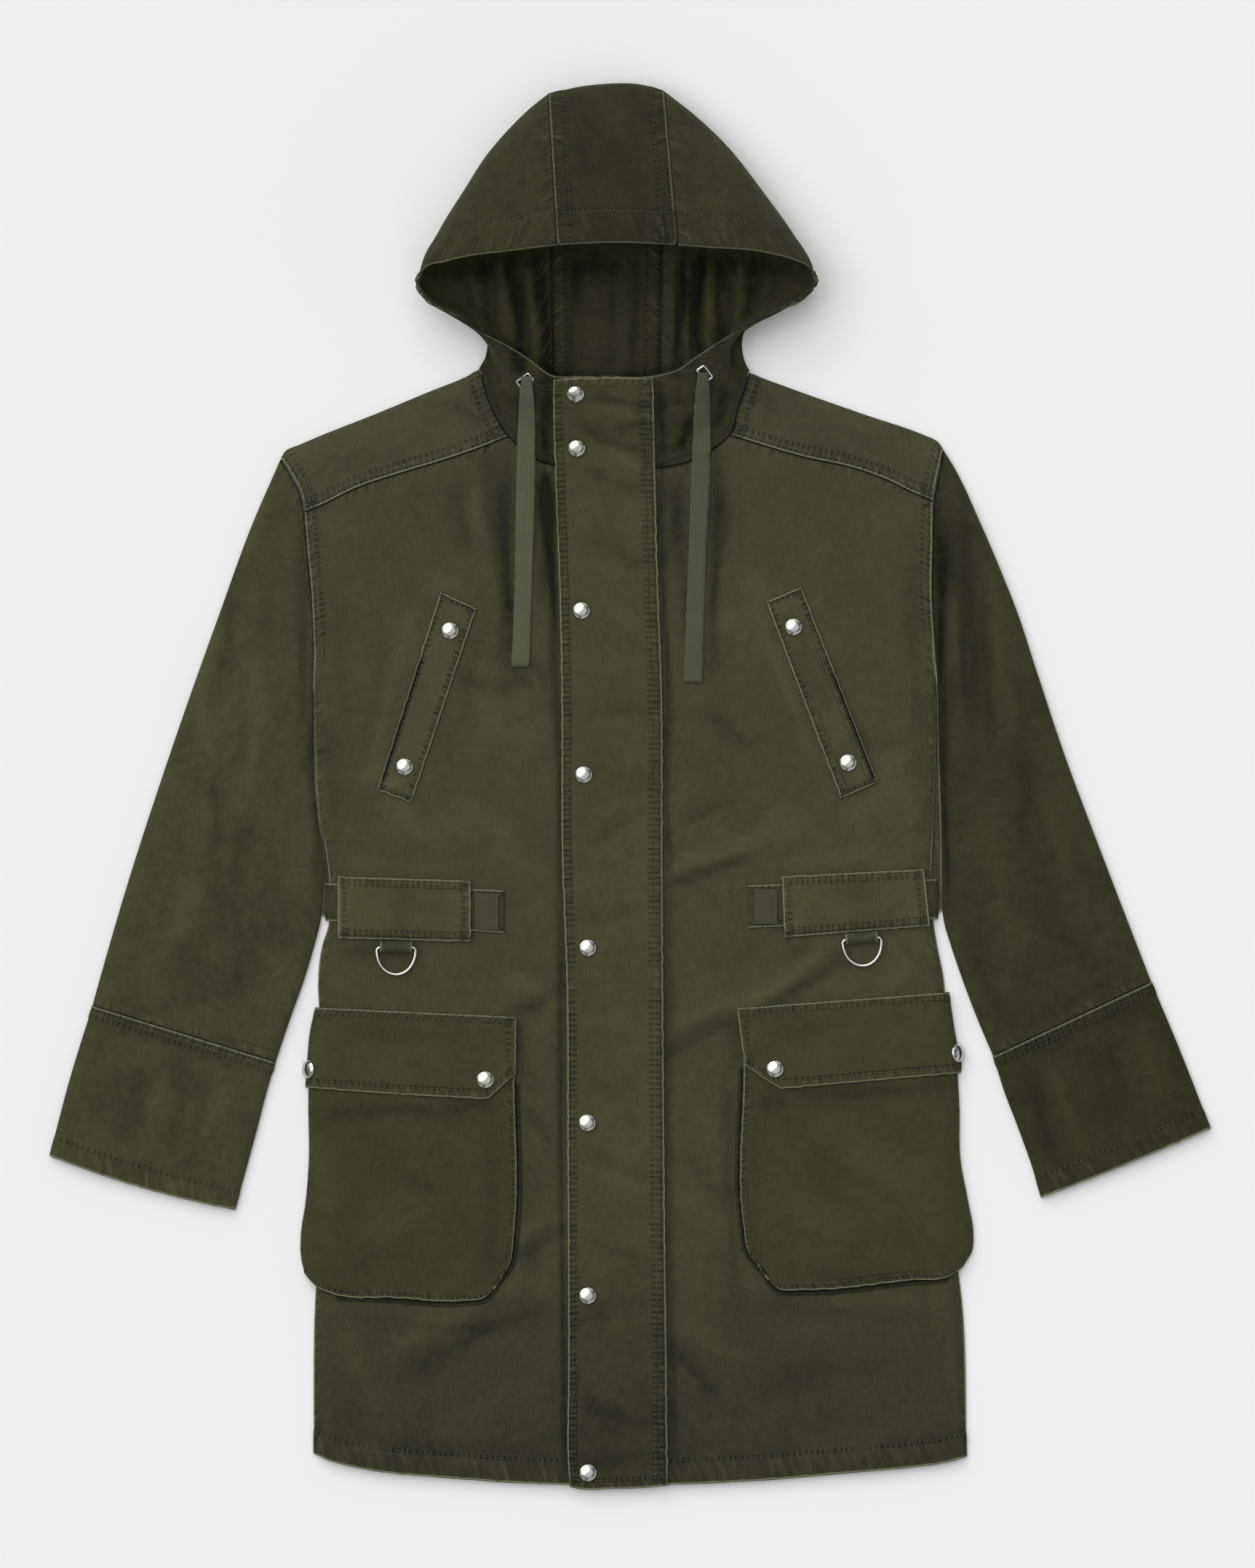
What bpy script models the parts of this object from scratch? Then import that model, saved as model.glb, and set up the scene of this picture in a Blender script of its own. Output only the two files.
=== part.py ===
"""Hooded parka of heavy cotton twill, laid flat on its back and fastened, with its hood open.

The coat lies on the plane z = 0. +X is right and +Y is towards the hood, as seen from above.
Left and right in all names are as seen from above, so left is the wearer's right.
Tables and sizes are in millimetres; the meshes are written in metres.
"""

import math

import bmesh
import bpy
import numpy as np
from mathutils import Matrix, Vector
from mathutils.bvhtree import BVHTree
from mathutils.kdtree import KDTree

MM = 0.001
COLLECTION = "hooded_parka"

# Layers of cloth
CLOTH = 1.8  # wall of a main panel
TRIM = 1.5  # wall of a flap, pocket, tunnel or welt
WEBBING = 1.2  # wall of a strap's tab, ring loop or drawstring
SEAM = 0.4  # gap between two pieces sewn edge to edge
LAY = 0.45  # gap between a piece and the cloth that it lies on
TOP = 7.0  # the upper layer's outer face, above the surface
EDGE = 1.3  # lowest point of a rolled edge
ROLL = 12.0  # width of the rolled edge at the sides and shoulders
ROLL_STEPS = (0.0, 0.08, 0.3, 0.62, 1.0)  # where the rolled edge has its rows, as a share of it
BACK_INSET = 3.4  # how far the back layer stays inside the rolled sides
UNDERARM_Y = 115.0  # the sides roll below this line, and the sleeves are set in above it
UNDERARM_FADE = 35.0
# Rows of the fronts and the back, as shares of the armhole's lower run and the side, with
# close ones at the underarm and the waist
BODY_ROWS = (
    0, 0.036, 0.072, 0.108, 0.144, 0.2, 0.26, 0.32, 0.37, 0.385, 0.395, 0.42, 0.445, 0.47, 0.5,
    0.54, 0.6, 0.67, 0.75, 0.83, 0.91, 1,
)  # fmt: skip
UNDERARM_ROW = 4
WAIST_ROW = 9  # above this row the back reaches out to the sleeve, under the front's edge
EDGE_OVER = 3.2  # lowest point of the front's rolled edge where it lies on the back
EDGE_DROP = (-80.0, -72.0)  # y over which the edge goes down from there to the surface

# Broad soft ridges of the upper layer: a line, its half-width and its rise
FOLD_COLUMNS = ("x1", "y1", "x2", "y2", "half_width", "rise")
FOLDS = (
    (-318, 120, -352, -30, 26, 2.6),
    (-300, 60, -372, -120, 20, 1.6),
    (-345, -60, -400, -150, 24, 2.2),
    (287, 225, 276, 20, 15, 3.0),
    (318, 110, 362, -60, 24, 2.4),
    (300, -10, 392, -120, 22, 1.8),
    (-385, -215, -430, -300, 24, 1.6),
    (372, -205, 420, -280, 24, 1.6),
    (-232, 190, -226, 60, 22, 1.6),
    (222, 200, 226, 60, 20, 1.6),
    (-88, 60, -82, -60, 24, 1.0),
    (70, 40, 64, -60, 22, 1.0),
    (-80, -330, -78, -500, 24, 1.4),
    (62, -330, 60, -500, 24, 1.4),
    (-190, -460, -196, -545, 34, 1.2),
    (190, -450, 200, -540, 34, 1.2),
)

# Outlines, each a short run of (x, y) points
SIDE_LEFT = (
    (-260.5, 115), (-260.0, 48), (-256.9, -21), (-249.8, -62), (-247.6, -95), (-248.4, -113),
    (-253.9, -131), (-257.3, -161), (-256.4, -185), (-257.0, -300), (-258.0, -390),
    (-260.0, -430), (-260.9, -550),
)  # fmt: skip
SIDE_RIGHT = (
    (250.7, 115), (252.2, 49), (250.1, -31), (248.4, -76), (248.6, -95), (250.4, -114),
    (253.1, -131), (258.4, -158), (260.0, -190), (265.0, -300), (268.5, -380),
    (274.0, -430), (277.4, -552.7),
)  # fmt: skip
ARMHOLE_LEFT_UPPER = ((-288.1, 270.5), (-277.9, 254.3), (-271.9, 242), (-268.9, 226.7))
ARMHOLE_LEFT_LOWER = ((-268.9, 226.7), (-266.5, 196), (-263.5, 165), (-261.1, 115))
ARMHOLE_RIGHT_UPPER = ((258.2, 277.7), (253.0, 254), (249.8, 235.7))
ARMHOLE_RIGHT_LOWER = ((249.8, 235.7), (249.3, 196), (248.8, 162), (251.3, 115))
SHOULDER_LEFT = (
    (-288.1, 270.5), (-283, 277.5), (-271.4, 282.7), (-257.2, 288.8), (-211.0, 307.1),
    (-167.6, 325.1), (-130.9, 340.4), (-124.0, 344.2),
)  # fmt: skip
SHOULDER_RIGHT = (
    (97.3, 341.4), (143.3, 324.6), (193.0, 307.1), (243.0, 289.8), (251.4, 286.0), (258.2, 277.7),
)  # fmt: skip
YOKE_SEAM_LEFT = (
    (-268.9, 226.7), (-259, 230.5), (-225.8, 246.5), (-184.5, 260.3), (-153.9, 269.5),
    (-123.3, 280.1), (-100.3, 289.4),
)  # fmt: skip
YOKE_SEAM_RIGHT = (
    (82.1, 290.3), (140.3, 272.9), (188.3, 261.8), (213.5, 252.5), (230.3, 244.1), (249.8, 235.7),
)  # fmt: skip
BACK_NECK = ((-123.0, 341), (-90, 336), (-64, 333), (-20, 331), (24.6, 333), (70, 336.5), (98, 339))
CENTRE_FRONT = ((-17, 262.1), (-14.7, -59), (-10, -577))
HEM_LEFT = (
    (-260.9, -550), (-249, -556.0), (-234, -560.2), (-207, -565.3), (-153, -570.2),
    (-99, -574.3), (-10, -577),
)  # fmt: skip
HEM_RIGHT = (
    (-10, -577), (63, -574.9), (117, -571.9), (171, -567.1), (225, -562.4), (252, -559.2),
    (268.7, -555.6), (277.4, -552.7),
)  # fmt: skip

# Sleeves: the tube's left and right edge, from the armhole to the cuff's seam
SLEEVE_LEFT_EDGES = (
    ((-288.1, 270.5), (-311.5, 216.8), (-337.9, 144.8), (-363.7, 72.8), (-388.3, 0.8),
     (-411.7, -71.2), (-435.7, -152.8), (-443.4, -180.5)),
    ((-261.7, 115), (-261.5, 82), (-261.2, 48), (-258.3, -21), (-252.2, -66), (-253.4, -92),
     (-255.2, -110), (-260.5, -131), (-269.5, -161), (-280.3, -191), (-292.4, -227)),
)  # fmt: skip
SLEEVE_RIGHT_EDGES = (
    ((252.0, 115), (253.6, 82), (254.0, 49), (256.6, -31), (256.9, -77), (256.9, -97),
     (258.9, -112), (264.5, -131), (274.7, -161), (286.1, -191), (299.3, -222.1)),
    ((258.2, 277.7), (266.3, 264.8), (289.1, 216.8), (309.5, 168.8), (318.9, 144.8),
     (334.7, 96.8), (358.7, 24.8), (385.7, -47.2), (409.7, -109.6), (429.6, -160.9)),
)  # fmt: skip
# Cuffs: left and right edge, from the seam to the hem, and how far the hem bows out
CUFF_LEFT_EDGES = (
    ((-443.4, -180.5), (-462.5, -242.5), (-473.9, -285.7), (-478.7, -304.9)),
    ((-292.4, -227), (-299.5, -250.9), (-307.3, -280.9), (-315.4, -310.9), (-326.0, -349.3)),
)
CUFF_RIGHT_EDGES = (
    ((299.3, -222.1), (308.3, -250.9), (319.7, -280.9), (330.5, -310.9), (339.2, -339.3)),
    ((429.6, -160.9), (450.5, -210.4), (478.7, -282.1)),
)
CUFF_BOWS = (4.2, 1.3)  # left and right
SIDE_LOW = 4.0  # width of a sleeve's lower round edge
SIDE_MIDDLE = 3.0  # height of a sleeve's outermost line

# Hood: sections from the rim over the outermost line to the neck seam, a row for each
HOOD_COLUMNS = (
    "rim_x", "rim_y", "rim_z", "side_x", "side_y", "side_z", "neck_x", "neck_y", "neck_z", "round",
    "pull",
)  # fmt: skip
HOOD_CENTRE = (
    (-60.0, 444.8, 60, -67.5, 571.0, 22, -64.0, 333.0, 0, 1, 0),
    (-36.0, 446.2, 61, -38.0, 577.4, 22, -38.0, 331.5, 0, 1, 0),
    (-11.0, 446.9, 62, -6.1, 579.7, 22, -20.0, 331.0, 0, 1, 0),
    (14.0, 446.2, 61, 12.0, 578.0, 22, 4.0, 331.5, 0, 1, 0),
    (39.2, 444.8, 60, 28.0, 573.0, 22, 24.6, 333.0, 0, 1, 0),
)
HOOD_LEFT = (
    (-60.0, 444.8, 60, -67.5, 571.0, 22, -64.0, 333.0, 0, 1, 0),
    (-80.0, 442.5, 59, -84.6, 557.2, 22, -72.0, 334.0, 0, 1, 0),
    (-104.0, 439.5, 57, -117.4, 521.6, 22, -86.0, 336.0, 0, 1, 0),
    (-130.0, 436.5, 54, -136.6, 492.0, 23, -98.0, 338.0, 0, 1, 0),
    (-152.0, 431.5, 50, -157.0, 459.0, 25, -110.0, 341.0, 0, 1, 4.5),
    (-169.0, 426.3, 47, -171.0, 430.0, 27, -123.0, 342.0, 0, 1, 9.5),
    (-175.5, 416.0, 45, -173.6, 411.0, 27, -124.4, 343.4, 3.2, 1, 13),
    (-170.8, 403.1, 43, -163.0, 400.0, 25, -124.7, 344.2, 5.6, 1, 12.5),
    (-148.3, 388.7, 40, -139.0, 386.0, 23, -124.0, 344.2, 7, 0.8, 9),
    (-122.1, 374.5, 37, -115.5, 363.0, 22, -120.5, 332.0, 7, 0.4, 2.5),
    (-100.9, 365.0, 34, -103.5, 339.0, 19, -115.3, 315.2, 7, 0.1, 0),
    (-81.7, 348.5, 31, -88.0, 319.0, 17, -100.3, 289.4, 7, 0, 0),
    (-63.1, 338.9, 29, -68.0, 303.0, 16, -74.0, 268.8, 7, 0, 0),
    (-42.0, 338.5, 28, -44.0, 300.0, 16, -47.0, 263.2, 7, 0, 0),
    (-17.0, 338.9, 28, -17.0, 300.0, 16, -17.0, 262.1, 7, 0, 0),
)
HOOD_RIGHT = (
    (39.2, 444.8, 60, 28.0, 573.0, 22, 24.6, 333.0, 0, 1, 0),
    (68.0, 442.6, 59, 54.2, 552.5, 22, 44.0, 334.0, 0, 1, 0),
    (93.0, 441.3, 57, 79.4, 528.5, 22, 60.0, 335.0, 0, 1, 0),
    (115.0, 438.0, 54, 112.7, 485.9, 23, 76.0, 337.0, 0, 1, 0),
    (135.0, 432.8, 50, 136.5, 452.0, 25, 88.0, 339.5, 0, 1, 4.5),
    (148.0, 426.0, 47, 150.0, 426.5, 27, 97.0, 343.0, 0, 1, 9),
    (152.9, 416.9, 45, 150.6, 411.0, 27, 98.2, 343.6, 3.6, 1, 12.5),
    (145.7, 405.5, 43, 137.0, 401.0, 25, 98.3, 342.9, 6, 1, 14),
    (124.7, 392.3, 40, 114.0, 389.0, 23, 97.3, 341.4, 7, 0.8, 13),
    (95.9, 379.1, 37, 85.0, 367.0, 22, 95.0, 329.5, 7, 0.4, 4.5),
    (77.3, 369.5, 34, 76.0, 343.0, 19, 89.0, 312.8, 7, 0.1, 0),
    (55.7, 353.3, 31, 64.0, 320.0, 17, 82.1, 290.3, 7, 0, 0),
    (36.8, 341.3, 29, 42.0, 304.0, 16, 50.0, 269.0, 7, 0, 0),
    (10.7, 337.9, 28, 12.0, 300.0, 16, 18.0, 262.9, 7, 0, 0),
    (-17.0, 338.9, 28, -17.0, 300.0, 16, -17.0, 262.1, 7, 0, 0),
)
HOOD_MIDDLE = (-12.0, 400.0)  # the under side is pulled in towards this point
HOOD_SHOULDER = 8  # the section at the neck's corner, where the yoke begins
HOOD_YOKE = 11  # the section where the yoke's seam meets the neck
HOOD_STEPS = 2  # rows of cloth from one section to the next
HOOD_SEAM = 0.4  # each hood piece ends this far before its seam
HOOD_TUCK = 22.0  # how far the hood's wall leans in before it lies on the surface

# Placket over the closed front
PLACKET_LEFT = (
    (-63.8, 335.5), (-64.0, 322.7), (-62.1, 246.5), (-59.2, 169.7), (-57.3, 74.3),
    (-56.8, -58.9), (-53.1, -160.9), (-52.4, -286.9), (-51.7, -490.9), (-52.2, -549.7),
    (-50.5, -577.0),
)  # fmt: skip
PLACKET_RIGHT = (
    (19.7, 337.2), (21.1, 265.7), (23.0, 188.9), (26.9, 74.3), (27.3, -58.9), (28.7, -286.9),
    (31.7, -576.0),
)  # fmt: skip
PLACKET_TOP = ((-63.8, 335.5), (-44, 337.2), (-20, 337.6), (19.7, 337.2))
PLACKET_HEM = ((-50.5, -577.0), (-44, -578.7), (-15, -579.0), (12, -578.1), (31.7, -576.0))

# Four-cornered pieces: top left, top right, bottom left, bottom right
WELT_LEFT = ((-156.7, 161.3), (-126.1, 147.5), (-209.5, -2.8), (-180.1, -13.9))
WELT_RIGHT = ((111.5, 152.9), (141.5, 165.5), (173.3, -10.3), (205.1, 3.5))
TUNNEL_LEFT = ((-241.0, -73.3), (-130.9, -76.9), (-241.0, -125.5), (-130.9, -128.5))
TUNNEL_RIGHT = ((124.4, -73.3), (242.3, -67.3), (126.5, -124.9), (247.1, -115.3))
STRAP_LEFT = ((-251.6, -79.5), (-103.9, -85.3), (-251.6, -110.5), (-103.9, -120.7))
STRAP_RIGHT = ((97.7, -81.1), (254.2, -76.0), (97.7, -116.5), (254.2, -109.0))
TAB_LEFT = ((-128.0, -87.5), (-108.5, -88.3), (-128.0, -117.5), (-108.5, -118.5))
TAB_RIGHT = ((102.3, -84.2), (121.5, -84.4), (102.3, -113.4), (121.5, -113.4))
TUNNEL_RAMP = 7.0  # how far in from its sewn edges the tunnel reaches its full height

# Bellows pockets and flaps
POCKET_LEFT_OUTER = (
    (-259.6, -192), (-261.6, -205), (-263.8, -225), (-265.4, -251), (-265.3, -311),
    (-267.7, -341), (-271.9, -371), (-271.6, -388), (-268.4, -402),
)  # fmt: skip
POCKET_LEFT_INNER = (
    (-95.5, -196), (-94.9, -244), (-95.5, -369), (-99.1, -393.7), (-109.3, -407.5),
)  # fmt: skip
POCKET_LEFT_TOP = ((-259.6, -192), (-180, -195), (-95.5, -196))
POCKET_LEFT_HEM = (
    (-268.4, -402), (-259.3, -412.3), (-241.9, -419.5), (-195.1, -421.9), (-138.7, -424.3),
    (-119.5, -421.3), (-109.3, -407.5),
)  # fmt: skip
POCKET_RIGHT_INNER = (
    (92.4, -189), (92.9, -231.7), (92.9, -360.7), (97.1, -383.5), (109.4, -398.8),
)  # fmt: skip
POCKET_RIGHT_OUTER = (
    (263.6, -184), (266.3, -208), (269.8, -228), (270.6, -243), (271.6, -262), (272.6, -308),
    (278.5, -340), (283.2, -368), (282.4, -382), (273.5, -397),
)  # fmt: skip
POCKET_RIGHT_TOP = ((92.4, -189), (180, -188), (263.6, -184))
POCKET_RIGHT_HEM = (
    (109.4, -398.8), (121.7, -414.1), (144.5, -415.3), (232.7, -407.3), (262, -404.5),
    (273.5, -397),
)  # fmt: skip
FLAP_LEFT_OUTER = ((-259.6, -181.9), (-264.3, -202.3), (-266.5, -225.1), (-267.9, -248.5))
FLAP_LEFT_INNER = ((-93.1, -189.7), (-94.0, -237.1))
FLAP_LEFT_TOP = ((-259.6, -181.9), (-93.1, -189.7))
FLAP_LEFT_HEM = ((-267.9, -248.5), (-204.1, -253.3), (-117.7, -258.1))
FLAP_LEFT_CUT = ((-117.7, -258.1), (-94.0, -237.1))
FLAP_RIGHT_INNER = ((87.5, -182.5), (91.1, -210.7), (94.7, -230.5))
FLAP_RIGHT_OUTER = ((263.0, -169.3), (269.2, -208.9), (273.4, -230.0), (272.4, -236.5))
FLAP_RIGHT_TOP = ((87.5, -182.5), (263.0, -169.3))
FLAP_RIGHT_HEM = ((123.5, -249.7), (197.3, -243.1), (272.4, -236.5))
FLAP_RIGHT_CUT = ((94.7, -230.5), (123.5, -249.7))
POCKET_LIFT = 2 * LAY + 2 * TRIM  # the pocket's outer face over the front, at its edges
POCKET_PUFF = 1.4  # more in the middle
FLAP_SEAM = 6.0  # the flap is at its full height this far below its seam
GUSSET_OUT = 3.6  # the gusset shows this far outside the pocket's edge
GUSSET_IN = 6.0

# Snaps: node, place, tilt group
SNAP_RADIUS = 7.5
SNAP_HEIGHT = 3.2
SNAP_PROFILE = ((0.0, 1.0), (0.42, 0.93), (0.76, 0.68), (0.95, 0.34), (1.0, 0.12), (0.97, 0.0), (0.0, 0.0))
SNAP_STEPS = 12
PLACKET_SNAPS = (
    (-45.1, 323.3), (-44.2, 279.2), (-40.3, 145.4), (-38.5, 10.1), (-35.1, -132.7),
    (-35.6, -277.0), (-35.2, -419.5), (-34.9, -565.5),
)  # fmt: skip
CHEST_SNAPS_LEFT = ((-148.7, 128.9), (-186.2, 16.6))
CHEST_SNAPS_RIGHT = ((134.5, 131.9), (179.5, 20.0))
FLAP_SNAP_LEFT = (-119.5, -241.3)
FLAP_SNAP_RIGHT = (119.2, -232.5)
SIDE_SNAP_LEFT = (-264.9, -232.9)
SIDE_SNAP_RIGHT = (269.6, -219.7)
SNAP_GAP = 0.35
SIDE_SNAP_GAP = 0.5
SIDE_SNAP_REACH = 1.5  # the cloth's slope is taken within this reach of a side snap

# D-rings that swing on their straight bar in a fabric loop
RING_WIRE = 1.2  # radius of the wire
RING_HALF = 16.0  # from the middle to the wire's centre line at the bar's ends
RING_DEPTH = 22.4  # from the bar to the far side, centre lines
RING_CORNER = 3.0
RING_STEPS = 16  # straight steps round the bow
LOOP_HALF = 13.4
LOOP_BORE = 1.55
LOOP_REACH = 4.6  # from the bar's axis to the loop's sewn end
RING_LIFT = LOOP_BORE + WEBBING + LAY
RING_DROP = math.asin((RING_LIFT - RING_WIRE - LAY) / RING_DEPTH)  # the ring leans on the cloth
RING_LEFT = (-193.0, -132.4, 0.0)  # x, y and turn of the bar's middle, in degrees
RING_RIGHT = (190.8, -125.2, 4.5)

# Drawstrings and the angular rings that they come out of
TAPE_COLUMNS = ("x", "y", "width")
TAPE_LEFT = (
    (-85.4, 337.6, 9.5), (-85.4, 322, 12.5), (-85.6, 284.3, 15.6), (-88.0, 169.7, 15.6),
    (-90.4, 98.9, 15.8),
)  # fmt: skip
TAPE_RIGHT = (
    (60.2, 340.6, 9.5), (59.8, 325, 12.5), (59.0, 284.3, 15.8), (55.0, 180.0, 15.8),
    (51.8, 86.3, 16.6),
)  # fmt: skip
OUTLET_LONG = 16.0
OUTLET_SHORT = 10.0
OUTLET_WIRE = 1.0
OUTLET_CORNER = 2.5
OUTLET_LEFT = (-86.2, 335.2, 37.0)  # x, y and turn of the long side, in degrees
OUTLET_RIGHT = (60.8, 340.8, -54.0)
TAPE_HUMP = 3.4  # the tape's rise where it passes over the ring's lower bar

# Colours, sRGB 0 to 1
OLIVE = (0.275, 0.270, 0.190)
TAPE_GREEN = (0.320, 0.325, 0.245)
STEEL = (0.72, 0.72, 0.70)


# Curves and grids


def smooth_curve(points):
    """A function from 0..1 to points on a smooth curve through the given ones."""
    knots = np.array(points, float)
    steps = np.linalg.norm(np.diff(knots, axis=0), axis=1)
    place = np.concatenate([[0.0], np.cumsum(steps)])
    slopes = np.gradient(knots, place, axis=0)

    def at(shares):
        along = np.clip(np.asarray(shares, float), 0, 1) * place[-1]
        start = np.clip(np.searchsorted(place, along, side="right") - 1, 0, len(steps) - 1)
        length = steps[start][..., None]
        part = (along[..., None] - place[start][..., None]) / length
        rest = 1 - part
        return (
            (1 + 2 * part) * rest**2 * knots[start]
            + part * rest**2 * length * slopes[start]
            + part**2 * (3 - 2 * part) * knots[start + 1]
            - part**2 * rest * length * slopes[start + 1]
        )

    return at


def joined(*runs):
    """A function from 0..1 along several runs of points that meet at corners."""
    curves = [smooth_curve(run) for run in runs]
    sizes = [np.linalg.norm(np.diff(np.array(run, float), axis=0), axis=1).sum() for run in runs]
    ends = np.concatenate([[0.0], np.cumsum(sizes)]) / sum(sizes)

    def at(shares):
        shares = np.asarray(shares, float)
        points = np.zeros(shares.shape + (2,))
        for curve, low, high in zip(curves, ends, ends[1:]):
            here = (shares >= low - 1e-9) & (shares <= high + 1e-9)
            points[here] = curve((shares[here] - low) / (high - low))
        return points

    return at


def line_between(start, end):
    return smooth_curve((start, end))


def spread(count):
    return np.linspace(0, 1, count + 1)


def rolled_spread(width, count, at_start=True):
    """Shares of a width with close rows in the rolled edge and even ones beyond it."""
    close = np.array(ROLL_STEPS) * ROLL / width
    even = np.linspace(close[-1], 1, count + 1)[1:]
    shares = np.concatenate([close, even])
    return shares if at_start else 1 - shares[::-1]


def patch(top, bottom, left, right, across, down):
    """Grid of plan points between four edges. Rows run from top to bottom, and columns from left to right."""
    u, v = across[None, :, None], down[:, None, None]
    first, last = top(across)[None], bottom(across)[None]
    start, end = left(down)[:, None], right(down)[:, None]
    corners = (1 - v) * ((1 - u) * first[:, :1] + u * first[:, -1:])
    corners = corners + v * ((1 - u) * last[:, :1] + u * last[:, -1:])
    return (1 - v) * first + v * last + (1 - u) * start + u * end - corners


def cut_back(grid, top=0.0, bottom=0.0, left=0.0, right=0.0):
    """The grid with its edges drawn in, to leave a gap beside the next piece."""
    grid = grid.copy()
    for edge, inner, amount in (
        (np.s_[0], np.s_[1], top),
        (np.s_[-1], np.s_[-2], bottom),
        (np.s_[:, 0], np.s_[:, 1], left),
        (np.s_[:, -1], np.s_[:, -2], right),
    ):
        way = grid[inner] - grid[edge]
        grid[edge] += way / np.linalg.norm(way, axis=-1, keepdims=True) * amount
    return grid


def quarter(shares):
    """Height of a quarter round, from 0 at its edge to 1 at its top."""
    return np.sqrt(1 - (1 - np.clip(shares, 0, 1)) ** 2)


def smooth_step(values):
    values = np.clip(values, 0, 1)
    return values * values * (3 - 2 * values)


# Heights of the cloth


def top_height(x, y):
    """The upper layer's outer face, before its sides roll down."""
    height = np.full(np.shape(x), TOP)
    for x1, y1, x2, y2, half_width, rise in FOLDS:
        run_x, run_y = x2 - x1, y2 - y1
        share = ((x - x1) * run_x + (y - y1) * run_y) / (run_x**2 + run_y**2)
        share = np.clip(share, 0, 1)
        away = np.hypot(x - x1 - share * run_x, y - y1 - share * run_y)
        height = height + rise * np.exp(-((away / half_width) ** 2))
    return height


def edge_x(points, y):
    """The x of an outline at a given y; the outline runs down."""
    table = np.array(points, float)[::-1]
    return np.interp(y, table[:, 1], table[:, 0])


def side_distance(x, y):
    """How far a point lies inside the body's nearer side."""
    return np.minimum(x - edge_x(SIDE_LEFT, y), edge_x(SIDE_RIGHT, y) - x)


def body_height(x, y, lift=0.0, overhang=0.0):
    """The fronts' outer face, or a piece that lies on it and wraps round the side."""
    flat = top_height(x, y) + lift
    rolls = smooth_step((UNDERARM_Y - y) / UNDERARM_FADE)
    round_off = quarter((side_distance(x, y) + overhang) / (ROLL + overhang))
    edge = np.interp(y, EDGE_DROP, (EDGE, EDGE_OVER))
    low = flat + (edge - flat) * rolls
    return low + (flat - low) * round_off


def shoulder_height(grid):
    """The yoke's outer face: it rolls down towards its top row."""
    away = np.linalg.norm(grid - grid[:1], axis=-1)
    flat = top_height(grid[..., 0], grid[..., 1])
    return EDGE + (flat - EDGE) * quarter(away / ROLL)


def section_shares(table, steps):
    """Where a table's rows lie on its smooth curve, with even steps between them."""
    sizes = np.linalg.norm(np.diff(np.array(table, float), axis=0), axis=1)
    places = np.concatenate([[0.0], np.cumsum(sizes)]) / sizes.sum()
    count = len(sizes) * steps
    return np.interp(np.arange(count + 1) / steps, np.arange(len(places)), places)


def hood_sections(table, steps):
    sections = smooth_curve(table)(section_shares(table, steps))
    sections[:, 8] = np.maximum(sections[:, 8], 0)
    return sections


def neck_run(table, first, last):
    """Points along the neck seam between two of the hood's sections."""
    run = hood_sections(table, HOOD_STEPS)[first * HOOD_STEPS : last * HOOD_STEPS + 1, 6:8]
    return [tuple(point) for point in run]


def hood_grid(table, over=5, under=3, along=2):
    """The hood's outer face: a row for each section, from the rim to the neck seam."""
    sections = hood_sections(table, HOOD_STEPS)
    rim, side, neck = sections[:, None, 0:3], sections[:, None, 3:6], sections[:, None, 6:9]
    bend = sections[:, None, 9:10]
    turn = np.linspace(0, math.pi / 2, over + 1)[None, :, None]
    brow = rim + (side - rim) * np.sin(turn)
    fall = bend * np.cos(turn) + (1 - bend) * (1 - np.sin(turn))
    brow[..., 2:] = side[..., 2:] + (rim[..., 2:] - side[..., 2:]) * fall
    way = (neck - side)[..., :2]
    reach = np.linalg.norm(way, axis=-1, keepdims=True)
    tuck = np.minimum(HOOD_TUCK, reach / 2)
    turn = np.linspace(0, math.pi / 2, under + 1)[None, 1:, None]
    fall = bend * (1 - np.sin(turn)) + (1 - bend) * np.cos(turn)
    low = np.concatenate(
        [
            side[..., :2] + way / reach * tuck * (1 - np.cos(turn)),
            neck[..., 2:] + (side[..., 2:] - neck[..., 2:]) * fall,
        ],
        axis=-1,
    )
    floor = low[:, -1:] + (neck - low[:, -1:]) * spread(along)[None, 1:, None]
    below = np.concatenate([low, floor], axis=1)
    inward = np.array(HOOD_MIDDLE) - (side + neck)[..., :2] / 2
    inward /= np.linalg.norm(inward, axis=-1, keepdims=True)
    share = np.linalg.norm((below - side)[..., :2], axis=-1, keepdims=True) / reach
    below[..., :2] += inward * sections[:, None, 10:] * np.sin(math.pi * np.minimum(share, 1))
    return np.concatenate([brow, below], axis=1)


def finer(grid, steps):
    """The grid with straight steps between its rows and its columns."""
    for axis in (0, 1):
        count = grid.shape[axis]
        places = np.linspace(0, count - 1, (count - 1) * steps + 1)
        low = np.minimum(places.astype(int), count - 2)
        part = (places - low)[:, None, None] if axis == 0 else (places - low)[None, :, None]
        first, second = np.take(grid, low, axis), np.take(grid, low + 1, axis)
        grid = first + (second - first) * part
    return grid


def collar_samples():
    """A lookup of the collar's outer face, which the placket and the drawstrings lie on."""
    first = HOOD_SHOULDER * HOOD_STEPS
    grids = [finer(hood_grid(table)[first:], 14) for table in (HOOD_LEFT, HOOD_RIGHT)]
    points = np.concatenate([grid.reshape(-1, 3) for grid in grids])
    tree = KDTree(len(points))
    for index, point in enumerate(points):
        tree.insert((point[0], point[1], 0), index)
    tree.balance()
    return tree, points


COLLAR_TREE, COLLAR_POINTS = collar_samples()
COLLAR_REACH = 1.6  # a point this near to the collar lies on it
COLLAR_SLACK = 0.5  # what lies on the collar bridges its small hollows


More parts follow.
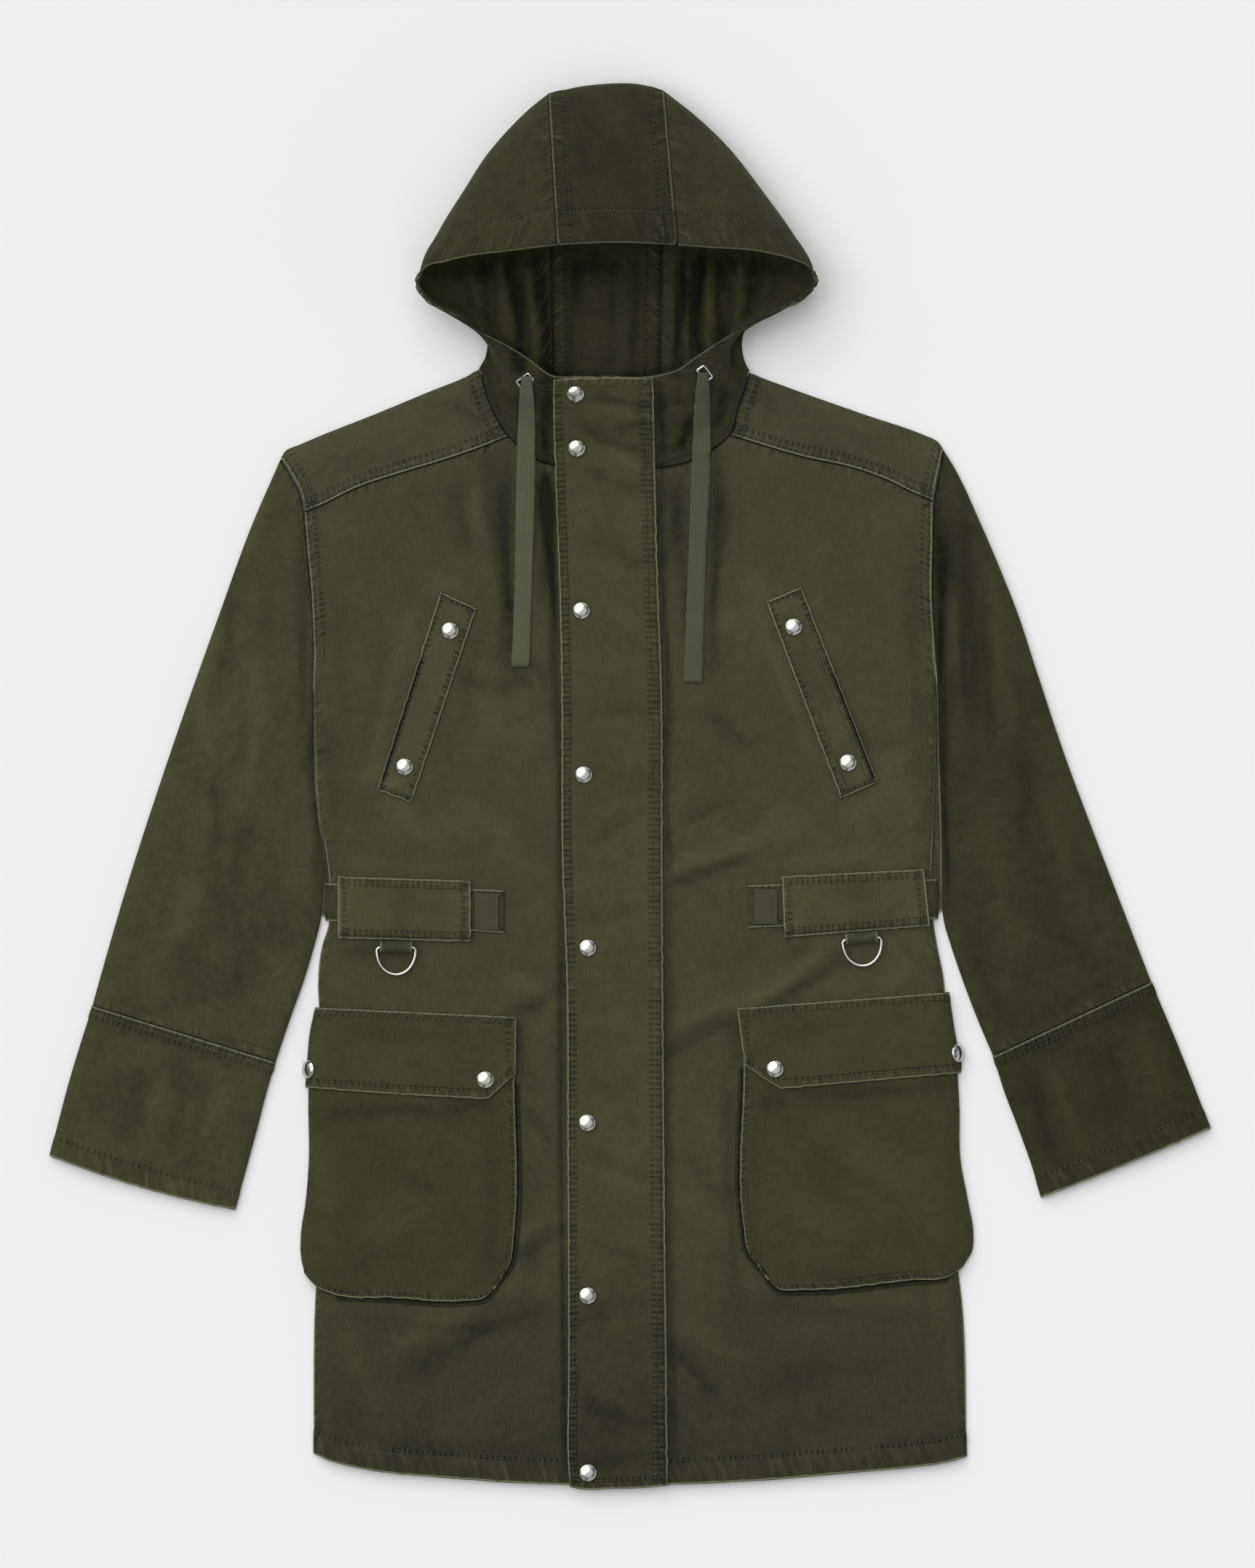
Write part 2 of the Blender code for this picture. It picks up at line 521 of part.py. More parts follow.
def coat_height(x, y):
    """What the placket and the drawstrings lie on: the fronts and the collar together."""
    x, y = np.broadcast_arrays(np.asarray(x, float), np.asarray(y, float))
    height = np.array(body_height(x, y))
    for spot in np.ndindex(x.shape):
        _, index, away = COLLAR_TREE.find((x[spot], y[spot], 0))
        if away < COLLAR_REACH:
            height[spot] = max(height[spot], COLLAR_POINTS[index][2] + COLLAR_SLACK)
    return height


def pocket_lift(share_x, share_y):
    """The pocket's outer face over the front, from its edges to its middle."""
    crown = np.sqrt(np.clip(4 * share_x * (1 - share_x), 0, 1)) * smooth_step(share_y * 4)
    return POCKET_LIFT + POCKET_PUFF * crown * smooth_step((1 - share_y) * 4)


# Objects


def linear(colour):
    return [c / 12.92 if c <= 0.04045 else ((c + 0.055) / 1.055) ** 2.4 for c in colour]


def finish(obj, colour, roughness=0.85, metallic=0.0):
    """Gives an object its own material, and puts it in the coat's collection."""
    material = bpy.data.materials.new(obj.name)
    material.use_nodes = True
    shader = material.node_tree.nodes["Principled BSDF"]
    shader.inputs["Base Color"].default_value = (*linear(colour), 1)
    shader.inputs["Roughness"].default_value = roughness
    shader.inputs["Metallic"].default_value = metallic
    obj.data.materials.clear()
    obj.data.materials.append(material)
    for owner in list(obj.users_collection):
        owner.objects.unlink(obj)
    bpy.data.collections[COLLECTION].objects.link(obj)
    return obj


def cloth(name, grid, wall=CLOTH, colour=OLIVE, ring=False, flip=False):
    """A wall of cloth whose outer face is a grid of points; ring joins its last column to its first."""
    rows, columns = grid.shape[:2]
    mesh = bmesh.new()
    points = [[mesh.verts.new(Vector(point) * MM) for point in row] for row in grid]
    for row in range(rows - 1):
        for column in range(columns if ring else columns - 1):
            beside = (column + 1) % columns
            corners = [
                points[row][column],
                points[row + 1][column],
                points[row + 1][beside],
                points[row][beside],
            ]
            mesh.faces.new(corners[::-1] if flip else corners)
    data = bpy.data.meshes.new(name)
    mesh.to_mesh(data)
    mesh.free()
    data.shade_smooth()
    obj = bpy.data.objects.new(name, data)
    bpy.context.scene.collection.objects.link(obj)
    solidify = obj.modifiers.new("wall", "SOLIDIFY")
    solidify.thickness = wall * MM
    solidify.offset = -1
    return finish(obj, colour)


def with_height(grid, height):
    return np.dstack([grid, height])


def curve_object(name, splines, cyclic=True, bevel=0.0, extrude=0.0, resolution=2, flat=True):
    """A curve object from runs of points: an outline with a thickness, or a wire."""
    data = bpy.data.curves.new(name, "CURVE")
    data.dimensions = "2D" if flat else "3D"
    if flat:
        data.fill_mode = "BOTH"
    data.extrude = extrude * MM
    data.bevel_depth = bevel * MM
    data.bevel_resolution = resolution
    data.use_fill_caps = not cyclic
    for points in splines:
        spline = data.splines.new("POLY")
        spline.points.add(len(points) - 1)
        for slot, point in zip(spline.points, points):
            x, y, z = (*point, 0.0)[:3]
            slot.co = (x * MM, y * MM, z * MM, 1)
        spline.use_cyclic_u = cyclic
    obj = bpy.data.objects.new(name, data)
    bpy.context.scene.collection.objects.link(obj)
    return obj


# Body


def back_side(upper, lower, side, sleeve, inward):
    """The back's edge from the shoulder down the armhole, beside the sleeve and down the side."""
    armhole = smooth_curve(upper)(spread(4))[1:-1]
    points = np.concatenate([armhole, joined(lower, side)(np.array(BODY_ROWS))])
    underarm = len(armhole) + UNDERARM_ROW
    waist = len(armhole) + WAIST_ROW
    points[:underarm, 0] += 2 * SEAM * inward
    points[underarm, 0] += BACK_INSET * inward
    beside = points[underarm + 1 : waist]
    beside[:, 0] = edge_x(sleeve, beside[:, 1]) + 2 * SEAM * inward
    points[waist:, 0] += BACK_INSET * inward
    return [tuple(point) for point in points]


def back_panel():
    """The layer that rests on the surface, a flat sheet just inside the rolled edges."""
    sleeve_left, sleeve_right = SLEEVE_LEFT_EDGES[1], SLEEVE_RIGHT_EDGES[0]
    left = back_side(ARMHOLE_LEFT_UPPER, ARMHOLE_LEFT_LOWER, SIDE_LEFT, sleeve_left, 1)
    right = back_side(ARMHOLE_RIGHT_UPPER, ARMHOLE_RIGHT_LOWER, SIDE_RIGHT, sleeve_right, -1)
    shoulder_left = [(x, y - BACK_INSET) for x, y in SHOULDER_LEFT[2:-1]]
    shoulder_right = [(x, y - BACK_INSET) for x, y in SHOULDER_RIGHT[1:-2]]
    neck = [(x, y - SEAM) for x, y in BACK_NECK]
    hem = [*HEM_LEFT[1:], *HEM_RIGHT[1:-1]]
    outline = [*reversed(left), *shoulder_left, *neck, *shoulder_right, *right, *reversed(hem)]
    obj = curve_object("back_panel", [outline], extrude=CLOTH / 2)
    obj.location.z = CLOTH / 2 * MM
    finish(obj, OLIVE)


def front_columns(yoke_seam, neck, width, count):
    """Shares along a front's top: its rolled side, the yoke's seam, and the neck's own points."""
    seam = np.linalg.norm(np.diff(np.array(yoke_seam, float), axis=0), axis=1).sum()
    steps = np.linalg.norm(np.diff(np.array(neck, float), axis=0), axis=1)
    corner = seam / (seam + steps.sum())
    rolled = rolled_spread(width, 1)[: len(ROLL_STEPS)]
    even = np.linspace(rolled[-1], corner, count + 1)[1:]
    return np.concatenate([rolled, even, corner + (1 - corner) * np.cumsum(steps) / steps.sum()])


def fronts():
    """Both fronts below the yokes, from the sides to the closed centre front."""
    down = np.array(BODY_ROWS)
    centre = smooth_curve(CENTRE_FRONT)
    neck = neck_run(HOOD_LEFT, HOOD_YOKE, len(HOOD_LEFT) - 1)
    across = front_columns(YOKE_SEAM_LEFT, neck, 225, 4)
    grid = patch(
        joined(YOKE_SEAM_LEFT, neck),
        smooth_curve(HEM_LEFT),
        joined(ARMHOLE_LEFT_LOWER, SIDE_LEFT),
        centre,
        across,
        down,
    )
    grid = cut_back(grid, top=SEAM, right=SEAM / 2)
    grid[:UNDERARM_ROW, 0, 0] += SEAM
    cloth("front_left", with_height(grid, body_height(grid[..., 0], grid[..., 1])))
    neck = neck_run(HOOD_RIGHT, HOOD_YOKE, len(HOOD_RIGHT) - 1)
    across = front_columns(YOKE_SEAM_RIGHT, neck, 245, 4)
    grid = patch(
        joined(neck[::-1], YOKE_SEAM_RIGHT),
        smooth_curve(HEM_RIGHT),
        centre,
        joined(ARMHOLE_RIGHT_LOWER, SIDE_RIGHT),
        1 - across[::-1],
        down,
    )
    grid = cut_back(grid, top=SEAM, left=SEAM / 2)
    grid[:UNDERARM_ROW, -1, 0] -= SEAM
    cloth("front_right", with_height(grid, body_height(grid[..., 0], grid[..., 1])))


def yokes():
    """The front yokes, which roll over the shoulder line."""
    down = rolled_spread(62, 3)
    neck_left = neck_run(HOOD_LEFT, HOOD_SHOULDER, HOOD_YOKE)
    neck_right = neck_run(HOOD_RIGHT, HOOD_SHOULDER, HOOD_YOKE)
    for name, top, bottom, left, right in (
        ("yoke_left", SHOULDER_LEFT, YOKE_SEAM_LEFT, ARMHOLE_LEFT_UPPER, neck_left),
        ("yoke_right", SHOULDER_RIGHT, YOKE_SEAM_RIGHT, neck_right, ARMHOLE_RIGHT_UPPER),
    ):
        edges = [smooth_curve(edge) for edge in (top, bottom, left, right)]
        grid = patch(*edges, spread(12), down)
        grid = cut_back(grid, bottom=SEAM / 2, left=2 * SEAM, right=2 * SEAM)
        cloth(name, with_height(grid, shoulder_height(grid)))


def tube_ring(line, width):
    """One ring round a flattened tube, from a function of plan points across it."""
    rise = np.radians([0, 30, 60, 90])
    fall = np.radians([45, 90])
    near = ROLL * (1 - np.cos(rise))
    below = SIDE_LOW * (1 - np.cos(fall))
    inner = np.linspace(ROLL, width - ROLL, 6)[1:-1]
    under = np.linspace(SIDE_LOW, width - SIDE_LOW, 4)[1:-1]
    places = np.concatenate([near, inner, width - near[::-1], width - below, under[::-1], below[::-1]])
    plan = line(places / width)
    flat = top_height(plan[:, 0], plan[:, 1])
    height = np.zeros(len(places))
    count = len(near) * 2 + len(inner)
    shares = np.concatenate([np.sin(rise), np.ones(len(inner)), np.sin(rise[::-1])])
    height[:count] = SIDE_MIDDLE + (flat[:count] - SIDE_MIDDLE) * shares
    height[count : count + len(below)] = SIDE_MIDDLE * (1 - np.sin(fall))
    height[-len(below) :] = SIDE_MIDDLE * (1 - np.sin(fall[::-1]))
    return np.column_stack([plan, height])


def tube(name, edges, rows, start_line=None, bow=0.0, cut_start=0.0, cut_end=0.0):
    """A flattened tube between a left and a right edge. start_line is its first cross line."""
    left, right = smooth_curve(edges[0]), smooth_curve(edges[1])
    rings = []
    for share in rows:
        a, b = left(share), right(share)
        width = np.linalg.norm(b - a)

        def line(places, a=a, b=b, share=share):
            points = a + (b - a) * places[:, None]
            if start_line is not None:
                straight = left(0.0) + (right(0.0) - left(0.0)) * places[:, None]
                points = points + (start_line(places) - straight) * max(0.0, 1 - share * 4) ** 2
            points[:, 1] -= bow * share * 4 * places * (1 - places)
            return points

        rings.append(tube_ring(line, width))
    grid = np.array(rings)
    cloth(name, cut_back(grid, top=cut_start, bottom=cut_end), ring=True)


def sleeves():
    rows = np.concatenate([[0, 0.035, 0.08, 0.14], np.linspace(0.21, 1, 11)])
    armhole = joined(ARMHOLE_LEFT_UPPER, ARMHOLE_LEFT_LOWER)
    tube("sleeve_left", SLEEVE_LEFT_EDGES, rows, armhole, cut_start=SEAM, cut_end=SEAM / 2)
    armhole = joined(ARMHOLE_RIGHT_LOWER[::-1], ARMHOLE_RIGHT_UPPER[::-1])
    tube("sleeve_right", SLEEVE_RIGHT_EDGES, rows, armhole, cut_start=SEAM, cut_end=SEAM / 2)
    for side, edges, bow in zip(("left", "right"), (CUFF_LEFT_EDGES, CUFF_RIGHT_EDGES), CUFF_BOWS):
        tube(f"cuff_{side}", edges, spread(5), bow=bow, cut_start=SEAM / 2)


# Hood


def hood():
    """The centre strip and the two sides; the sides carry the collar's front."""
    for name, table, flip in (
        ("hood_centre", HOOD_CENTRE, False),
        ("hood_right", HOOD_RIGHT, False),
        ("hood_left", HOOD_LEFT, True),
    ):
        grid = cut_back(hood_grid(table), top=HOOD_SEAM, bottom=HOOD_SEAM, right=SEAM)
        cloth(name, grid, flip=flip)


# Pieces on the fronts


def placket():
    """The storm flap, from the collar's edge to the hem."""
    down = np.concatenate([spread(9)[:-1] * 0.11, 0.11 + 0.89 * spread(13)])
    grid = patch(
        smooth_curve(PLACKET_TOP),
        smooth_curve(PLACKET_HEM),
        smooth_curve(PLACKET_LEFT),
        smooth_curve(PLACKET_RIGHT),
        spread(4),
        down,
    )
    height = coat_height(grid[..., 0], grid[..., 1]) + LAY + TRIM + 0.3
    cloth("placket", with_height(grid, height), TRIM)


def four_cornered(corners, across, down):
    top_left, top_right, bottom_left, bottom_right = corners
    return patch(
        line_between(top_left, top_right),
        line_between(bottom_left, bottom_right),
        line_between(top_left, bottom_left),
        line_between(top_right, bottom_right),
        across,
        down,
    )


def welts():
    for name, corners in (("chest_welt_left", WELT_LEFT), ("chest_welt_right", WELT_RIGHT)):
        grid = four_cornered(corners, spread(3), spread(10))
        height = body_height(grid[..., 0], grid[..., 1]) + LAY + TRIM
        cloth(name, with_height(grid, height), TRIM)


def waist():
    """The waist straps, their hook-and-loop ends and the tunnels over them."""
    strap_lift = LAY + TRIM
    for side, strap, tunnel, tab, outer_left in (
        ("left", STRAP_LEFT, TUNNEL_LEFT, TAB_LEFT, True),
        ("right", STRAP_RIGHT, TUNNEL_RIGHT, TAB_RIGHT, False),
    ):
        across = rolled_spread(150, 7, at_start=outer_left)
        grid = four_cornered(strap, across, spread(2))
        outer = grid[:, :1] if outer_left else grid[:, -1:]
        overhang = -side_distance(outer[..., 0], outer[..., 1])
        height = body_height(grid[..., 0], grid[..., 1], strap_lift, overhang)
        cloth(f"strap_{side}", with_height(grid, height), TRIM)
        grid = four_cornered(tab, spread(2), spread(2))
        height = body_height(grid[..., 0], grid[..., 1], strap_lift + LAY + WEBBING)
        cloth(f"tab_{side}", with_height(grid, height), WEBBING)
        width = abs(tunnel[1][0] - tunnel[0][0])
        across = rolled_spread(width, 5, at_start=outer_left)
        depth = tunnel[0][1] - tunnel[2][1]
        ramp = TUNNEL_RAMP / depth
        down = np.array([0, ramp, 0.5, 1 - ramp, 1])
        grid = four_cornered(tunnel, across, down)
        rise = np.clip(np.minimum(down, 1 - down) / ramp, 0, 1)[:, None]
        lift = LAY + TRIM + (strap_lift + 0.1) * rise
        height = body_height(grid[..., 0], grid[..., 1], lift, overhang.max() + LAY + TRIM)
        cloth(f"tunnel_{side}", with_height(grid, height), TRIM)


def pocket_edges(side):
    """Top, hem, left and right edge of a pocket."""
    if side == "left":
        return POCKET_LEFT_TOP, POCKET_LEFT_HEM, POCKET_LEFT_OUTER, POCKET_LEFT_INNER
    return POCKET_RIGHT_TOP, POCKET_RIGHT_HEM, POCKET_RIGHT_INNER, POCKET_RIGHT_OUTER


def wrapped_height(grid, lift, outer_left):
    """A piece on the front that wraps round the side at its own outer edge."""
    outer = grid[:, :1] if outer_left else grid[:, -1:]
    overhang = np.maximum(0.0, -side_distance(outer[..., 0], outer[..., 1]))
    return body_height(grid[..., 0], grid[..., 1], lift, overhang)


def pockets():
    """The bellows pockets, which wrap round the sides."""
    down = np.concatenate([[0], np.linspace(0.12, 1, 9)])
    for side in ("left", "right"):
        edges = [smooth_curve(edge) for edge in pocket_edges(side)]
        across = rolled_spread(172, 7, at_start=side == "left")
        grid = patch(*edges, across, down)
        share_x = across[None, :] * np.ones_like(down)[:, None]
        lift = pocket_lift(share_x, down[:, None])
        height = wrapped_height(grid, lift, side == "left")
        cloth(f"pocket_{side}", with_height(grid, height), TRIM)


def gussets():
    """The bellows folds, which show as a narrow step outside the pockets' inner and lower edges."""
    for side, inner, hem in (
        ("left", POCKET_LEFT_INNER, POCKET_LEFT_HEM[2:][::-1]),
        ("right", POCKET_RIGHT_INNER, POCKET_RIGHT_HEM[:-1]),
    ):
        turn = 1 if side == "left" else -1
        path = smooth_curve((*inner[1:], *hem[1:]))(spread(24))
        along = np.gradient(path, axis=0)
        along /= np.linalg.norm(along, axis=1, keepdims=True)
        out = np.column_stack([-along[:, 1], along[:, 0]]) * turn
        rows = [path + out * GUSSET_OUT, path - out * GUSSET_IN]
        grid = np.stack(rows, axis=1)
        height = body_height(grid[..., 0], grid[..., 1], LAY + TRIM)
        cloth(f"gusset_{side}", with_height(grid, height), TRIM, flip=side == "left")


def flaps():
    """The pocket flaps, with their inner lower corner cut off."""
    down = np.array([0, 0.1, 0.28, 0.5, 0.75, 1])
    for side, top, hem, left, right in (
        ("left", FLAP_LEFT_TOP, (FLAP_LEFT_HEM, FLAP_LEFT_CUT), FLAP_LEFT_OUTER, FLAP_LEFT_INNER),
        ("right", FLAP_RIGHT_TOP, (FLAP_RIGHT_CUT, FLAP_RIGHT_HEM), FLAP_RIGHT_INNER, FLAP_RIGHT_OUTER),
    ):
        across = rolled_spread(172, 8, at_start=side == "left")
        grid = patch(
            smooth_curve(top), joined(*hem), smooth_curve(left), smooth_curve(right), across, down
        )
        start = grid[:1]
        below = np.linalg.norm(grid - start, axis=-1)
        full = POCKET_LIFT + POCKET_PUFF + LAY + TRIM
        lift = LAY + TRIM + (full - LAY - TRIM) * smooth_step(below / FLAP_SEAM)
        height = wrapped_height(grid, lift, side == "left")
        cloth(f"flap_{side}", with_height(grid, height), TRIM)


# Hard pieces


def surface_seat(carrier, x, y, reach):
    """A place just clear of an object's top for a round piece of a given reach, and its turn."""
    tree = BVHTree.FromObject(bpy.data.objects[carrier], bpy.context.evaluated_depsgraph_get())

    def hit(across, along):
        start = Vector((x + across, y + along, 100)) * MM
        return tree.ray_cast(start, Vector((0, 0, -1)))[0] / MM

    middle = hit(0, 0)
    inner = reach * 0.6
    slope_x = (hit(inner, 0).z - hit(-inner, 0).z) / (2 * inner)
    slope_y = (hit(0, inner).z - hit(0, -inner).z) / (2 * inner)
    normal = Vector((-slope_x, -slope_y, 1)).normalized()
    rise = 0.0
    for step in range(12):
        angle = math.pi * step / 6
        beside = hit(reach * math.cos(angle), reach * math.sin(angle))
        rise = max(rise, (beside - middle).dot(normal))
    return middle + normal * rise, normal, Vector((0, 0, 1)).rotation_difference(normal)


def snap(name, carrier, place, gap=SNAP_GAP, reach=SNAP_RADIUS):
    """A domed metal cap, turned from its profile."""
    mesh = bmesh.new()
    points = [Vector((r * SNAP_RADIUS, 0, z * SNAP_HEIGHT)) * MM for r, z in SNAP_PROFILE]
    verts = [mesh.verts.new(point) for point in points]
    for start, end in zip(verts, verts[1:]):
        mesh.edges.new((start, end))
    data = bpy.data.meshes.new(name)
    mesh.to_mesh(data)
    mesh.free()
    obj = bpy.data.objects.new(name, data)
    bpy.context.scene.collection.objects.link(obj)
    screw = obj.modifiers.new("turned", "SCREW")
    screw.steps = SNAP_STEPS
    screw.render_steps = SNAP_STEPS
    screw.use_merge_vertices = True
    screw.merge_threshold = 0.00001
    seat, normal, turn = surface_seat(carrier, *place, reach)
    obj.location = (seat + normal * gap) * MM
    obj.rotation_mode = "QUATERNION"
    obj.rotation_quaternion = turn
    finish(obj, STEEL, 0.25, 1.0)


def snaps():
    for number, place in enumerate(PLACKET_SNAPS, 1):
        snap(f"snap_placket_{number}", "placket", place)
    for number, place in enumerate(CHEST_SNAPS_LEFT, 1):
        snap(f"snap_chest_left_{number}", "chest_welt_left", place)
    for number, place in enumerate(CHEST_SNAPS_RIGHT, 1):
        snap(f"snap_chest_right_{number}", "chest_welt_right", place)
    snap("snap_flap_left", "flap_left", FLAP_SNAP_LEFT)
    snap("snap_flap_right", "flap_right", FLAP_SNAP_RIGHT)
    snap("snap_side_left", "flap_left", SIDE_SNAP_LEFT, SIDE_SNAP_GAP, SIDE_SNAP_REACH)
    snap("snap_side_right", "flap_right", SIDE_SNAP_RIGHT, SIDE_SNAP_GAP, SIDE_SNAP_REACH)


def rounded_loop(corners, radius, steps=4):
    """A closed run of points round a polygon with its corners rounded."""
    points = []
    count = len(corners)
    for index in range(count):
        corner = Vector(corners[index])
        before = (Vector(corners[index - 1]) - corner).normalized()
        after = (Vector(corners[(index + 1) % count]) - corner).normalized()
        half = before.angle(after) / 2
        reach = radius / math.tan(half)
        centre = corner + (before + after).normalized() * (radius / math.sin(half))
        start = corner + before * reach - centre
        end = corner + after * reach - centre
        for step in range(steps + 1):
            points.append(tuple(centre + start.slerp(end, step / steps)))
    return points


def d_ring_path():
    """The D's centre line: the straight bar along X through the origin, the bow towards -Y."""
    points = [(RING_HALF - RING_CORNER, 0.0), (-(RING_HALF - RING_CORNER), 0.0)]
    for degrees in (22.5, 45, 67.5):
        turn = math.radians(degrees)
        x = -RING_HALF + RING_CORNER * (1 - math.sin(turn))
        points.append((x, -RING_CORNER * (1 - math.cos(turn))))
    bow = RING_DEPTH - RING_CORNER
    for step in range(RING_STEPS + 1):
        turn = math.pi * step / RING_STEPS
        points.append((-RING_HALF * math.cos(turn), -RING_CORNER - bow * math.sin(turn)))
    for degrees in (67.5, 45, 22.5):
        turn = math.radians(degrees)
        x = RING_HALF - RING_CORNER * (1 - math.sin(turn))
        points.append((x, -RING_CORNER * (1 - math.cos(turn))))
    return points


def loop_outline():
    """The fabric loop's section: a round eye over the bar, and its sewn end towards +X."""
    eye = LOOP_BORE + WEBBING
    outer = [(LOOP_REACH, -eye), (LOOP_REACH, eye * 0.1)]
    for degrees in range(75, 271, 15):
        turn = math.radians(degrees)
        outer.append((eye * math.cos(turn), eye * math.sin(turn)))
    bore = []
    for step in range(14):
        turn = 2 * math.pi * step / 14
        bore.append((LOOP_BORE * math.cos(turn), LOOP_BORE * math.sin(turn)))
    return [outer, bore]


def d_rings():
    for side, (x, y, degrees) in (("left", RING_LEFT), ("right", RING_RIGHT)):
        z = float(body_height(np.array(x), np.array(y))) + RING_LIFT
        place = Vector((x, y, z)) * MM
        turn = Matrix.Rotation(math.radians(degrees), 4, "Z")
        ring = curve_object(f"d_ring_{side}", [d_ring_path()], bevel=RING_WIRE, flat=False)
        ring.modifiers.new("three_sided", "TRIANGULATE")
        drop = Matrix.Rotation(RING_DROP, 4, "X")
        ring.matrix_world = Matrix.Translation(place) @ turn @ drop
        finish(ring, STEEL, 0.25, 1.0)
        loop = curve_object(f"ring_loop_{side}", loop_outline(), extrude=LOOP_HALF)
        upright = Matrix(((0, 0, 1, 0), (1, 0, 0, 0), (0, 1, 0, 0), (0, 0, 0, 1)))
        loop.matrix_world = Matrix.Translation(place) @ turn @ upright
        finish(loop, OLIVE)


def outlets():
    """The angular wire rings at the hood's edge."""
    half_long, half_short = OUTLET_LONG / 2, OUTLET_SHORT / 2
    corners = [
        (-half_long, -half_short), (half_long, -half_short), (half_long, half_short),
        (-half_long, half_short),
    ]  # fmt: skip
    path = rounded_loop(corners, OUTLET_CORNER)
    for side, (x, y, degrees) in (("left", OUTLET_LEFT), ("right", OUTLET_RIGHT)):
        seat, normal, turn = surface_seat(f"hood_{side}", x, y, OUTLET_SHORT / 2)
        ring = curve_object(f"outlet_{side}", [path], bevel=OUTLET_WIRE, flat=False)
        place = (seat + normal * (OUTLET_WIRE + 2 * LAY)) * MM
        spin = Matrix.Rotation(math.radians(degrees), 4, "Z")
        ring.matrix_world = Matrix.Translation(place) @ turn.to_matrix().to_4x4() @ spin
        finish(ring, STEEL, 0.3, 1.0)


def drawstrings():
    """Flat tapes with free ends, lying on the collar and the fronts."""
    for side, table, outlet in (
        ("left", TAPE_LEFT, OUTLET_LEFT),
        ("right", TAPE_RIGHT, OUTLET_RIGHT),
    ):
        rows = smooth_curve(table)(np.concatenate([spread(10)[:-1] * 0.12, 0.12 + 0.88 * spread(22)]))
        across = np.array([-0.5, 0, 0.5])
        x = rows[:, :1] + rows[:, 2:] * across[None]
        y = rows[:, 1:2] + 0 * x
        hump = TAPE_HUMP * smooth_step((26 - (outlet[1] - y)) / 14)
        height = coat_height(x, y) + LAY + WEBBING + hump
        cloth(f"drawstring_{side}", np.dstack([x, y, height]), WEBBING, TAPE_GREEN)


def main():
    for obj in list(bpy.data.objects):
        bpy.data.objects.remove(obj)
    coat = bpy.data.collections.new(COLLECTION)
    bpy.context.scene.collection.children.link(coat)
    back_panel()
    fronts()
    yokes()
    sleeves()
    hood()
    placket()
    welts()
    waist()
    gussets()
    pockets()
    flaps()
    snaps()
    d_rings()
    outlets()
    drawstrings()


main()
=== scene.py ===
"""Hooded parka of heavy garment-dyed cotton twill, laid flat: cloth, sewing, metal and light.

The coat lies on the plane z = 0. +X is right and +Y is towards the hood, as seen from above.
Left and right in all names are as seen from above, so left is the wearer's right.
Tables and sizes are in millimetres; the meshes are written in metres.
"""

import math

import bpy
import numpy as np
from mathutils import Matrix, Vector
from mathutils.bvhtree import BVHTree
from mathutils.kdtree import KDTree


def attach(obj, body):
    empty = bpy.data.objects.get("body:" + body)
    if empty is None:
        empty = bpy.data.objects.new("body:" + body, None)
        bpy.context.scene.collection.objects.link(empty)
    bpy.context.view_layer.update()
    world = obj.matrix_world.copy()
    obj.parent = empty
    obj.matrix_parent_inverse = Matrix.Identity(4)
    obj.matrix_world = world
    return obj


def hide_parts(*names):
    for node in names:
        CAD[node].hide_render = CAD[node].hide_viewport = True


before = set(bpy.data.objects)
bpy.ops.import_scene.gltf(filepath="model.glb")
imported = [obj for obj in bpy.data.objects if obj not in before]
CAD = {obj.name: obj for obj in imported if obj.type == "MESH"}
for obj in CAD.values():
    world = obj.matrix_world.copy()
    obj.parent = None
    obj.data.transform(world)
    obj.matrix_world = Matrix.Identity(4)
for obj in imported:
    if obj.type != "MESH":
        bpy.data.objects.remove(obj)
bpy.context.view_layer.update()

MM = 0.001
COAT = "coat"

# Camera and light
VIEW_CENTRE = (-2.2, 2.3)
VIEW_HEIGHT = 1293.6
CAMERA_DISTANCE = 16000.0
CAMERA_REACH = 100.0  # metres
SENSOR = 36.0
SUN_TURN = (-26.0, -28.0, 0.0)  # degrees about X, Y and Z, so the light falls from the upper left
SUN_ANGLE = 75.0  # degrees
SUN_STRENGTH = 1.80
SKY_STRENGTH = 0.445
SKY_PANELS = 1.2  # how much the sky's panels and its middle differ from that, as shares
SKY_MIDDLE = 1.5
FLOOR_WHITE = 0.86
FLOOR_SIZE = 40000.0
FLOOR_DROP = 0.05

# Fineness of the cloth
STEP = 3.2  # usual distance between rows and columns
BACK_STEP = 5.0
TRIM_STEP = 2.8
NARROW_STEP = 2.5  # across the welts and straps, and down the straps and tunnels
CUFF_STEP = 2.6
YOKE_STEP = 1.8
TAB_STEPS = (1.6, 1.8)
SEAM_SHARE = 0.42  # the close columns beside an edge take up at most this share of the width
ROLL_STEP = 7.5  # degrees between the columns of a rolled edge
SEAM_STEPS = (0.0, 0.5, 1.2, 2.0, 3.0, 4.2, 5.6, 7.2, 9.0, 11.2, 13.6)  # columns beside an edge
HOOD_STEPS = 12
OVER_STEPS = 44
UNDER_STEPS = 6
FLOOR_STEPS = 14
TUBE_COLUMNS = 46
TUBE_ROUND = (11, 5)  # columns of a tube's upper and lower round edges
TUBE_UNDER = 22
COLLAR_GRID = (22, 6, 10)  # steps over the brow, under it and along the surface, for the collar's lookup
COLLAR_FINER = 4
GUSSET_ROWS = 120
GUSSET_COLUMNS = 13
LOOP_COLUMNS = 23
TAPE_ROWS = 110
TAPE_COLUMNS = 9
SNAP_STEPS = 48
WIRE_BEVEL = 5
CORNER_STEPS = 8
SEAT_STEPS = 12
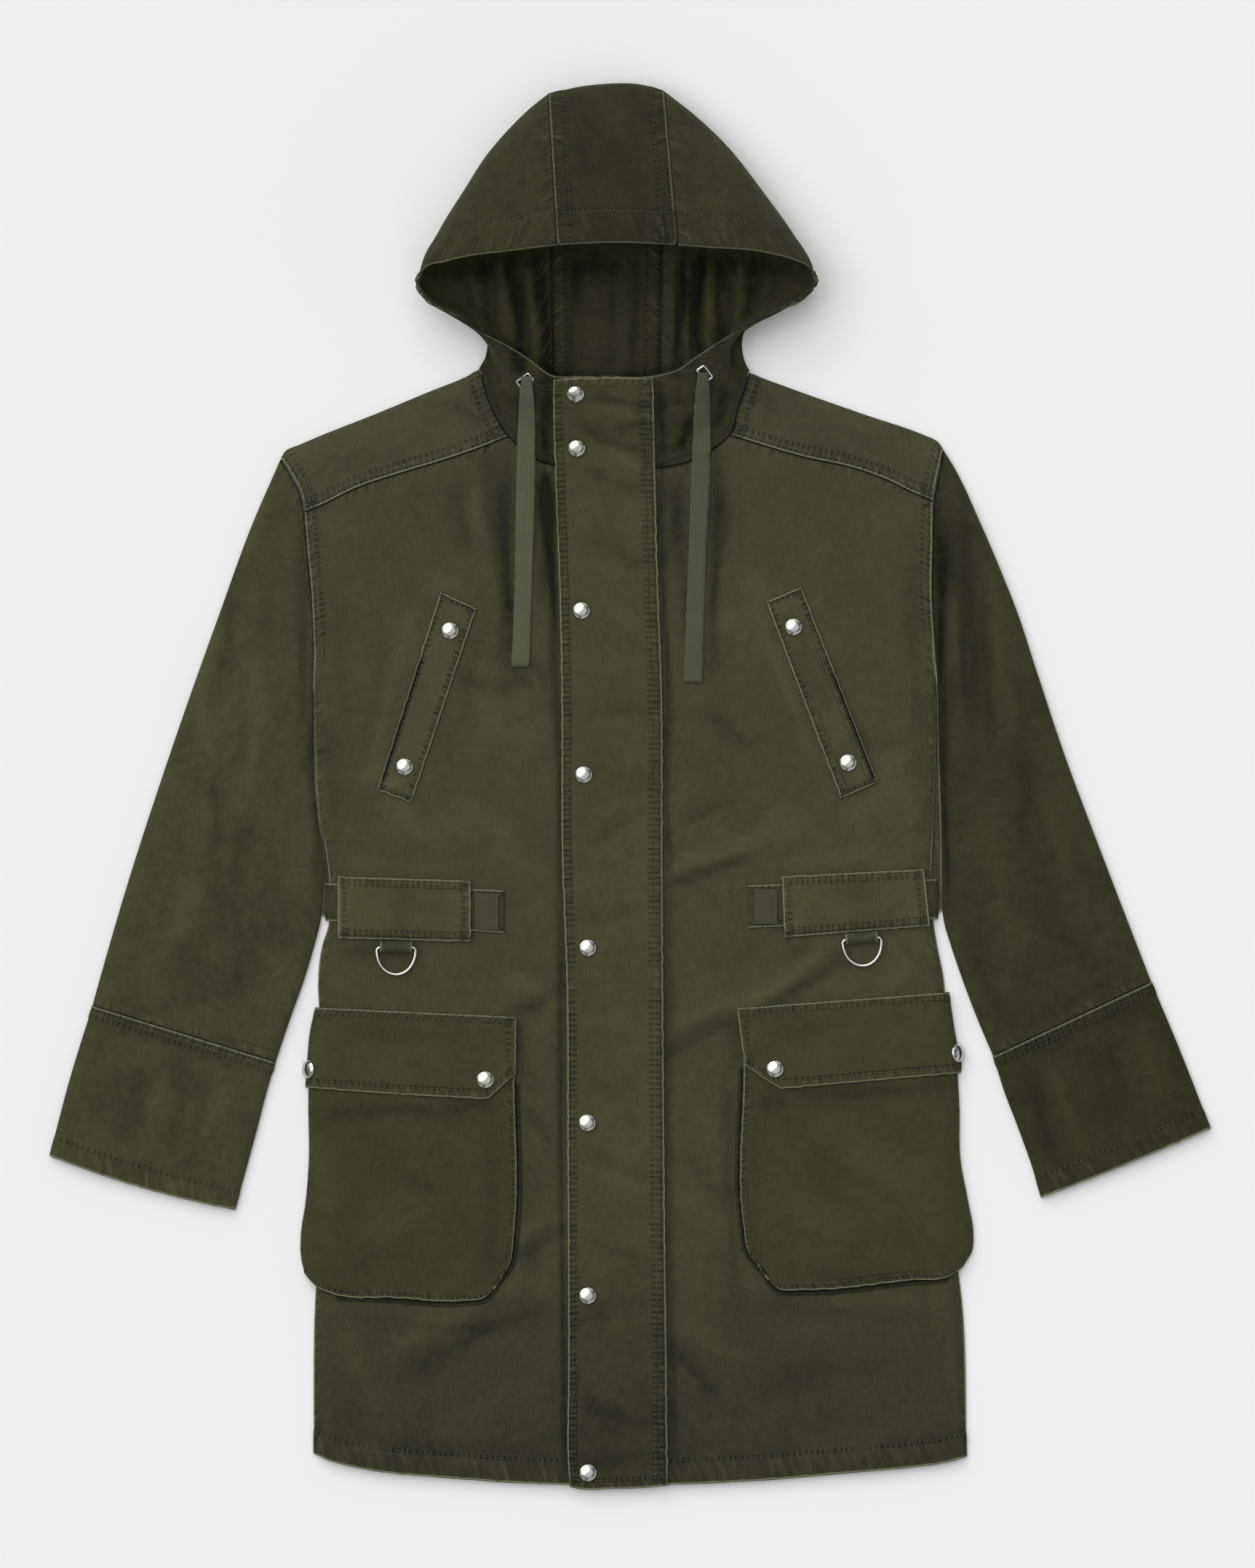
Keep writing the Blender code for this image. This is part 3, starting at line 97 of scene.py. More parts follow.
SEAT_INNER = 0.6  # a seat's slope is measured over this share of its reach
ABOVE_ALL = 100.0  # a height above every piece

# Rough width and length of the pieces, over which their columns and rows are spread
BACK_SPAN = (530, 850)
FRONT_SPAN = (290, 830)
YOKE_SPAN = (175, 62)
SLEEVE_LENGTH = 420
CUFF_LENGTH = 128
PLACKET_SPAN = (82, 915)
WELT_SPAN = (33, 175)
STRAP_SPAN = (150, 34)
TAB_SPAN = (19, 30)
POCKET_SPAN = (172, 225)
FLAP_SPAN = (172, 66)

# Sides of a grid of cloth
SIDES = {"l": "left", "r": "right", "t": "top", "b": "bottom"}
OTHER = {"left": "right", "right": "left"}
ALL_ALONG = (-9.0, 9999.0)  # limits that take in the whole of a side
FAR = 1000.0  # further than any point of a piece is from its sides

# Layers of cloth
CLOTH = 1.8  # wall of a main panel
TRIM = 1.5  # wall of a piece that is sewn on a front
WEBBING = 1.2  # wall of a strap's tab, a ring loop or a drawstring
SEAM = 0.4  # gap between two pieces sewn edge to edge
CUT_LINES = 8  # at most so many lines beside a cut edge move with it
CUT_FADE = 5.0  # a line that is this many times the cut away doesn't move
LAY = 0.45  # gap between a piece and the cloth that it lies on
TOP = 7.0  # the upper layer's outer face, above the surface
EDGE = 1.3  # lowest point of a rolled edge
ROLL = 12.0  # width of the rolled edge at the sides and shoulders
BACK_INSET = 3.4  # how far the back layer stays inside the rolled sides
UNDERARM_Y = 115.0  # the sides roll below this line, and the sleeves are set in above it
UNDERARM_FADE = 35.0
ARMHOLE_RUN = (0.0, 112.0)  # the armhole's part of a front's side, from the yoke down
EDGE_OVER = 3.2  # lowest point of the front's rolled edge where it lies on the back
EDGE_DROP = (-80.0, -72.0)  # y over which the edge goes down from there to the surface

# Broad soft ridges of the upper layer: x and y of a line's start and end, its half-width and its rise
FOLDS = (
    (-318, 120, -352, -30, 26, 2.6), (-300, 60, -372, -120, 20, 1.6),
    (-345, -60, -400, -150, 24, 2.2), (287, 225, 276, 20, 15, 3.0), (318, 110, 362, -60, 24, 2.4),
    (300, -10, 392, -120, 22, 1.8), (-385, -215, -430, -300, 24, 1.6),
    (372, -205, 420, -280, 24, 1.6), (-232, 190, -226, 60, 22, 1.6), (222, 200, 226, 60, 20, 1.6),
    (-88, 60, -82, -60, 24, 1.0), (70, 40, 64, -60, 22, 1.0), (-80, -330, -78, -500, 24, 1.4),
    (62, -330, 60, -500, 24, 1.4), (-190, -460, -196, -545, 34, 1.2),
    (190, -450, 200, -540, 34, 1.2),
)

# Outlines, each a short run of (x, y) points
SIDE_LEFT = (
    (-260.5, 115), (-260.0, 48), (-256.9, -21), (-249.8, -62), (-247.6, -95), (-248.4, -113),
    (-253.9, -131), (-257.3, -161), (-256.4, -185), (-257.0, -300), (-258.0, -390),
    (-260.0, -430), (-260.9, -550),
)
SIDE_RIGHT = (
    (250.7, 115), (252.2, 49), (250.1, -31), (248.4, -76), (248.6, -95), (250.4, -114),
    (253.1, -131), (258.4, -158), (260.0, -190), (265.0, -300), (268.5, -380),
    (274.0, -430), (277.4, -552.7),
)
ARMHOLE_LEFT_UPPER = ((-288.1, 270.5), (-277.9, 254.3), (-271.9, 242), (-268.9, 226.7))
ARMHOLE_LEFT_LOWER = ((-268.9, 226.7), (-266.5, 196), (-263.5, 165), (-261.1, 115))
ARMHOLE_RIGHT_UPPER = ((258.2, 277.7), (253.0, 254), (249.8, 235.7))
ARMHOLE_RIGHT_LOWER = ((249.8, 235.7), (249.3, 196), (248.8, 162), (251.3, 115))
SHOULDER_LEFT = (
    (-288.1, 270.5), (-283, 277.5), (-271.4, 282.7), (-257.2, 288.8), (-211.0, 307.1),
    (-167.6, 325.1), (-130.9, 340.4), (-124.0, 344.2),
)
SHOULDER_RIGHT = (
    (97.3, 341.4), (143.3, 324.6), (193.0, 307.1), (243.0, 289.8), (251.4, 286.0), (258.2, 277.7),
)
YOKE_SEAM_LEFT = (
    (-268.9, 226.7), (-259, 230.5), (-225.8, 246.5), (-184.5, 260.3), (-153.9, 269.5),
    (-123.3, 280.1), (-100.3, 289.4),
)
YOKE_SEAM_RIGHT = (
    (82.1, 290.3), (140.3, 272.9), (188.3, 261.8), (213.5, 252.5), (230.3, 244.1), (249.8, 235.7),
)
BACK_NECK = ((-123.0, 341), (-90, 336), (-64, 333), (-20, 331), (24.6, 333), (70, 336.5), (98, 339))
CENTRE_FRONT = ((-17, 262.1), (-14.7, -59), (-10, -577))
HEM_LEFT = (
    (-260.9, -550), (-249, -556.0), (-234, -560.2), (-207, -565.3), (-153, -570.2),
    (-99, -574.3), (-10, -577),
)
HEM_RIGHT = (
    (-10, -577), (63, -574.9), (117, -571.9), (171, -567.1), (225, -562.4), (252, -559.2),
    (268.7, -555.6), (277.4, -552.7),
)

# Sleeves: the tube's left and right edge, from the armhole to the cuff's seam
SLEEVE_LEFT_EDGES = (
    ((-288.1, 270.5), (-311.5, 216.8), (-337.9, 144.8), (-363.7, 72.8), (-388.3, 0.8),
     (-411.7, -71.2), (-435.7, -152.8), (-443.4, -180.5)),
    ((-261.7, 115), (-261.5, 82), (-261.2, 48), (-258.3, -21), (-252.2, -66), (-253.4, -92),
     (-255.2, -110), (-260.5, -131), (-269.5, -161), (-280.3, -191), (-292.4, -227)),
)
SLEEVE_RIGHT_EDGES = (
    ((252.0, 115), (253.6, 82), (254.0, 49), (256.6, -31), (256.9, -77), (256.9, -97),
     (258.9, -112), (264.5, -131), (274.7, -161), (286.1, -191), (299.3, -222.1)),
    ((258.2, 277.7), (266.3, 264.8), (289.1, 216.8), (309.5, 168.8), (318.9, 144.8),
     (334.7, 96.8), (358.7, 24.8), (385.7, -47.2), (409.7, -109.6), (429.6, -160.9)),
)
# Cuffs: left and right edge, from the seam to the hem, and how far the hem bows out
CUFF_LEFT_EDGES = (
    ((-443.4, -180.5), (-462.5, -242.5), (-473.9, -285.7), (-478.7, -304.9)),
    ((-292.4, -227), (-299.5, -250.9), (-307.3, -280.9), (-315.4, -310.9), (-326.0, -349.3)),
)
CUFF_RIGHT_EDGES = (
    ((299.3, -222.1), (308.3, -250.9), (319.7, -280.9), (330.5, -310.9), (339.2, -339.3)),
    ((429.6, -160.9), (450.5, -210.4), (478.7, -282.1)),
)
CUFF_BOWS = (4.2, 1.3)  # left and right
ARMHOLE_FADE = 4  # the armhole's shape fades out over one part in so many of the sleeve
SIDE_LOW = 4.0  # width of a sleeve's lower round edge
SIDE_MIDDLE = 3.0  # height of a sleeve's outermost line

# Hood: sections from the rim over the outermost line to the neck seam, a row for each. The columns
# are x, y and z of the rim, of the outermost line and of the neck seam, how round the section is,
# and how far its under side is pulled in
HOOD_CENTRE = (
    (-60.0, 444.8, 60, -67.5, 571.0, 22, -64.0, 333.0, 0, 1, 0),
    (-36.0, 446.2, 61, -38.0, 577.4, 22, -38.0, 331.5, 0, 1, 0),
    (-11.0, 446.9, 62, -6.1, 579.7, 22, -20.0, 331.0, 0, 1, 0),
    (14.0, 446.2, 61, 12.0, 578.0, 22, 4.0, 331.5, 0, 1, 0),
    (39.2, 444.8, 60, 28.0, 573.0, 22, 24.6, 333.0, 0, 1, 0),
)
HOOD_LEFT = (
    (-60.0, 444.8, 60, -67.5, 571.0, 22, -64.0, 333.0, 0, 1, 0),
    (-80.0, 442.5, 59, -84.6, 557.2, 22, -72.0, 334.0, 0, 1, 0),
    (-104.0, 439.5, 57, -117.4, 521.6, 22, -86.0, 336.0, 0, 1, 0),
    (-130.0, 436.5, 54, -136.6, 492.0, 23, -98.0, 338.0, 0, 1, 2),
    (-152.0, 431.5, 50, -157.0, 459.0, 25, -110.0, 341.0, 0, 1, 12),
    (-169.0, 426.3, 47, -171.0, 430.0, 27, -123.0, 342.0, 0, 1, 25),
    (-175.5, 416.0, 45, -173.6, 411.0, 27, -124.4, 343.4, 3.2, 1, 31),
    (-170.8, 403.1, 43, -163.0, 400.0, 25, -124.7, 344.2, 5.6, 1, 27),
    (-148.3, 388.7, 40, -139.0, 386.0, 23, -124.0, 344.2, 7, 0.8, 16),
    (-122.1, 374.5, 37, -115.5, 363.0, 22, -120.5, 332.0, 7, 0.4, 4),
    (-100.9, 363.8, 34, -103.5, 339.0, 19, -115.3, 315.2, 7, 0.1, 0),
    (-81.7, 351.6, 31, -88.0, 319.0, 17, -100.3, 289.4, 7, 0, 0),
    (-63.1, 338.9, 29, -68.0, 303.0, 16, -74.0, 268.8, 7, 0, 0),
    (-42.0, 338.5, 28, -44.0, 300.0, 16, -47.0, 263.2, 7, 0, 0),
    (-17.0, 338.9, 28, -17.0, 300.0, 16, -17.0, 262.1, 7, 0, 0),
)
HOOD_RIGHT = (
    (39.2, 444.8, 60, 28.0, 573.0, 22, 24.6, 333.0, 0, 1, 0),
    (68.0, 442.6, 59, 54.2, 552.5, 22, 44.0, 334.0, 0, 1, 0),
    (93.0, 441.3, 57, 79.4, 528.5, 22, 60.0, 335.0, 0, 1, 0),
    (115.0, 438.0, 54, 112.7, 485.9, 23, 76.0, 337.0, 0, 1, 2),
    (135.0, 432.8, 50, 136.5, 452.0, 25, 88.0, 339.5, 0, 1, 13),
    (148.0, 426.0, 47, 150.0, 426.5, 27, 97.0, 343.0, 0, 1, 27),
    (152.9, 416.9, 45, 150.6, 411.0, 27, 98.2, 343.6, 3.6, 1, 35),
    (145.7, 405.5, 43, 137.0, 401.0, 25, 98.3, 342.9, 6, 1, 32),
    (124.7, 392.3, 40, 114.0, 389.0, 23, 97.3, 341.4, 7, 0.8, 23),
    (95.9, 379.1, 37, 85.0, 367.0, 22, 95.0, 329.5, 7, 0.4, 8),
    (77.3, 369.5, 34, 76.0, 343.0, 19, 89.0, 312.8, 7, 0.1, 0),
    (55.7, 355.6, 31, 64.0, 320.0, 17, 82.1, 290.3, 7, 0, 0),
    (36.8, 343.2, 29, 42.0, 304.0, 16, 50.0, 269.0, 7, 0, 0),
    (10.7, 337.9, 28, 12.0, 300.0, 16, 18.0, 262.9, 7, 0, 0),
    (-17.0, 338.9, 28, -17.0, 300.0, 16, -17.0, 262.1, 7, 0, 0),
)
COLLAR_REACH = 1.6  # a point this near to the collar lies on it
COLLAR_SLACK = 0.5  # what lies on the collar bridges its small hollows
HOOD_MIDDLE = (-12.0, 400.0)  # the under side is pulled in towards this point
HOOD_SHOULDER = 8  # the section at the neck's corner, where the yoke begins
HOOD_YOKE = 11  # the section where the yoke's seam meets the neck
HOOD_SEAM = 0.1  # each hood piece ends this far before its seam
HOOD_TUCK = 22.0  # how far the hood's wall leans in before it lies on the surface
HOOD_CASING = 27.0  # the stitches over the brow lie this far from the rim
HOOD_STRIP = 12.0  # width of the doubled strip beside the centre panel's seams
HOOD_PAINTED_SHADOWS = (190.0, 9999.0)  # the seams of the strip get painted shadow lines between these places
# Folds of the hood's back layer, which lies on the surface: lines like the FOLDS
HOOD_FOLD_TOP = 14.0  # only cloth below this height takes part
HOOD_FOLD_BEND = 2.0  # how far a fold bends aside
HOOD_FOLD_END = 12.0  # a fold fades out this far before and beyond its ends
HOOD_FOLD_FADE = 6.0  # and fades out over this height
HOOD_FOLDS = (
    (-98, 436, -84, 350, 6.5, 7.5),
    (-118, 432, -112, 372, 6, 5.0),
    (-76, 438, -70, 340, 5.5, 4.5),
    (42, 436, 40, 338, 5, 6.0),
    (56, 436, 50, 344, 5.5, 7.5),
    (80, 434, 70, 356, 7, 6.5),
    (104, 432, 92, 368, 6, 5.0),
    (-46, 436, -48, 336, 7, 2.0),
    (2, 436, -2, 336, 9, 2.0),
)

# Placket over the closed front
PLACKET_LEFT = (
    (-63.8, 335.5), (-64.0, 322.7), (-62.1, 246.5), (-59.2, 169.7), (-57.3, 74.3),
    (-56.8, -58.9), (-53.1, -160.9), (-52.4, -286.9), (-51.7, -490.9), (-52.2, -549.7),
    (-50.5, -577.0),
)
PLACKET_RIGHT = (
    (19.7, 337.2), (21.1, 265.7), (23.0, 188.9), (26.9, 74.3), (27.3, -58.9), (28.7, -286.9),
    (31.7, -576.0),
)
PLACKET_TOP = ((-63.8, 335.5), (-44, 337.2), (-20, 337.6), (19.7, 337.2))
PLACKET_HEM = ((-50.5, -577.0), (-44, -578.7), (-15, -579.0), (12, -578.1), (31.7, -576.0))
PLACKET_SLACK = 0.3  # it bridges the small hollows below it

# Four-cornered pieces: top left, top right, bottom left, bottom right
WELT_LEFT = ((-156.7, 161.3), (-126.1, 147.5), (-209.5, -2.8), (-180.1, -13.9))
WELT_RIGHT = ((111.5, 152.9), (141.5, 165.5), (173.3, -10.3), (205.1, 3.5))
TUNNEL_LEFT = ((-241.0, -73.3), (-130.9, -76.9), (-241.0, -125.5), (-130.9, -128.5))
TUNNEL_RIGHT = ((124.4, -73.3), (242.3, -67.3), (126.5, -124.9), (247.1, -115.3))
STRAP_LEFT = ((-251.6, -79.5), (-103.9, -85.3), (-251.6, -110.5), (-103.9, -120.7))
STRAP_RIGHT = ((97.7, -81.1), (254.2, -76.0), (97.7, -116.5), (254.2, -109.0))
TAB_LEFT = ((-128.0, -87.5), (-108.5, -88.3), (-128.0, -117.5), (-108.5, -118.5))
TAB_RIGHT = ((102.3, -84.2), (121.5, -84.4), (102.3, -113.4), (121.5, -113.4))
TUNNEL_SLACK = 0.1  # the tunnel's extra room over the strap
TUNNEL_RAMP = 7.0  # how far in from its sewn edges the tunnel reaches its full height

# Bellows pockets and flaps
POCKET_LEFT_OUTER = (
    (-259.6, -192), (-261.6, -205), (-263.8, -225), (-265.4, -251), (-265.3, -311),
    (-267.7, -341), (-271.9, -371), (-271.6, -388), (-268.4, -402),
)
POCKET_LEFT_INNER = (
    (-95.5, -196), (-94.9, -244), (-95.5, -369), (-99.1, -393.7), (-109.3, -407.5),
)
POCKET_LEFT_TOP = ((-259.6, -192), (-180, -195), (-95.5, -196))
POCKET_LEFT_HEM = (
    (-268.4, -402), (-259.3, -412.3), (-241.9, -419.5), (-195.1, -421.9), (-138.7, -424.3),
    (-119.5, -421.3), (-109.3, -407.5),
)
POCKET_RIGHT_INNER = (
    (92.4, -189), (92.9, -231.7), (92.9, -360.7), (97.1, -383.5), (109.4, -398.8),
)
POCKET_RIGHT_OUTER = (
    (263.6, -184), (266.3, -208), (269.8, -228), (270.6, -243), (271.6, -262), (272.6, -308),
    (278.5, -340), (283.2, -368), (282.4, -382), (273.5, -397),
)
POCKET_RIGHT_TOP = ((92.4, -189), (180, -188), (263.6, -184))
POCKET_RIGHT_HEM = (
    (109.4, -398.8), (121.7, -414.1), (144.5, -415.3), (232.7, -407.3), (262, -404.5),
    (273.5, -397),
)
FLAP_LEFT_OUTER = ((-259.6, -181.9), (-264.3, -202.3), (-266.5, -225.1), (-267.9, -248.5))
FLAP_LEFT_INNER = ((-93.1, -189.7), (-94.0, -237.1))
FLAP_LEFT_TOP = ((-259.6, -181.9), (-93.1, -189.7))
FLAP_LEFT_HEM = ((-267.9, -248.5), (-204.1, -253.3), (-117.7, -258.1))
FLAP_LEFT_CUT = ((-117.7, -258.1), (-94.0, -237.1))
FLAP_RIGHT_INNER = ((87.5, -182.5), (91.1, -210.7), (94.7, -230.5))
FLAP_RIGHT_OUTER = ((263.0, -169.3), (269.2, -208.9), (273.4, -230.0), (272.4, -236.5))
FLAP_RIGHT_TOP = ((87.5, -182.5), (263.0, -169.3))
FLAP_RIGHT_HEM = ((123.5, -249.7), (197.3, -243.1), (272.4, -236.5))
FLAP_RIGHT_CUT = ((94.7, -230.5), (123.5, -249.7))
POCKET_EDGES = {
    "left": (POCKET_LEFT_TOP, POCKET_LEFT_HEM, POCKET_LEFT_OUTER, POCKET_LEFT_INNER),
    "right": (POCKET_RIGHT_TOP, POCKET_RIGHT_HEM, POCKET_RIGHT_INNER, POCKET_RIGHT_OUTER),
}
POCKET_LIFT = 2 * LAY + 2 * TRIM  # the pocket's outer face over the front, at its edges
POCKET_PUFF = 1.4  # more in the middle
FLAP_SEAM = 6.0  # the flap is at its full height this far below its seam
GUSSET_OUT = 3.6  # the gusset shows this far outside the pocket's edge
GUSSET_IN = 6.0

PLACKET_SNAPS = (
    (-45.1, 323.3), (-44.2, 279.2), (-40.3, 145.4), (-38.5, 10.1), (-35.1, -132.7),
    (-35.6, -277.0), (-35.2, -419.5), (-34.9, -565.5),
)
CHEST_SNAPS_LEFT = ((-148.7, 128.9), (-186.2, 16.6))
CHEST_SNAPS_RIGHT = ((134.5, 131.9), (179.5, 20.0))
FLAP_SNAPS = ((-119.5, -241.3), (119.2, -232.5))
SIDE_SNAPS = ((-264.9, -232.9), (269.6, -219.7))

# D-rings that swing on their straight bar in a fabric loop
RING_WIRE = 1.2  # radius of the wire
RING_HALF = 16.0  # from the middle to the wire's centre line at the bar's ends
RING_DEPTH = 22.4  # from the bar to the far side, centre lines
RING_CORNER = 3.0
RING_STEPS = 16  # straight steps round the bow
LOOP_HALF = 13.4
LOOP_BORE = 1.55
LOOP_REACH = 4.6  # from the bar's axis to the loop's sewn end
RING_LIFT = LOOP_BORE + WEBBING + LAY
RING_DROP = math.asin((RING_LIFT - RING_WIRE - LAY) / RING_DEPTH)  # the ring leans on the cloth
RING_MIDDLE = 14.0  # from the bar to the ring's middle
RING_TURNS = (22.5, 45, 67.5)  # degrees of the points round a corner
LOOP_TURNS = (270, 69, -8)  # degrees of the points round the loop: first, last and step
LOOP_END = 0.1  # the loop's upper end lies at this share of its height
RING_LEFT = (-193.0, -132.4, 0.0)  # x, y and turn of the bar's middle, in degrees
RING_RIGHT = (190.8, -125.2, 4.5)

# Drawstrings, as rows of x, y and width, and the angular rings that they come out of
TAPE_LEFT = (
    (-85.4, 337.6, 9.5), (-85.4, 322, 12.5), (-85.6, 284.3, 15.6), (-88.0, 169.7, 15.6),
    (-90.4, 98.9, 15.8),
)
TAPE_RIGHT = (
    (60.2, 340.6, 9.5), (59.8, 325, 12.5), (59.0, 284.3, 15.8), (55.0, 180.0, 15.8),
    (51.8, 86.3, 16.6),
)
OUTLET_LONG = 16.0
OUTLET_SHORT = 10.0
OUTLET_WIRE = 1.0
OUTLET_CORNER = 2.5
OUTLET_LEFT = (-86.2, 335.2, 37.0)  # x, y and turn of the long side, in degrees
OUTLET_RIGHT = (60.8, 340.8, -54.0)
TAPE_HUMP = 3.4  # the tape's rise where it passes over the ring's lower bar
TAPE_HUMP_END = (26.0, 14.0)  # how far below the ring it ends, and how long its fall is
TAPE_WAVE = 0.12
TAPE_WAVE_START = 30.0  # how far below the ring the tape's slow waves begin

# Rows of the back's edge, as shares of the armhole's lower run and the side
BODY_ROWS = (
    0, 0.036, 0.072, 0.108, 0.144, 0.2, 0.26, 0.32, 0.37, 0.4, 0.428, 0.436, 0.45, 0.47, 0.5,
    0.54, 0.6, 0.67, 0.75, 0.83, 0.91, 1,
)
UNDERARM_ROW = 4
WAIST_ROW = 11  # from here down no sleeve lies beside the back
UNDER_SLEEVE = 0.2  # the back reaches this far under the sleeve's rolled edge

# Creases, placed as listed: lines like the FOLDS; a trough has a negative rise
CREASES = (
    (-138, 252, -136, 196, 6, -1.0), (-126, 248, -122, 200, 7, 0.8),
    (-176, 250, -174, 212, 6, -0.8), (-112, 282, -102, 104, 8, -2.2), (-72, 258, -62, 160, 7, -2.6),
    (34, 262, 37, 184, 6, -1.8), (78, 240, 80, 190, 6, -1.0), (92, 232, 94, 196, 6, -0.8),
    (66, 300, 72, 120, 7, -1.2), (-138, 92, -98, 78, 8, -1.0), (-92, 100, -66, 88, 8, -1.4),
    (-120, 60, -84, 34, 9, 0.7), (46, 118, 100, 144, 10, 0.8), (60, 60, 104, 30, 9, -0.7),
    (-150, -14, -96, -50, 12, 0.9), (-210, -30, -150, -44, 12, 0.8), (34, -82, 94, -58, 5, -1.5),
    (36, -70, 100, -46, 6, 1.3), (40, -30, 90, -8, 9, -0.7), (150, -30, 90, -50, 12, 0.8),
    (88, -190, 166, -134, 7, 1.6), (98, -196, 170, -146, 6, -1.3), (206, -168, 234, -150, 7, 1.0),
    (28, -220, 88, -188, 7, -1.3), (34, -206, 84, -176, 7, 0.9), (-94, -186, -54, -168, 7, -1.2),
    (-100, -152, -54, -184, 8, 0.9), (-92, -260, -58, -300, 9, -0.8), (36, -300, 84, -340, 9, -0.7),
    (-94, -390, -54, -364, 7, -1.3), (-98, -376, -56, -352, 7, 0.9),
    (-186, -480, -72, -430, 11, -1.3), (-200, -462, -78, -408, 11, 1.1),
    (-150, -530, -84, -500, 12, 0.9), (34, -462, 70, -500, 8, -1.3), (50, -450, 96, -476, 9, 1.0),
    (110, -500, 210, -468, 14, -0.9), (150, -548, 240, -520, 12, 0.9),
    (-240, -440, -200, -520, 12, 0.8), (-184, -324, -156, -334, 5, -0.8),
    (-214, -372, -172, -356, 8, 0.8), (150, -320, 190, -350, 7, -0.8),
    (176, -300, 224, -332, 8, 0.8), (-338, 6, -342, -58, 6, -1.4), (-316, -30, -322, -84, 7, -1.2),
    (-352, 120, -352, 20, 9, 1.1), (-320, 200, -338, 80, 9, -1.4), (-300, 110, -316, -10, 9, 1.2),
    (-350, -80, -392, -150, 10, 1.2), (-296, -110, -330, -176, 9, -1.0),
    (277, 226, 285, 70, 5, -2.4), (270, 190, 272, 40, 5, 1.5), (300, 180, 312, 60, 9, 1.4),
    (318, 30, 332, -60, 8, -1.3), (344, -16, 372, -90, 9, 1.2), (286, -20, 318, -130, 9, 1.1),
    (340, -100, 392, -168, 9, -1.0), (-400, -236, -412, -282, 7, -1.2),
    (-368, -232, -376, -296, 7, -1.1), (-384, -240, -398, -300, 7, 1.0),
    (-336, -240, -352, -300, 8, 1.0), (330, -236, 346, -300, 7, -1.2),
    (352, -226, 366, -292, 8, 1.0), (392, -212, 410, -270, 7, -1.0), (420, -196, 440, -250, 8, 0.9),
)
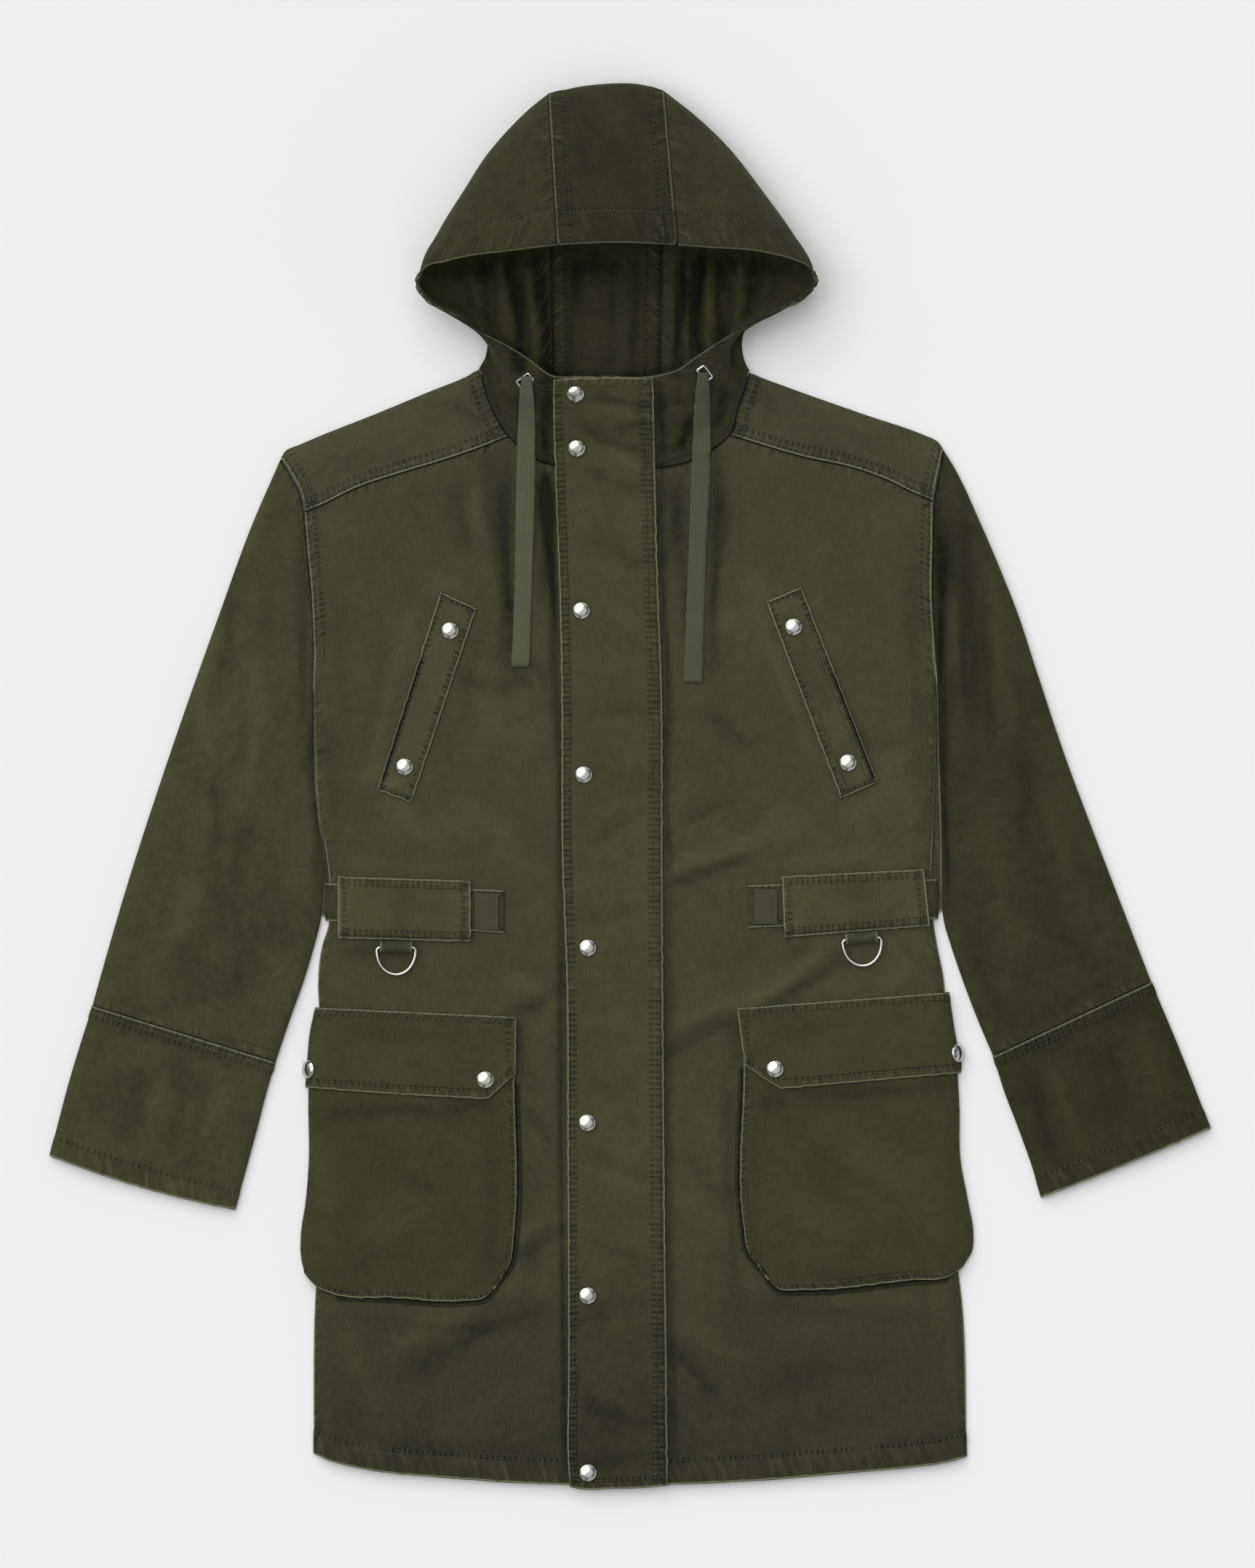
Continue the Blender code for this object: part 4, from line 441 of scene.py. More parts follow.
# How light or dark some places are beside the plain cloth, as shares of its colour. The dark lines are
# painted shade: shadows beside the placket, the tapes and the armholes, under the hood's brow and in
# its folds, and in crease troughs. The pale ones are partly rubbed wear by the welts, tunnels and
# snaps, and partly painted highlight on ridges. Lines like the FOLDS, with a share as the last
PAINTED_SHADE_AND_WEAR = {
    "front_left": (
        (-68, 264, -63, 110, 4.5, -0.70), (-76, 262, -74, 150, 9, -0.30),
        (-61, 100, -58, -60, 3.5, -0.55), (-57, -60, -55, -560, 3, -0.55),
        (-101, 270, -98, 110, 6, -0.42), (-82, 84, -100, 88, 4, -0.22),
        (-206, 22, -190, -4, 14, 0.34), (-190, -18, -176, -22, 7, 0.20),
        (-176, 150, -216, 20, 4.5, 0.20), (-168, 168, -140, 166, 6, 0.16),
        (-170, 120, -186, 70, 14, 0.08), (-120, 140, -140, 60, 7, -0.12),
        (-238, 170, -240, 40, 8, -0.12), (-250, 60, -244, -60, 8, -0.16),
        (-150, 260, -146, 200, 10, -0.10), (-100, -40, -90, -70, 12, 0.10),
        (-240, -62, -140, -66, 5, 0.12), (-236, -136, -180, -138, 6, -0.20),
        (-120, -130, -70, -160, 9, -0.12), (-88, -200, -84, -250, 8, -0.14),
        (-86, -300, -82, -420, 10, -0.10), (-90, -330, -120, -440, 6, -0.16),
        (-240, -440, -110, -446, 7, -0.16), (-250, -470, -252, -540, 5, 0.12),
        (-236, -545, -110, -560, 5, 0.08), (-200, -540, -80, -548, 7, -0.10),
        (-96, -188, -58, -171, 3, -0.22), (-97, -392, -58, -367, 3, -0.14),
        (-188, -482, -74, -432, 3.5, -0.10), (-150, -16, -98, -50, 3, -0.10),
        (-138, 90, -100, 76, 3, -0.16), (-90, -262, -60, -298, 3, -0.16),
    ),
    "front_right": (
        (25, 264, 30, 74, 3.5, -0.66), (30.5, 74, 31, -60, 3.5, -0.42),
        (31, -60, 35, -570, 3.5, -0.40), (44, 262, 46, 110, 7, -0.36), (72, 262, 68, 110, 6, -0.40),
        (96, 172, 112, 160, 9, 0.20), (108, 140, 146, 30, 4.5, 0.18), (152, 130, 204, 10, 5, -0.14),
        (176, -20, 204, -14, 8, 0.18), (212, 30, 214, -6, 11, 0.26), (150, 120, 170, 60, 12, 0.08),
        (232, 190, 238, 40, 7, -0.18), (240, 40, 238, -50, 7, -0.16), (126, -62, 230, -56, 5, 0.12),
        (128, -134, 180, -136, 6, -0.20), (104, -130, 60, -150, 8, -0.12),
        (84, -190, 86, -230, 6, -0.18), (82, -250, 84, -420, 6, -0.22),
        (98, -430, 240, -436, 7, -0.18), (266, -470, 270, -540, 5, 0.12),
        (120, -556, 250, -546, 5, 0.08), (36, -82, 98, -58, 3, -0.18),
        (40, -62, 100, -40, 2.5, 0.12), (90, -200, 168, -146, 3, -0.17),
        (86, -184, 160, -132, 3, 0.12), (30, -222, 86, -190, 3, -0.16), (42, -30, 90, -8, 3, -0.14),
        (48, 120, 98, 142, 3, 0.10), (60, 62, 104, 32, 3, -0.14), (36, -464, 70, -500, 3, -0.12),
    ),
    "placket": (
        (-40, 203, 14, 186, 8, -0.20), (-38, 70, 14, 60, 8, -0.16), (-30, 58, 10, 48, 7, 0.08),
        (-28, -46, 16, -14, 4, -0.18), (-24, -54, 18, -24, 5, 0.08),
        (-38, -234, -6, -252, 8, -0.14), (-34, 321, 16, 315, 3.5, -0.40),
        (-28, 312, 16, 305, 3, 0.16), (-12, 296, 14, 300, 3, -0.40), (-38, 296, 14, 272, 5, -0.36),
        (-34, 286, 10, 262, 4, 0.14), (-40, 262, 4, 246, 5, -0.24), (8, 320, 12, 250, 4, -0.20),
        (-48, 150, 12, 138, 9, 0.06), (-46, 20, 8, 8, 9, -0.08), (-44, -110, 16, -96, 7, -0.12),
        (-44, -122, 16, -110, 6, 0.07), (-42, -190, 20, -204, 7, 0.07),
        (-40, -300, 20, -322, 6, -0.14), (-40, -312, 20, -334, 5, 0.08),
        (-38, -372, 10, -392, 6, -0.14), (-42, -440, 22, -420, 7, -0.14),
        (-40, -452, 22, -434, 6, 0.08), (-40, -510, 20, -526, 7, -0.16),
        (-44, -556, 22, -552, 8, -0.14), (-10, -400, -10, -560, 60, -0.10),
    ),
    "hood_left": (
        (-98, 430, -87, 345, 5, -0.95), (-74, 430, -70, 338, 5, -0.85),
        (-86, 424, -79, 340, 2.5, 0.20), (-156, 428, -66, 431, 8, -0.60),
        (-122, 428, -112, 376, 6, -0.50), (-108, 428, -101, 362, 5, 0.14),
        (-134, 428, -120, 384, 3, 0.16), (-140, 424, -128, 396, 5, -0.20),
        (-104, 368, -92, 344, 5, -0.70), (-114, 352, -108, 318, 6, -0.30),
        (-98, 322, -84, 290, 7, -0.50), (-71, 334, -67, 262, 7, -0.72),
        (-84, 322, -76, 300, 4, 0.12), (-112, 336, -100, 300, 4, 0.12),
        (-128, 540, -84, 452, 12, -0.08), (-100, 540, -76, 500, 9, 0.08),
        (-150, 470, -110, 480, 9, 0.07), (-120, 500, -126, 460, 7, -0.10),
        (-96, 480, -90, 452, 6, 0.06),
    ),
    "hood_right": (
        (41, 430, 40, 345, 4.5, -0.92), (48, 430, 46, 346, 3, 0.14), (56, 430, 51, 352, 5.5, -0.95),
        (40, 431, 136, 428, 8, -0.60), (66, 430, 60, 352, 4, 0.12), (76, 430, 71, 362, 5, -0.85),
        (92, 430, 84, 366, 5, 0.10), (102, 430, 94, 384, 4.5, -0.70),
        (122, 428, 114, 398, 5, -0.20), (47, 304, 43, 278, 6, -0.72), (26, 330, 25, 268, 4, -0.60),
        (34, 313, 48, 309, 3, 0.16), (38, 326, 50, 300, 5, -0.30), (72, 332, 76, 298, 7, -0.50),
        (84, 352, 92, 330, 5, -0.20), (60, 540, 90, 500, 10, 0.07), (96, 500, 110, 460, 8, -0.08),
        (66, 520, 62, 460, 8, -0.07), (120, 480, 100, 456, 7, 0.06),
    ),
    "hood_centre": (
        (-46, 432, -48, 336, 4, -0.42), (-62, 430, 40, 430, 8, -0.60),
        (-30, 432, -32, 336, 6, 0.06), (-14, 432, -16, 336, 4, -0.22), (4, 432, 2, 336, 4, -0.34),
        (16, 432, 14, 336, 5, 0.06), (-40, 560, -34, 500, 8, -0.16), (-20, 560, 6, 520, 7, 0.10),
        (0, 540, -14, 490, 8, -0.12), (18, 530, 16, 480, 6, 0.10), (-30, 500, 0, 478, 6, 0.07),
    ),
    "sleeve_left": (
        (-272, 220, -266, 40, 6, -0.34), (-262, 40, -258, -80, 5, -0.40),
        (-300, 262, -330, 150, 5, 0.10), (-296, 180, -300, 60, 8, -0.10),
        (-320, 150, -336, 40, 12, 0.07), (-350, 60, -380, -60, 10, -0.07),
        (-400, -60, -430, -160, 8, 0.07), (-280, -110, -330, -170, 9, -0.12),
        (-350, -170, -410, -186, 7, -0.12), (-290, 200, -320, 60, 50, 0.06),
        (-330, -60, -370, -160, 60, -0.09),
    ),
    "sleeve_right": (
        (254, 230, 256, 60, 6, -0.75), (266, 220, 276, 60, 6, -0.42), (258, 60, 260, -90, 4, -0.65),
        (272, 200, 284, 90, 5, 0.16), (286, 170, 300, 40, 6, -0.24), (300, 160, 318, 40, 7, 0.12),
        (320, 60, 344, -60, 8, -0.14), (350, 40, 380, -60, 9, 0.09),
        (380, -60, 412, -140, 8, -0.12), (330, -60, 370, -190, 60, -0.07),
        (276, -110, 310, -200, 7, -0.20), (320, -190, 400, -160, 8, -0.16),
        (296, 230, 330, 130, 5, 0.10),
    ),
    "cuff_left": (
        (-430, -196, -330, -226, 5, -0.22), (-410, -236, -420, -290, 6, -0.10),
        (-380, -240, -390, -300, 6, 0.08), (-350, -244, -362, -310, 6, -0.12),
        (-326, -250, -338, -320, 6, 0.08),
    ),
    "cuff_right": (
        (310, -226, 420, -180, 5, -0.24), (330, -240, 350, -310, 6, -0.14),
        (352, -236, 372, -300, 6, 0.10), (380, -220, 400, -290, 6, -0.14),
        (410, -206, 430, -270, 6, 0.10), (436, -190, 456, -250, 6, -0.12),
    ),
    "yoke_left": (
        (-284, 268, -250, 284, 8, 0.16), (-240, 284, -170, 312, 6, 0.10),
        (-236, 262, -190, 276, 8, -0.08), (-150, 322, -128, 300, 6, -0.18),
        (-130, 330, -120, 300, 5, -0.28),
    ),
    "yoke_right": (
        (256, 272, 230, 288, 8, 0.16), (210, 294, 150, 316, 6, 0.10),
        (210, 262, 150, 280, 8, -0.08), (120, 300, 240, 270, 30, -0.10),
        (120, 322, 108, 298, 6, -0.18), (104, 334, 96, 302, 5, -0.28),
    ),
    "tunnel_left": (
        (-234, -76, -236, -124, 10, 0.26), (-140, -82, -142, -122, 9, 0.16),
        (-190, -80, -188, -124, 10, -0.10), (-222, -104, -150, -108, 7, 0.08),
        (-190, -70, -188, -130, 60, 0.12),
    ),
    "tunnel_right": (
        (134, -80, 136, -120, 10, 0.26), (232, -74, 236, -112, 9, 0.14),
        (186, -76, 188, -116, 10, -0.10), (150, -98, 220, -94, 7, 0.08),
    ),
    "chest_welt_left": (
        (-200, 6, -188, 0, 9, 0.26), (-146, 148, -136, 140, 7, 0.12),
        (-170, 90, -178, 60, 8, -0.10), (-156, 120, -164, 96, 7, 0.08),
        (-150, 150, -190, 0, 30, 0.10),
    ),
    "chest_welt_right": (
        (184, 4, 196, 8, 9, 0.20), (124, 150, 134, 154, 8, 0.16), (152, 90, 162, 60, 8, -0.10),
        (166, 60, 174, 36, 7, 0.08),
    ),
    "pocket_left": (
        (-262, -270, -150, -268, 7, -0.30), (-150, -262, -112, -266, 7, -0.30),
        (-116, -280, -112, -400, 8, -0.18), (-250, -290, -252, -400, 8, 0.08),
        (-210, -310, -160, -330, 8, -0.12), (-220, -350, -170, -340, 8, 0.08),
        (-236, -400, -180, -380, 8, -0.10), (-190, -420, -130, -400, 8, 0.07),
        (-150, -330, -130, -380, 7, -0.12),
    ),
    "pocket_right": (
        (130, -256, 268, -244, 7, -0.32), (108, -262, 128, -262, 6, -0.30),
        (100, -280, 104, -400, 7, -0.12), (150, -300, 200, -330, 8, -0.12),
        (180, -290, 240, -320, 8, 0.08), (240, -300, 250, -400, 9, 0.07),
        (130, -350, 190, -370, 8, 0.07), (140, -400, 220, -410, 8, -0.12),
        (220, -350, 240, -400, 7, -0.10),
    ),
    "flap_left": (
        (-112, -246, -98, -232, 6, 0.16), (-240, -200, -140, -204, 8, -0.08),
        (-262, -200, -264, -244, 6, 0.12), (-180, -214, -150, -230, 8, 0.07),
    ),
    "flap_right": (
        (98, -232, 112, -244, 6, 0.20), (120, -198, 220, -190, 8, -0.08),
        (262, -180, 268, -228, 6, 0.12), (150, -224, 190, -212, 8, 0.07),
        (96, -190, 98, -216, 6, 0.14),
    ),
}
LINE_BEND = 0.35  # a line bends aside by this share of its half-width
LINE_UNEVEN = 0.3  # and its width varies by this share
LINE_END = 0.25  # it fades out over this share of its length before and beyond its ends
CLOTH_UNEVEN = 0.3  # height of the whole cloth's slow waves
CREASE_LIGHT_AND_SHADE = 0.16  # painted light and shade: a millimetre's rise of a crease makes the cloth paler by this share, and a trough darker
CREASE_RISE = 1.4  # the creases are this much deeper than their table says
CREASE_DEPTH = 2.9  # at most
HARDWARE_CLEAR = (9.0, 24.0)  # the creases fade out from the second to the first distance

# Hardware; a metal has a name, a colour, two limits of its roughness and the depth of its scratches
SNAP_STEEL = ("snap_steel", (186, 185, 180), 0.08, 0.20, 0.00001)
RING_STEEL = ("ring_steel", (214, 212, 204), 0.14, 0.30, 0.00002)
SNAP_RADIUS = 7.5
SNAP_HEIGHT = 3.2
SNAP_RIM = 0.98  # points further out than this share of the radius lie on the rim
SNAP_PROFILE = (
    (0.0, 1.0), (0.1, 0.998), (0.22, 0.985), (0.35, 0.955), (0.48, 0.905), (0.6, 0.835), (0.7, 0.75),
    (0.79, 0.645), (0.87, 0.52), (0.93, 0.4), (0.97, 0.28), (0.995, 0.17), (1.0, 0.1), (0.99, 0.04),
    (0.97, 0.0), (0.0, 0.0),
)

# Sewing
STITCH_PITCH = 3.3
STITCH_LENGTH = 2.5
STITCH_WIDTH = 0.55
STITCH_HEIGHT = 0.3
STITCH_SIDES = 4
STITCH_PROFILE = ((0.0, 0.3), (0.2, 0.85), (0.5, 1.0), (0.8, 0.85), (1.0, 0.3))  # place and size
STITCH_RISE = 0.12  # the middle of a stitch lies this far above the cloth
STITCH_DIP = 0.22  # and its ends lie this much lower
RIPPLE_REACH = 9.0  # how far from a seam its ripples fade out
RIPPLE_RISE = 0.7
RIPPLE_FADE = 0.6  # they fade over this share of their reach
SEED_RUN = 37  # the marks along the seams begin this much further on for each step of a piece's seed
PUCKER_FADE = 0.35  # puckers that reach further are weaker by this power of their reach
HEM_SLANT = 0.35  # the puckers of a seam lean this much
EDGE_WAVER = 0.45  # how far a free edge wanders in from its line
ROW_SINK = 0.3  # depth of the groove that a row of stitches draws in
LAP_FALL = 1.4  # width of the step at a turned-in edge
ROW_WIDTH = 1.2  # and its half-width
LAP_END = 3.0  # a turned-in edge fades out over this much of its side
PAINTED_SHADOW_END = 8.0  # a painted shadow line fades out over this much of its side
SOFT_EDGE = (1.6, 0.35)  # width of a rounded edge, and its fall as a share of the wall
WAVER_REACH = 7.0  # a free edge draws in the cloth over this distance
UNDERSIDE = 0.2  # the cloth's lowest face, so that its stitches just touch the surface
SIDEWAYS = -0.1  # a face whose normal rises less than this has its wall above it
HEM_ROW = 20.0  # from the coat's hem to its stitches
SHEET_LEAST = 0.0101  # a declared sheet is at least this wide, in metres
SHEET_FILL = 0.35  # a piece that fills less of its box is curved, and its mean lines are measured

# Colours, sRGB 0 to 255
BODY_GREEN = (66, 65, 43)
YOKE_GREEN = (68, 67, 46)
SLEEVE_LEFT_GREEN = (64, 63, 41)
SLEEVE_RIGHT_GREEN = (54, 53, 32)
CUFF_LEFT_GREEN = (63, 62, 40)
CUFF_RIGHT_GREEN = (49, 48, 27)
# The hood's greens are darker than the body's: painted shade where the hood curves away from the light and
# inside its opening, darker still on its top
HOOD_SHADED_GREEN = (54, 53, 32)
HOOD_TOP_SHADED_GREEN = (46, 45, 26)
PLACKET_GREEN = (67, 66, 43)
POCKET_GREEN = (60, 59, 36)
FLAP_GREEN = (62, 61, 38)
TUNNEL_GREEN = (66, 65, 42)
WELT_GREEN = (68, 67, 45)
TRIM_GREEN = (60, 59, 38)
# Darker than the pocket: painted shade in the bellows fold
GUSSET_SHADED_GREEN = (56, 55, 35)
LOOP_GREEN = (62, 62, 43)
HATCH_GREEN = (74, 73, 52)
TAPE_GREENS = {"left": (84, 86, 63), "right": (77, 79, 57)}
# Pale colour of the edges and pucker crests: partly rubbed wear, partly painted highlight
WEAR_AND_HIGHLIGHT_GREEN = (116, 117, 90)
THREAD_GREEN = (84, 84, 62)
EDGE_WEAR_AND_HIGHLIGHT = 0.86  # how far a pale edge goes from its dye to the pale colour: partly rubbed wear, partly painted highlight
HOOD_WEAR_AND_HIGHLIGHT = 0.5
HOOD_PATCHY = 1.9  # how much more the hood's dye varies than the rest
SLEEVE_PATCHY = 1.5
DARKEST = 0.16  # share of its colour that the darkest cloth keeps
HEM_SHADE = (-330.0, -570.0, 0.38)  # painted shade: the cloth darkens between these heights by this share


# Curves and grids


def lengths_along(points):
    """How far each point lies along a run of points."""
    steps = np.linalg.norm(np.diff(np.array(points, float), axis=0), axis=1)
    return np.concatenate([[0.0], np.cumsum(steps)])


def smooth_curve(points):
    """A function from 0..1 to points on a smooth curve through the given ones."""
    knots = np.array(points, float)
    place = lengths_along(knots)
    steps = np.diff(place)
    slopes = np.gradient(knots, place, axis=0)

    def at(shares):
        along = np.clip(np.asarray(shares, float), 0, 1) * place[-1]
        start = np.clip(np.searchsorted(place, along, side="right") - 1, 0, len(steps) - 1)
        length = steps[start][..., None]
        part = (along[..., None] - place[start][..., None]) / length
        rest = 1 - part
        return (
            (1 + 2 * part) * rest**2 * knots[start]
            + part * rest**2 * length * slopes[start]
            + part**2 * (3 - 2 * part) * knots[start + 1]
            - part**2 * rest * length * slopes[start + 1]
        )

    return at


def joined(*runs):
    """A function from 0..1 along several runs of points that meet at corners."""
    curves = [smooth_curve(run) for run in runs]
    sizes = [lengths_along(run)[-1] for run in runs]
    ends = np.concatenate([[0.0], np.cumsum(sizes)]) / sum(sizes)

    def at(shares):
        shares = np.asarray(shares, float)
        points = np.zeros(shares.shape + (2,))
        for curve, low, high in zip(curves, ends, ends[1:]):
            here = (shares >= low - 1e-9) & (shares <= high + 1e-9)
            points[here] = curve((shares[here] - low) / (high - low))
        return points

    return at


def line_between(start, end):
    """A straight line as a function from 0..1."""
    return smooth_curve((start, end))


def spread(count):
    """Even shares from 0 to 1, with a number of steps between them."""
    return np.linspace(0, 1, count + 1)


def patch(top, bottom, left, right, across, down):
    """Grid of plan points between four edges. Rows run from top to bottom, and columns from left to right."""
    u, v = across[None, :, None], down[:, None, None]
    first, last = top(across)[None], bottom(across)[None]
    start, end = left(down)[:, None], right(down)[:, None]
    corners = (1 - v) * ((1 - u) * first[:, :1] + u * first[:, -1:])
    corners = corners + v * ((1 - u) * last[:, :1] + u * last[:, -1:])
    return (1 - v) * first + v * last + (1 - u) * start + u * end - corners


def cut_back(grid, top=0.0, bottom=0.0, left=0.0, right=0.0):
    """The grid with its edges drawn in, to leave a gap beside the next piece."""
    grid = grid.copy()
    for axis, turn, amount in ((0, 1, top), (0, -1, bottom), (1, 1, left), (1, -1, right)):
        if amount == 0:
            continue
        lines = np.moveaxis(grid, axis, 0)[::turn]
        start, way = lines[0].copy(), lines[1] - lines[0]
        way /= np.linalg.norm(way, axis=-1, keepdims=True)
        for line in lines[:CUT_LINES]:
            away = np.linalg.norm(line - start, axis=-1, keepdims=True)
            line += way * amount * np.clip(1 - away / (CUT_FADE * amount), 0, 1)
    return grid


def quarter(shares):
    """Height of a quarter round, from 0 at its edge to 1 at its top."""
    return np.sqrt(1 - (1 - np.clip(shares, 0, 1)) ** 2)


def smooth_step(values):
    """A smooth rise from 0 at 0 to 1 at 1."""
    values = np.clip(values, 0, 1)
    return values * values * (3 - 2 * values)


def with_height(grid, height):
    """A plan grid with its heights as the third column."""
    return np.dstack([grid, height])


# Uneven cloth


def ripple(run, seed):
    """Uneven waves along a seam, from -1 to 1."""
    first = np.sin(run / 1.6 + 1.3 * np.sin(run / 7.3 + seed) + 2.1 * seed)
    second = np.sin(run / 2.5 + 1.7 * np.sin(run / 11.0 + 2 * seed) + seed)
    return (0.55 * first + 0.45 * second) * (0.6 + 0.4 * np.sin(run / 23.0 + 1.7 * seed))


def unevenness(x, y):
    """Slow waves of the whole cloth, from about -1 to 1."""
    first = np.sin(x / 31 + 1.9 * np.sin(y / 57 + 0.4)) * np.sin(y / 41 + 1.4 * np.sin(x / 67))
    second = np.sin(x / 17 + y / 29 + 2.2 * np.sin(y / 83)) * 0.5
    return (first + second) / 1.5


HARDWARE_PLACES = np.array(
    [
        *PLACKET_SNAPS, *CHEST_SNAPS_LEFT, *CHEST_SNAPS_RIGHT, *FLAP_SNAPS, *SIDE_SNAPS,
        *[(x, y - below) for below in (0.0, RING_MIDDLE) for x, y, _ in (RING_LEFT, RING_RIGHT)],
    ]
)


def line_sum(table, x, y):
    """The sum of soft uneven lines at some places."""
    value = 0.0 * (x + y)
    for x1, y1, x2, y2, half_width, rise in table:
        run_x, run_y = x2 - x1, y2 - y1
        length = math.hypot(run_x, run_y)
        share = ((x - x1) * run_x + (y - y1) * run_y) / length**2
        bend = LINE_BEND * half_width * np.sin(share * 5 + x1)
        away = ((x - x1) * run_y - (y - y1) * run_x) / length - bend
        ends = smooth_step((share + LINE_END) / (2 * LINE_END))
        ends = ends * smooth_step((1 + LINE_END - share) / (2 * LINE_END))
        width = half_width * (1 + LINE_UNEVEN * np.sin(share * 7))
        value = value + rise * ends * np.exp(-((away / width) ** 2))
    return value


def crease_lift(x, y):
    """The creases' rise, fading out beside the hardware."""
    lift = CLOTH_UNEVEN * unevenness(x, y) + CREASE_RISE * line_sum(CREASES, x, y)
    lift = np.maximum(lift, -CREASE_DEPTH)
    away = np.full(np.shape(x), FAR)
    for place_x, place_y in HARDWARE_PLACES:
        away = np.minimum(away, np.hypot(x - place_x, y - place_y))
    low, high = HARDWARE_CLEAR
    return lift * smooth_step((away - low) / (high - low))


def fold_shade_and_wear(name, x, y):
    """Painted light and shade on the cloth, as a share of its dye: paler on the creases' ridges and darker in
    their troughs, plus the piece's own tones.
    """
    tone = CREASE_LIGHT_AND_SHADE * line_sum(CREASES, x, y)
    return tone + line_sum(PAINTED_SHADE_AND_WEAR.get(name.removesuffix("_cloth"), ()), x, y)


# Heights of the cloth


def top_height(x, y):
    """The upper layer's outer face, before its sides roll down."""
    height = np.full(np.shape(x), TOP)
    for x1, y1, x2, y2, half_width, rise in FOLDS:
        run_x, run_y = x2 - x1, y2 - y1
        share = ((x - x1) * run_x + (y - y1) * run_y) / (run_x**2 + run_y**2)
        share = np.clip(share, 0, 1)
        away = np.hypot(x - x1 - share * run_x, y - y1 - share * run_y)
        height = height + rise * np.exp(-((away / half_width) ** 2))
    return height + crease_lift(x, y)


def edge_x(points, y):
    """The x of an outline at a given y; the outline runs down."""
    table = np.array(points, float)[::-1]
    return np.interp(y, table[:, 1], table[:, 0])


def side_distance(x, y):
    """How far a point lies inside the body's nearer side."""
    return np.minimum(x - edge_x(SIDE_LEFT, y), edge_x(SIDE_RIGHT, y) - x)


def body_height(x, y, lift=0.0, overhang=0.0):
    """The fronts' outer face, or a piece that lies on it and wraps round the side."""
    flat = top_height(x, y) + lift
    rolled = smooth_step((UNDERARM_Y - y) / UNDERARM_FADE)
    round_off = quarter((side_distance(x, y) + overhang) / (ROLL + overhang))
    edge = np.interp(y, EDGE_DROP, (EDGE, EDGE_OVER))
    low = flat + (edge - flat) * rolled
    return low + (flat - low) * round_off


def shoulder_height(grid):
    """The yoke's outer face: it rolls down towards its top row."""
    away = np.linalg.norm(grid - grid[:1], axis=-1)
    flat = top_height(grid[..., 0], grid[..., 1])
    return EDGE + (flat - EDGE) * quarter(away / ROLL)


def section_shares(table, steps):
    """Where a table's rows lie on its smooth curve, with even steps between them."""
    places = lengths_along(table)
    places /= places[-1]
    count = (len(places) - 1) * steps
    return np.interp(np.arange(count + 1) / steps, np.arange(len(places)), places)


def hood_sections(table, steps):
    """A hood table's sections with more of them between its rows."""
    sections = smooth_curve(table)(section_shares(table, steps))
    sections[:, 8] = np.maximum(sections[:, 8], 0)
    return sections


def neck_run(table, first, last):
    """Points along the neck seam between two of the hood's sections."""
    run = hood_sections(table, HOOD_STEPS)[first * HOOD_STEPS : last * HOOD_STEPS + 1, 6:8]
    return [tuple(point) for point in run]


def hood_grid(table, over, under, along):
    """The hood's outer face: a row for each section, from the rim to the neck seam."""
    sections = hood_sections(table, HOOD_STEPS)
    rim, side, neck = sections[:, None, 0:3], sections[:, None, 3:6], sections[:, None, 6:9]
    bend = sections[:, None, 9:10]
    turn = np.linspace(0, math.pi / 2, over + 1)[None, :, None]
    brow = rim + (side - rim) * np.sin(turn)
    fall = bend * np.cos(turn) + (1 - bend) * (1 - np.sin(turn))
    brow[..., 2:] = side[..., 2:] + (rim[..., 2:] - side[..., 2:]) * fall
    way = (neck - side)[..., :2]
    reach = np.linalg.norm(way, axis=-1, keepdims=True)
    tuck = np.minimum(HOOD_TUCK, reach / 2)
    turn = np.linspace(0, math.pi / 2, under + 1)[None, 1:, None]
    fall = bend * (1 - np.sin(turn)) + (1 - bend) * np.cos(turn)
    low = np.concatenate(
        [
            side[..., :2] + way / reach * tuck * (1 - np.cos(turn)),
            neck[..., 2:] + (side[..., 2:] - neck[..., 2:]) * fall,
        ],
        axis=-1,
    )
    floor = low[:, -1:] + (neck - low[:, -1:]) * spread(along)[None, 1:, None]
    below = np.concatenate([low, floor], axis=1)
    inward = np.array(HOOD_MIDDLE) - (side + neck)[..., :2] / 2
    inward /= np.linalg.norm(inward, axis=-1, keepdims=True)
    share = np.linalg.norm((below - side)[..., :2], axis=-1, keepdims=True) / reach
    below[..., :2] += inward * sections[:, None, 10:] * np.sin(math.pi * np.minimum(share, 1))
    return np.concatenate([brow, below], axis=1)


def finer(grid, steps):
    """The grid with straight steps between its rows and its columns."""
    for axis in (0, 1):
        count = grid.shape[axis]
        places = np.linspace(0, count - 1, (count - 1) * steps + 1)
        low = np.minimum(places.astype(int), count - 2)
        part = (places - low)[:, None, None] if axis == 0 else (places - low)[None, :, None]
        first, second = np.take(grid, low, axis), np.take(grid, low + 1, axis)
        grid = first + (second - first) * part
    return grid


def collar_samples():
    """A lookup of the collar's outer face, which the placket and the drawstrings lie on."""
    first = HOOD_SHOULDER * HOOD_STEPS
    grids = [hood_grid(table, *COLLAR_GRID)[first:] for table in (HOOD_LEFT, HOOD_RIGHT)]
    points = np.concatenate([finer(grid, COLLAR_FINER).reshape(-1, 3) for grid in grids])
    tree = KDTree(len(points))
    for index, point in enumerate(points):
        tree.insert((point[0], point[1], 0), index)
    tree.balance()
    return tree, points


COLLAR_TREE, COLLAR_POINTS = collar_samples()


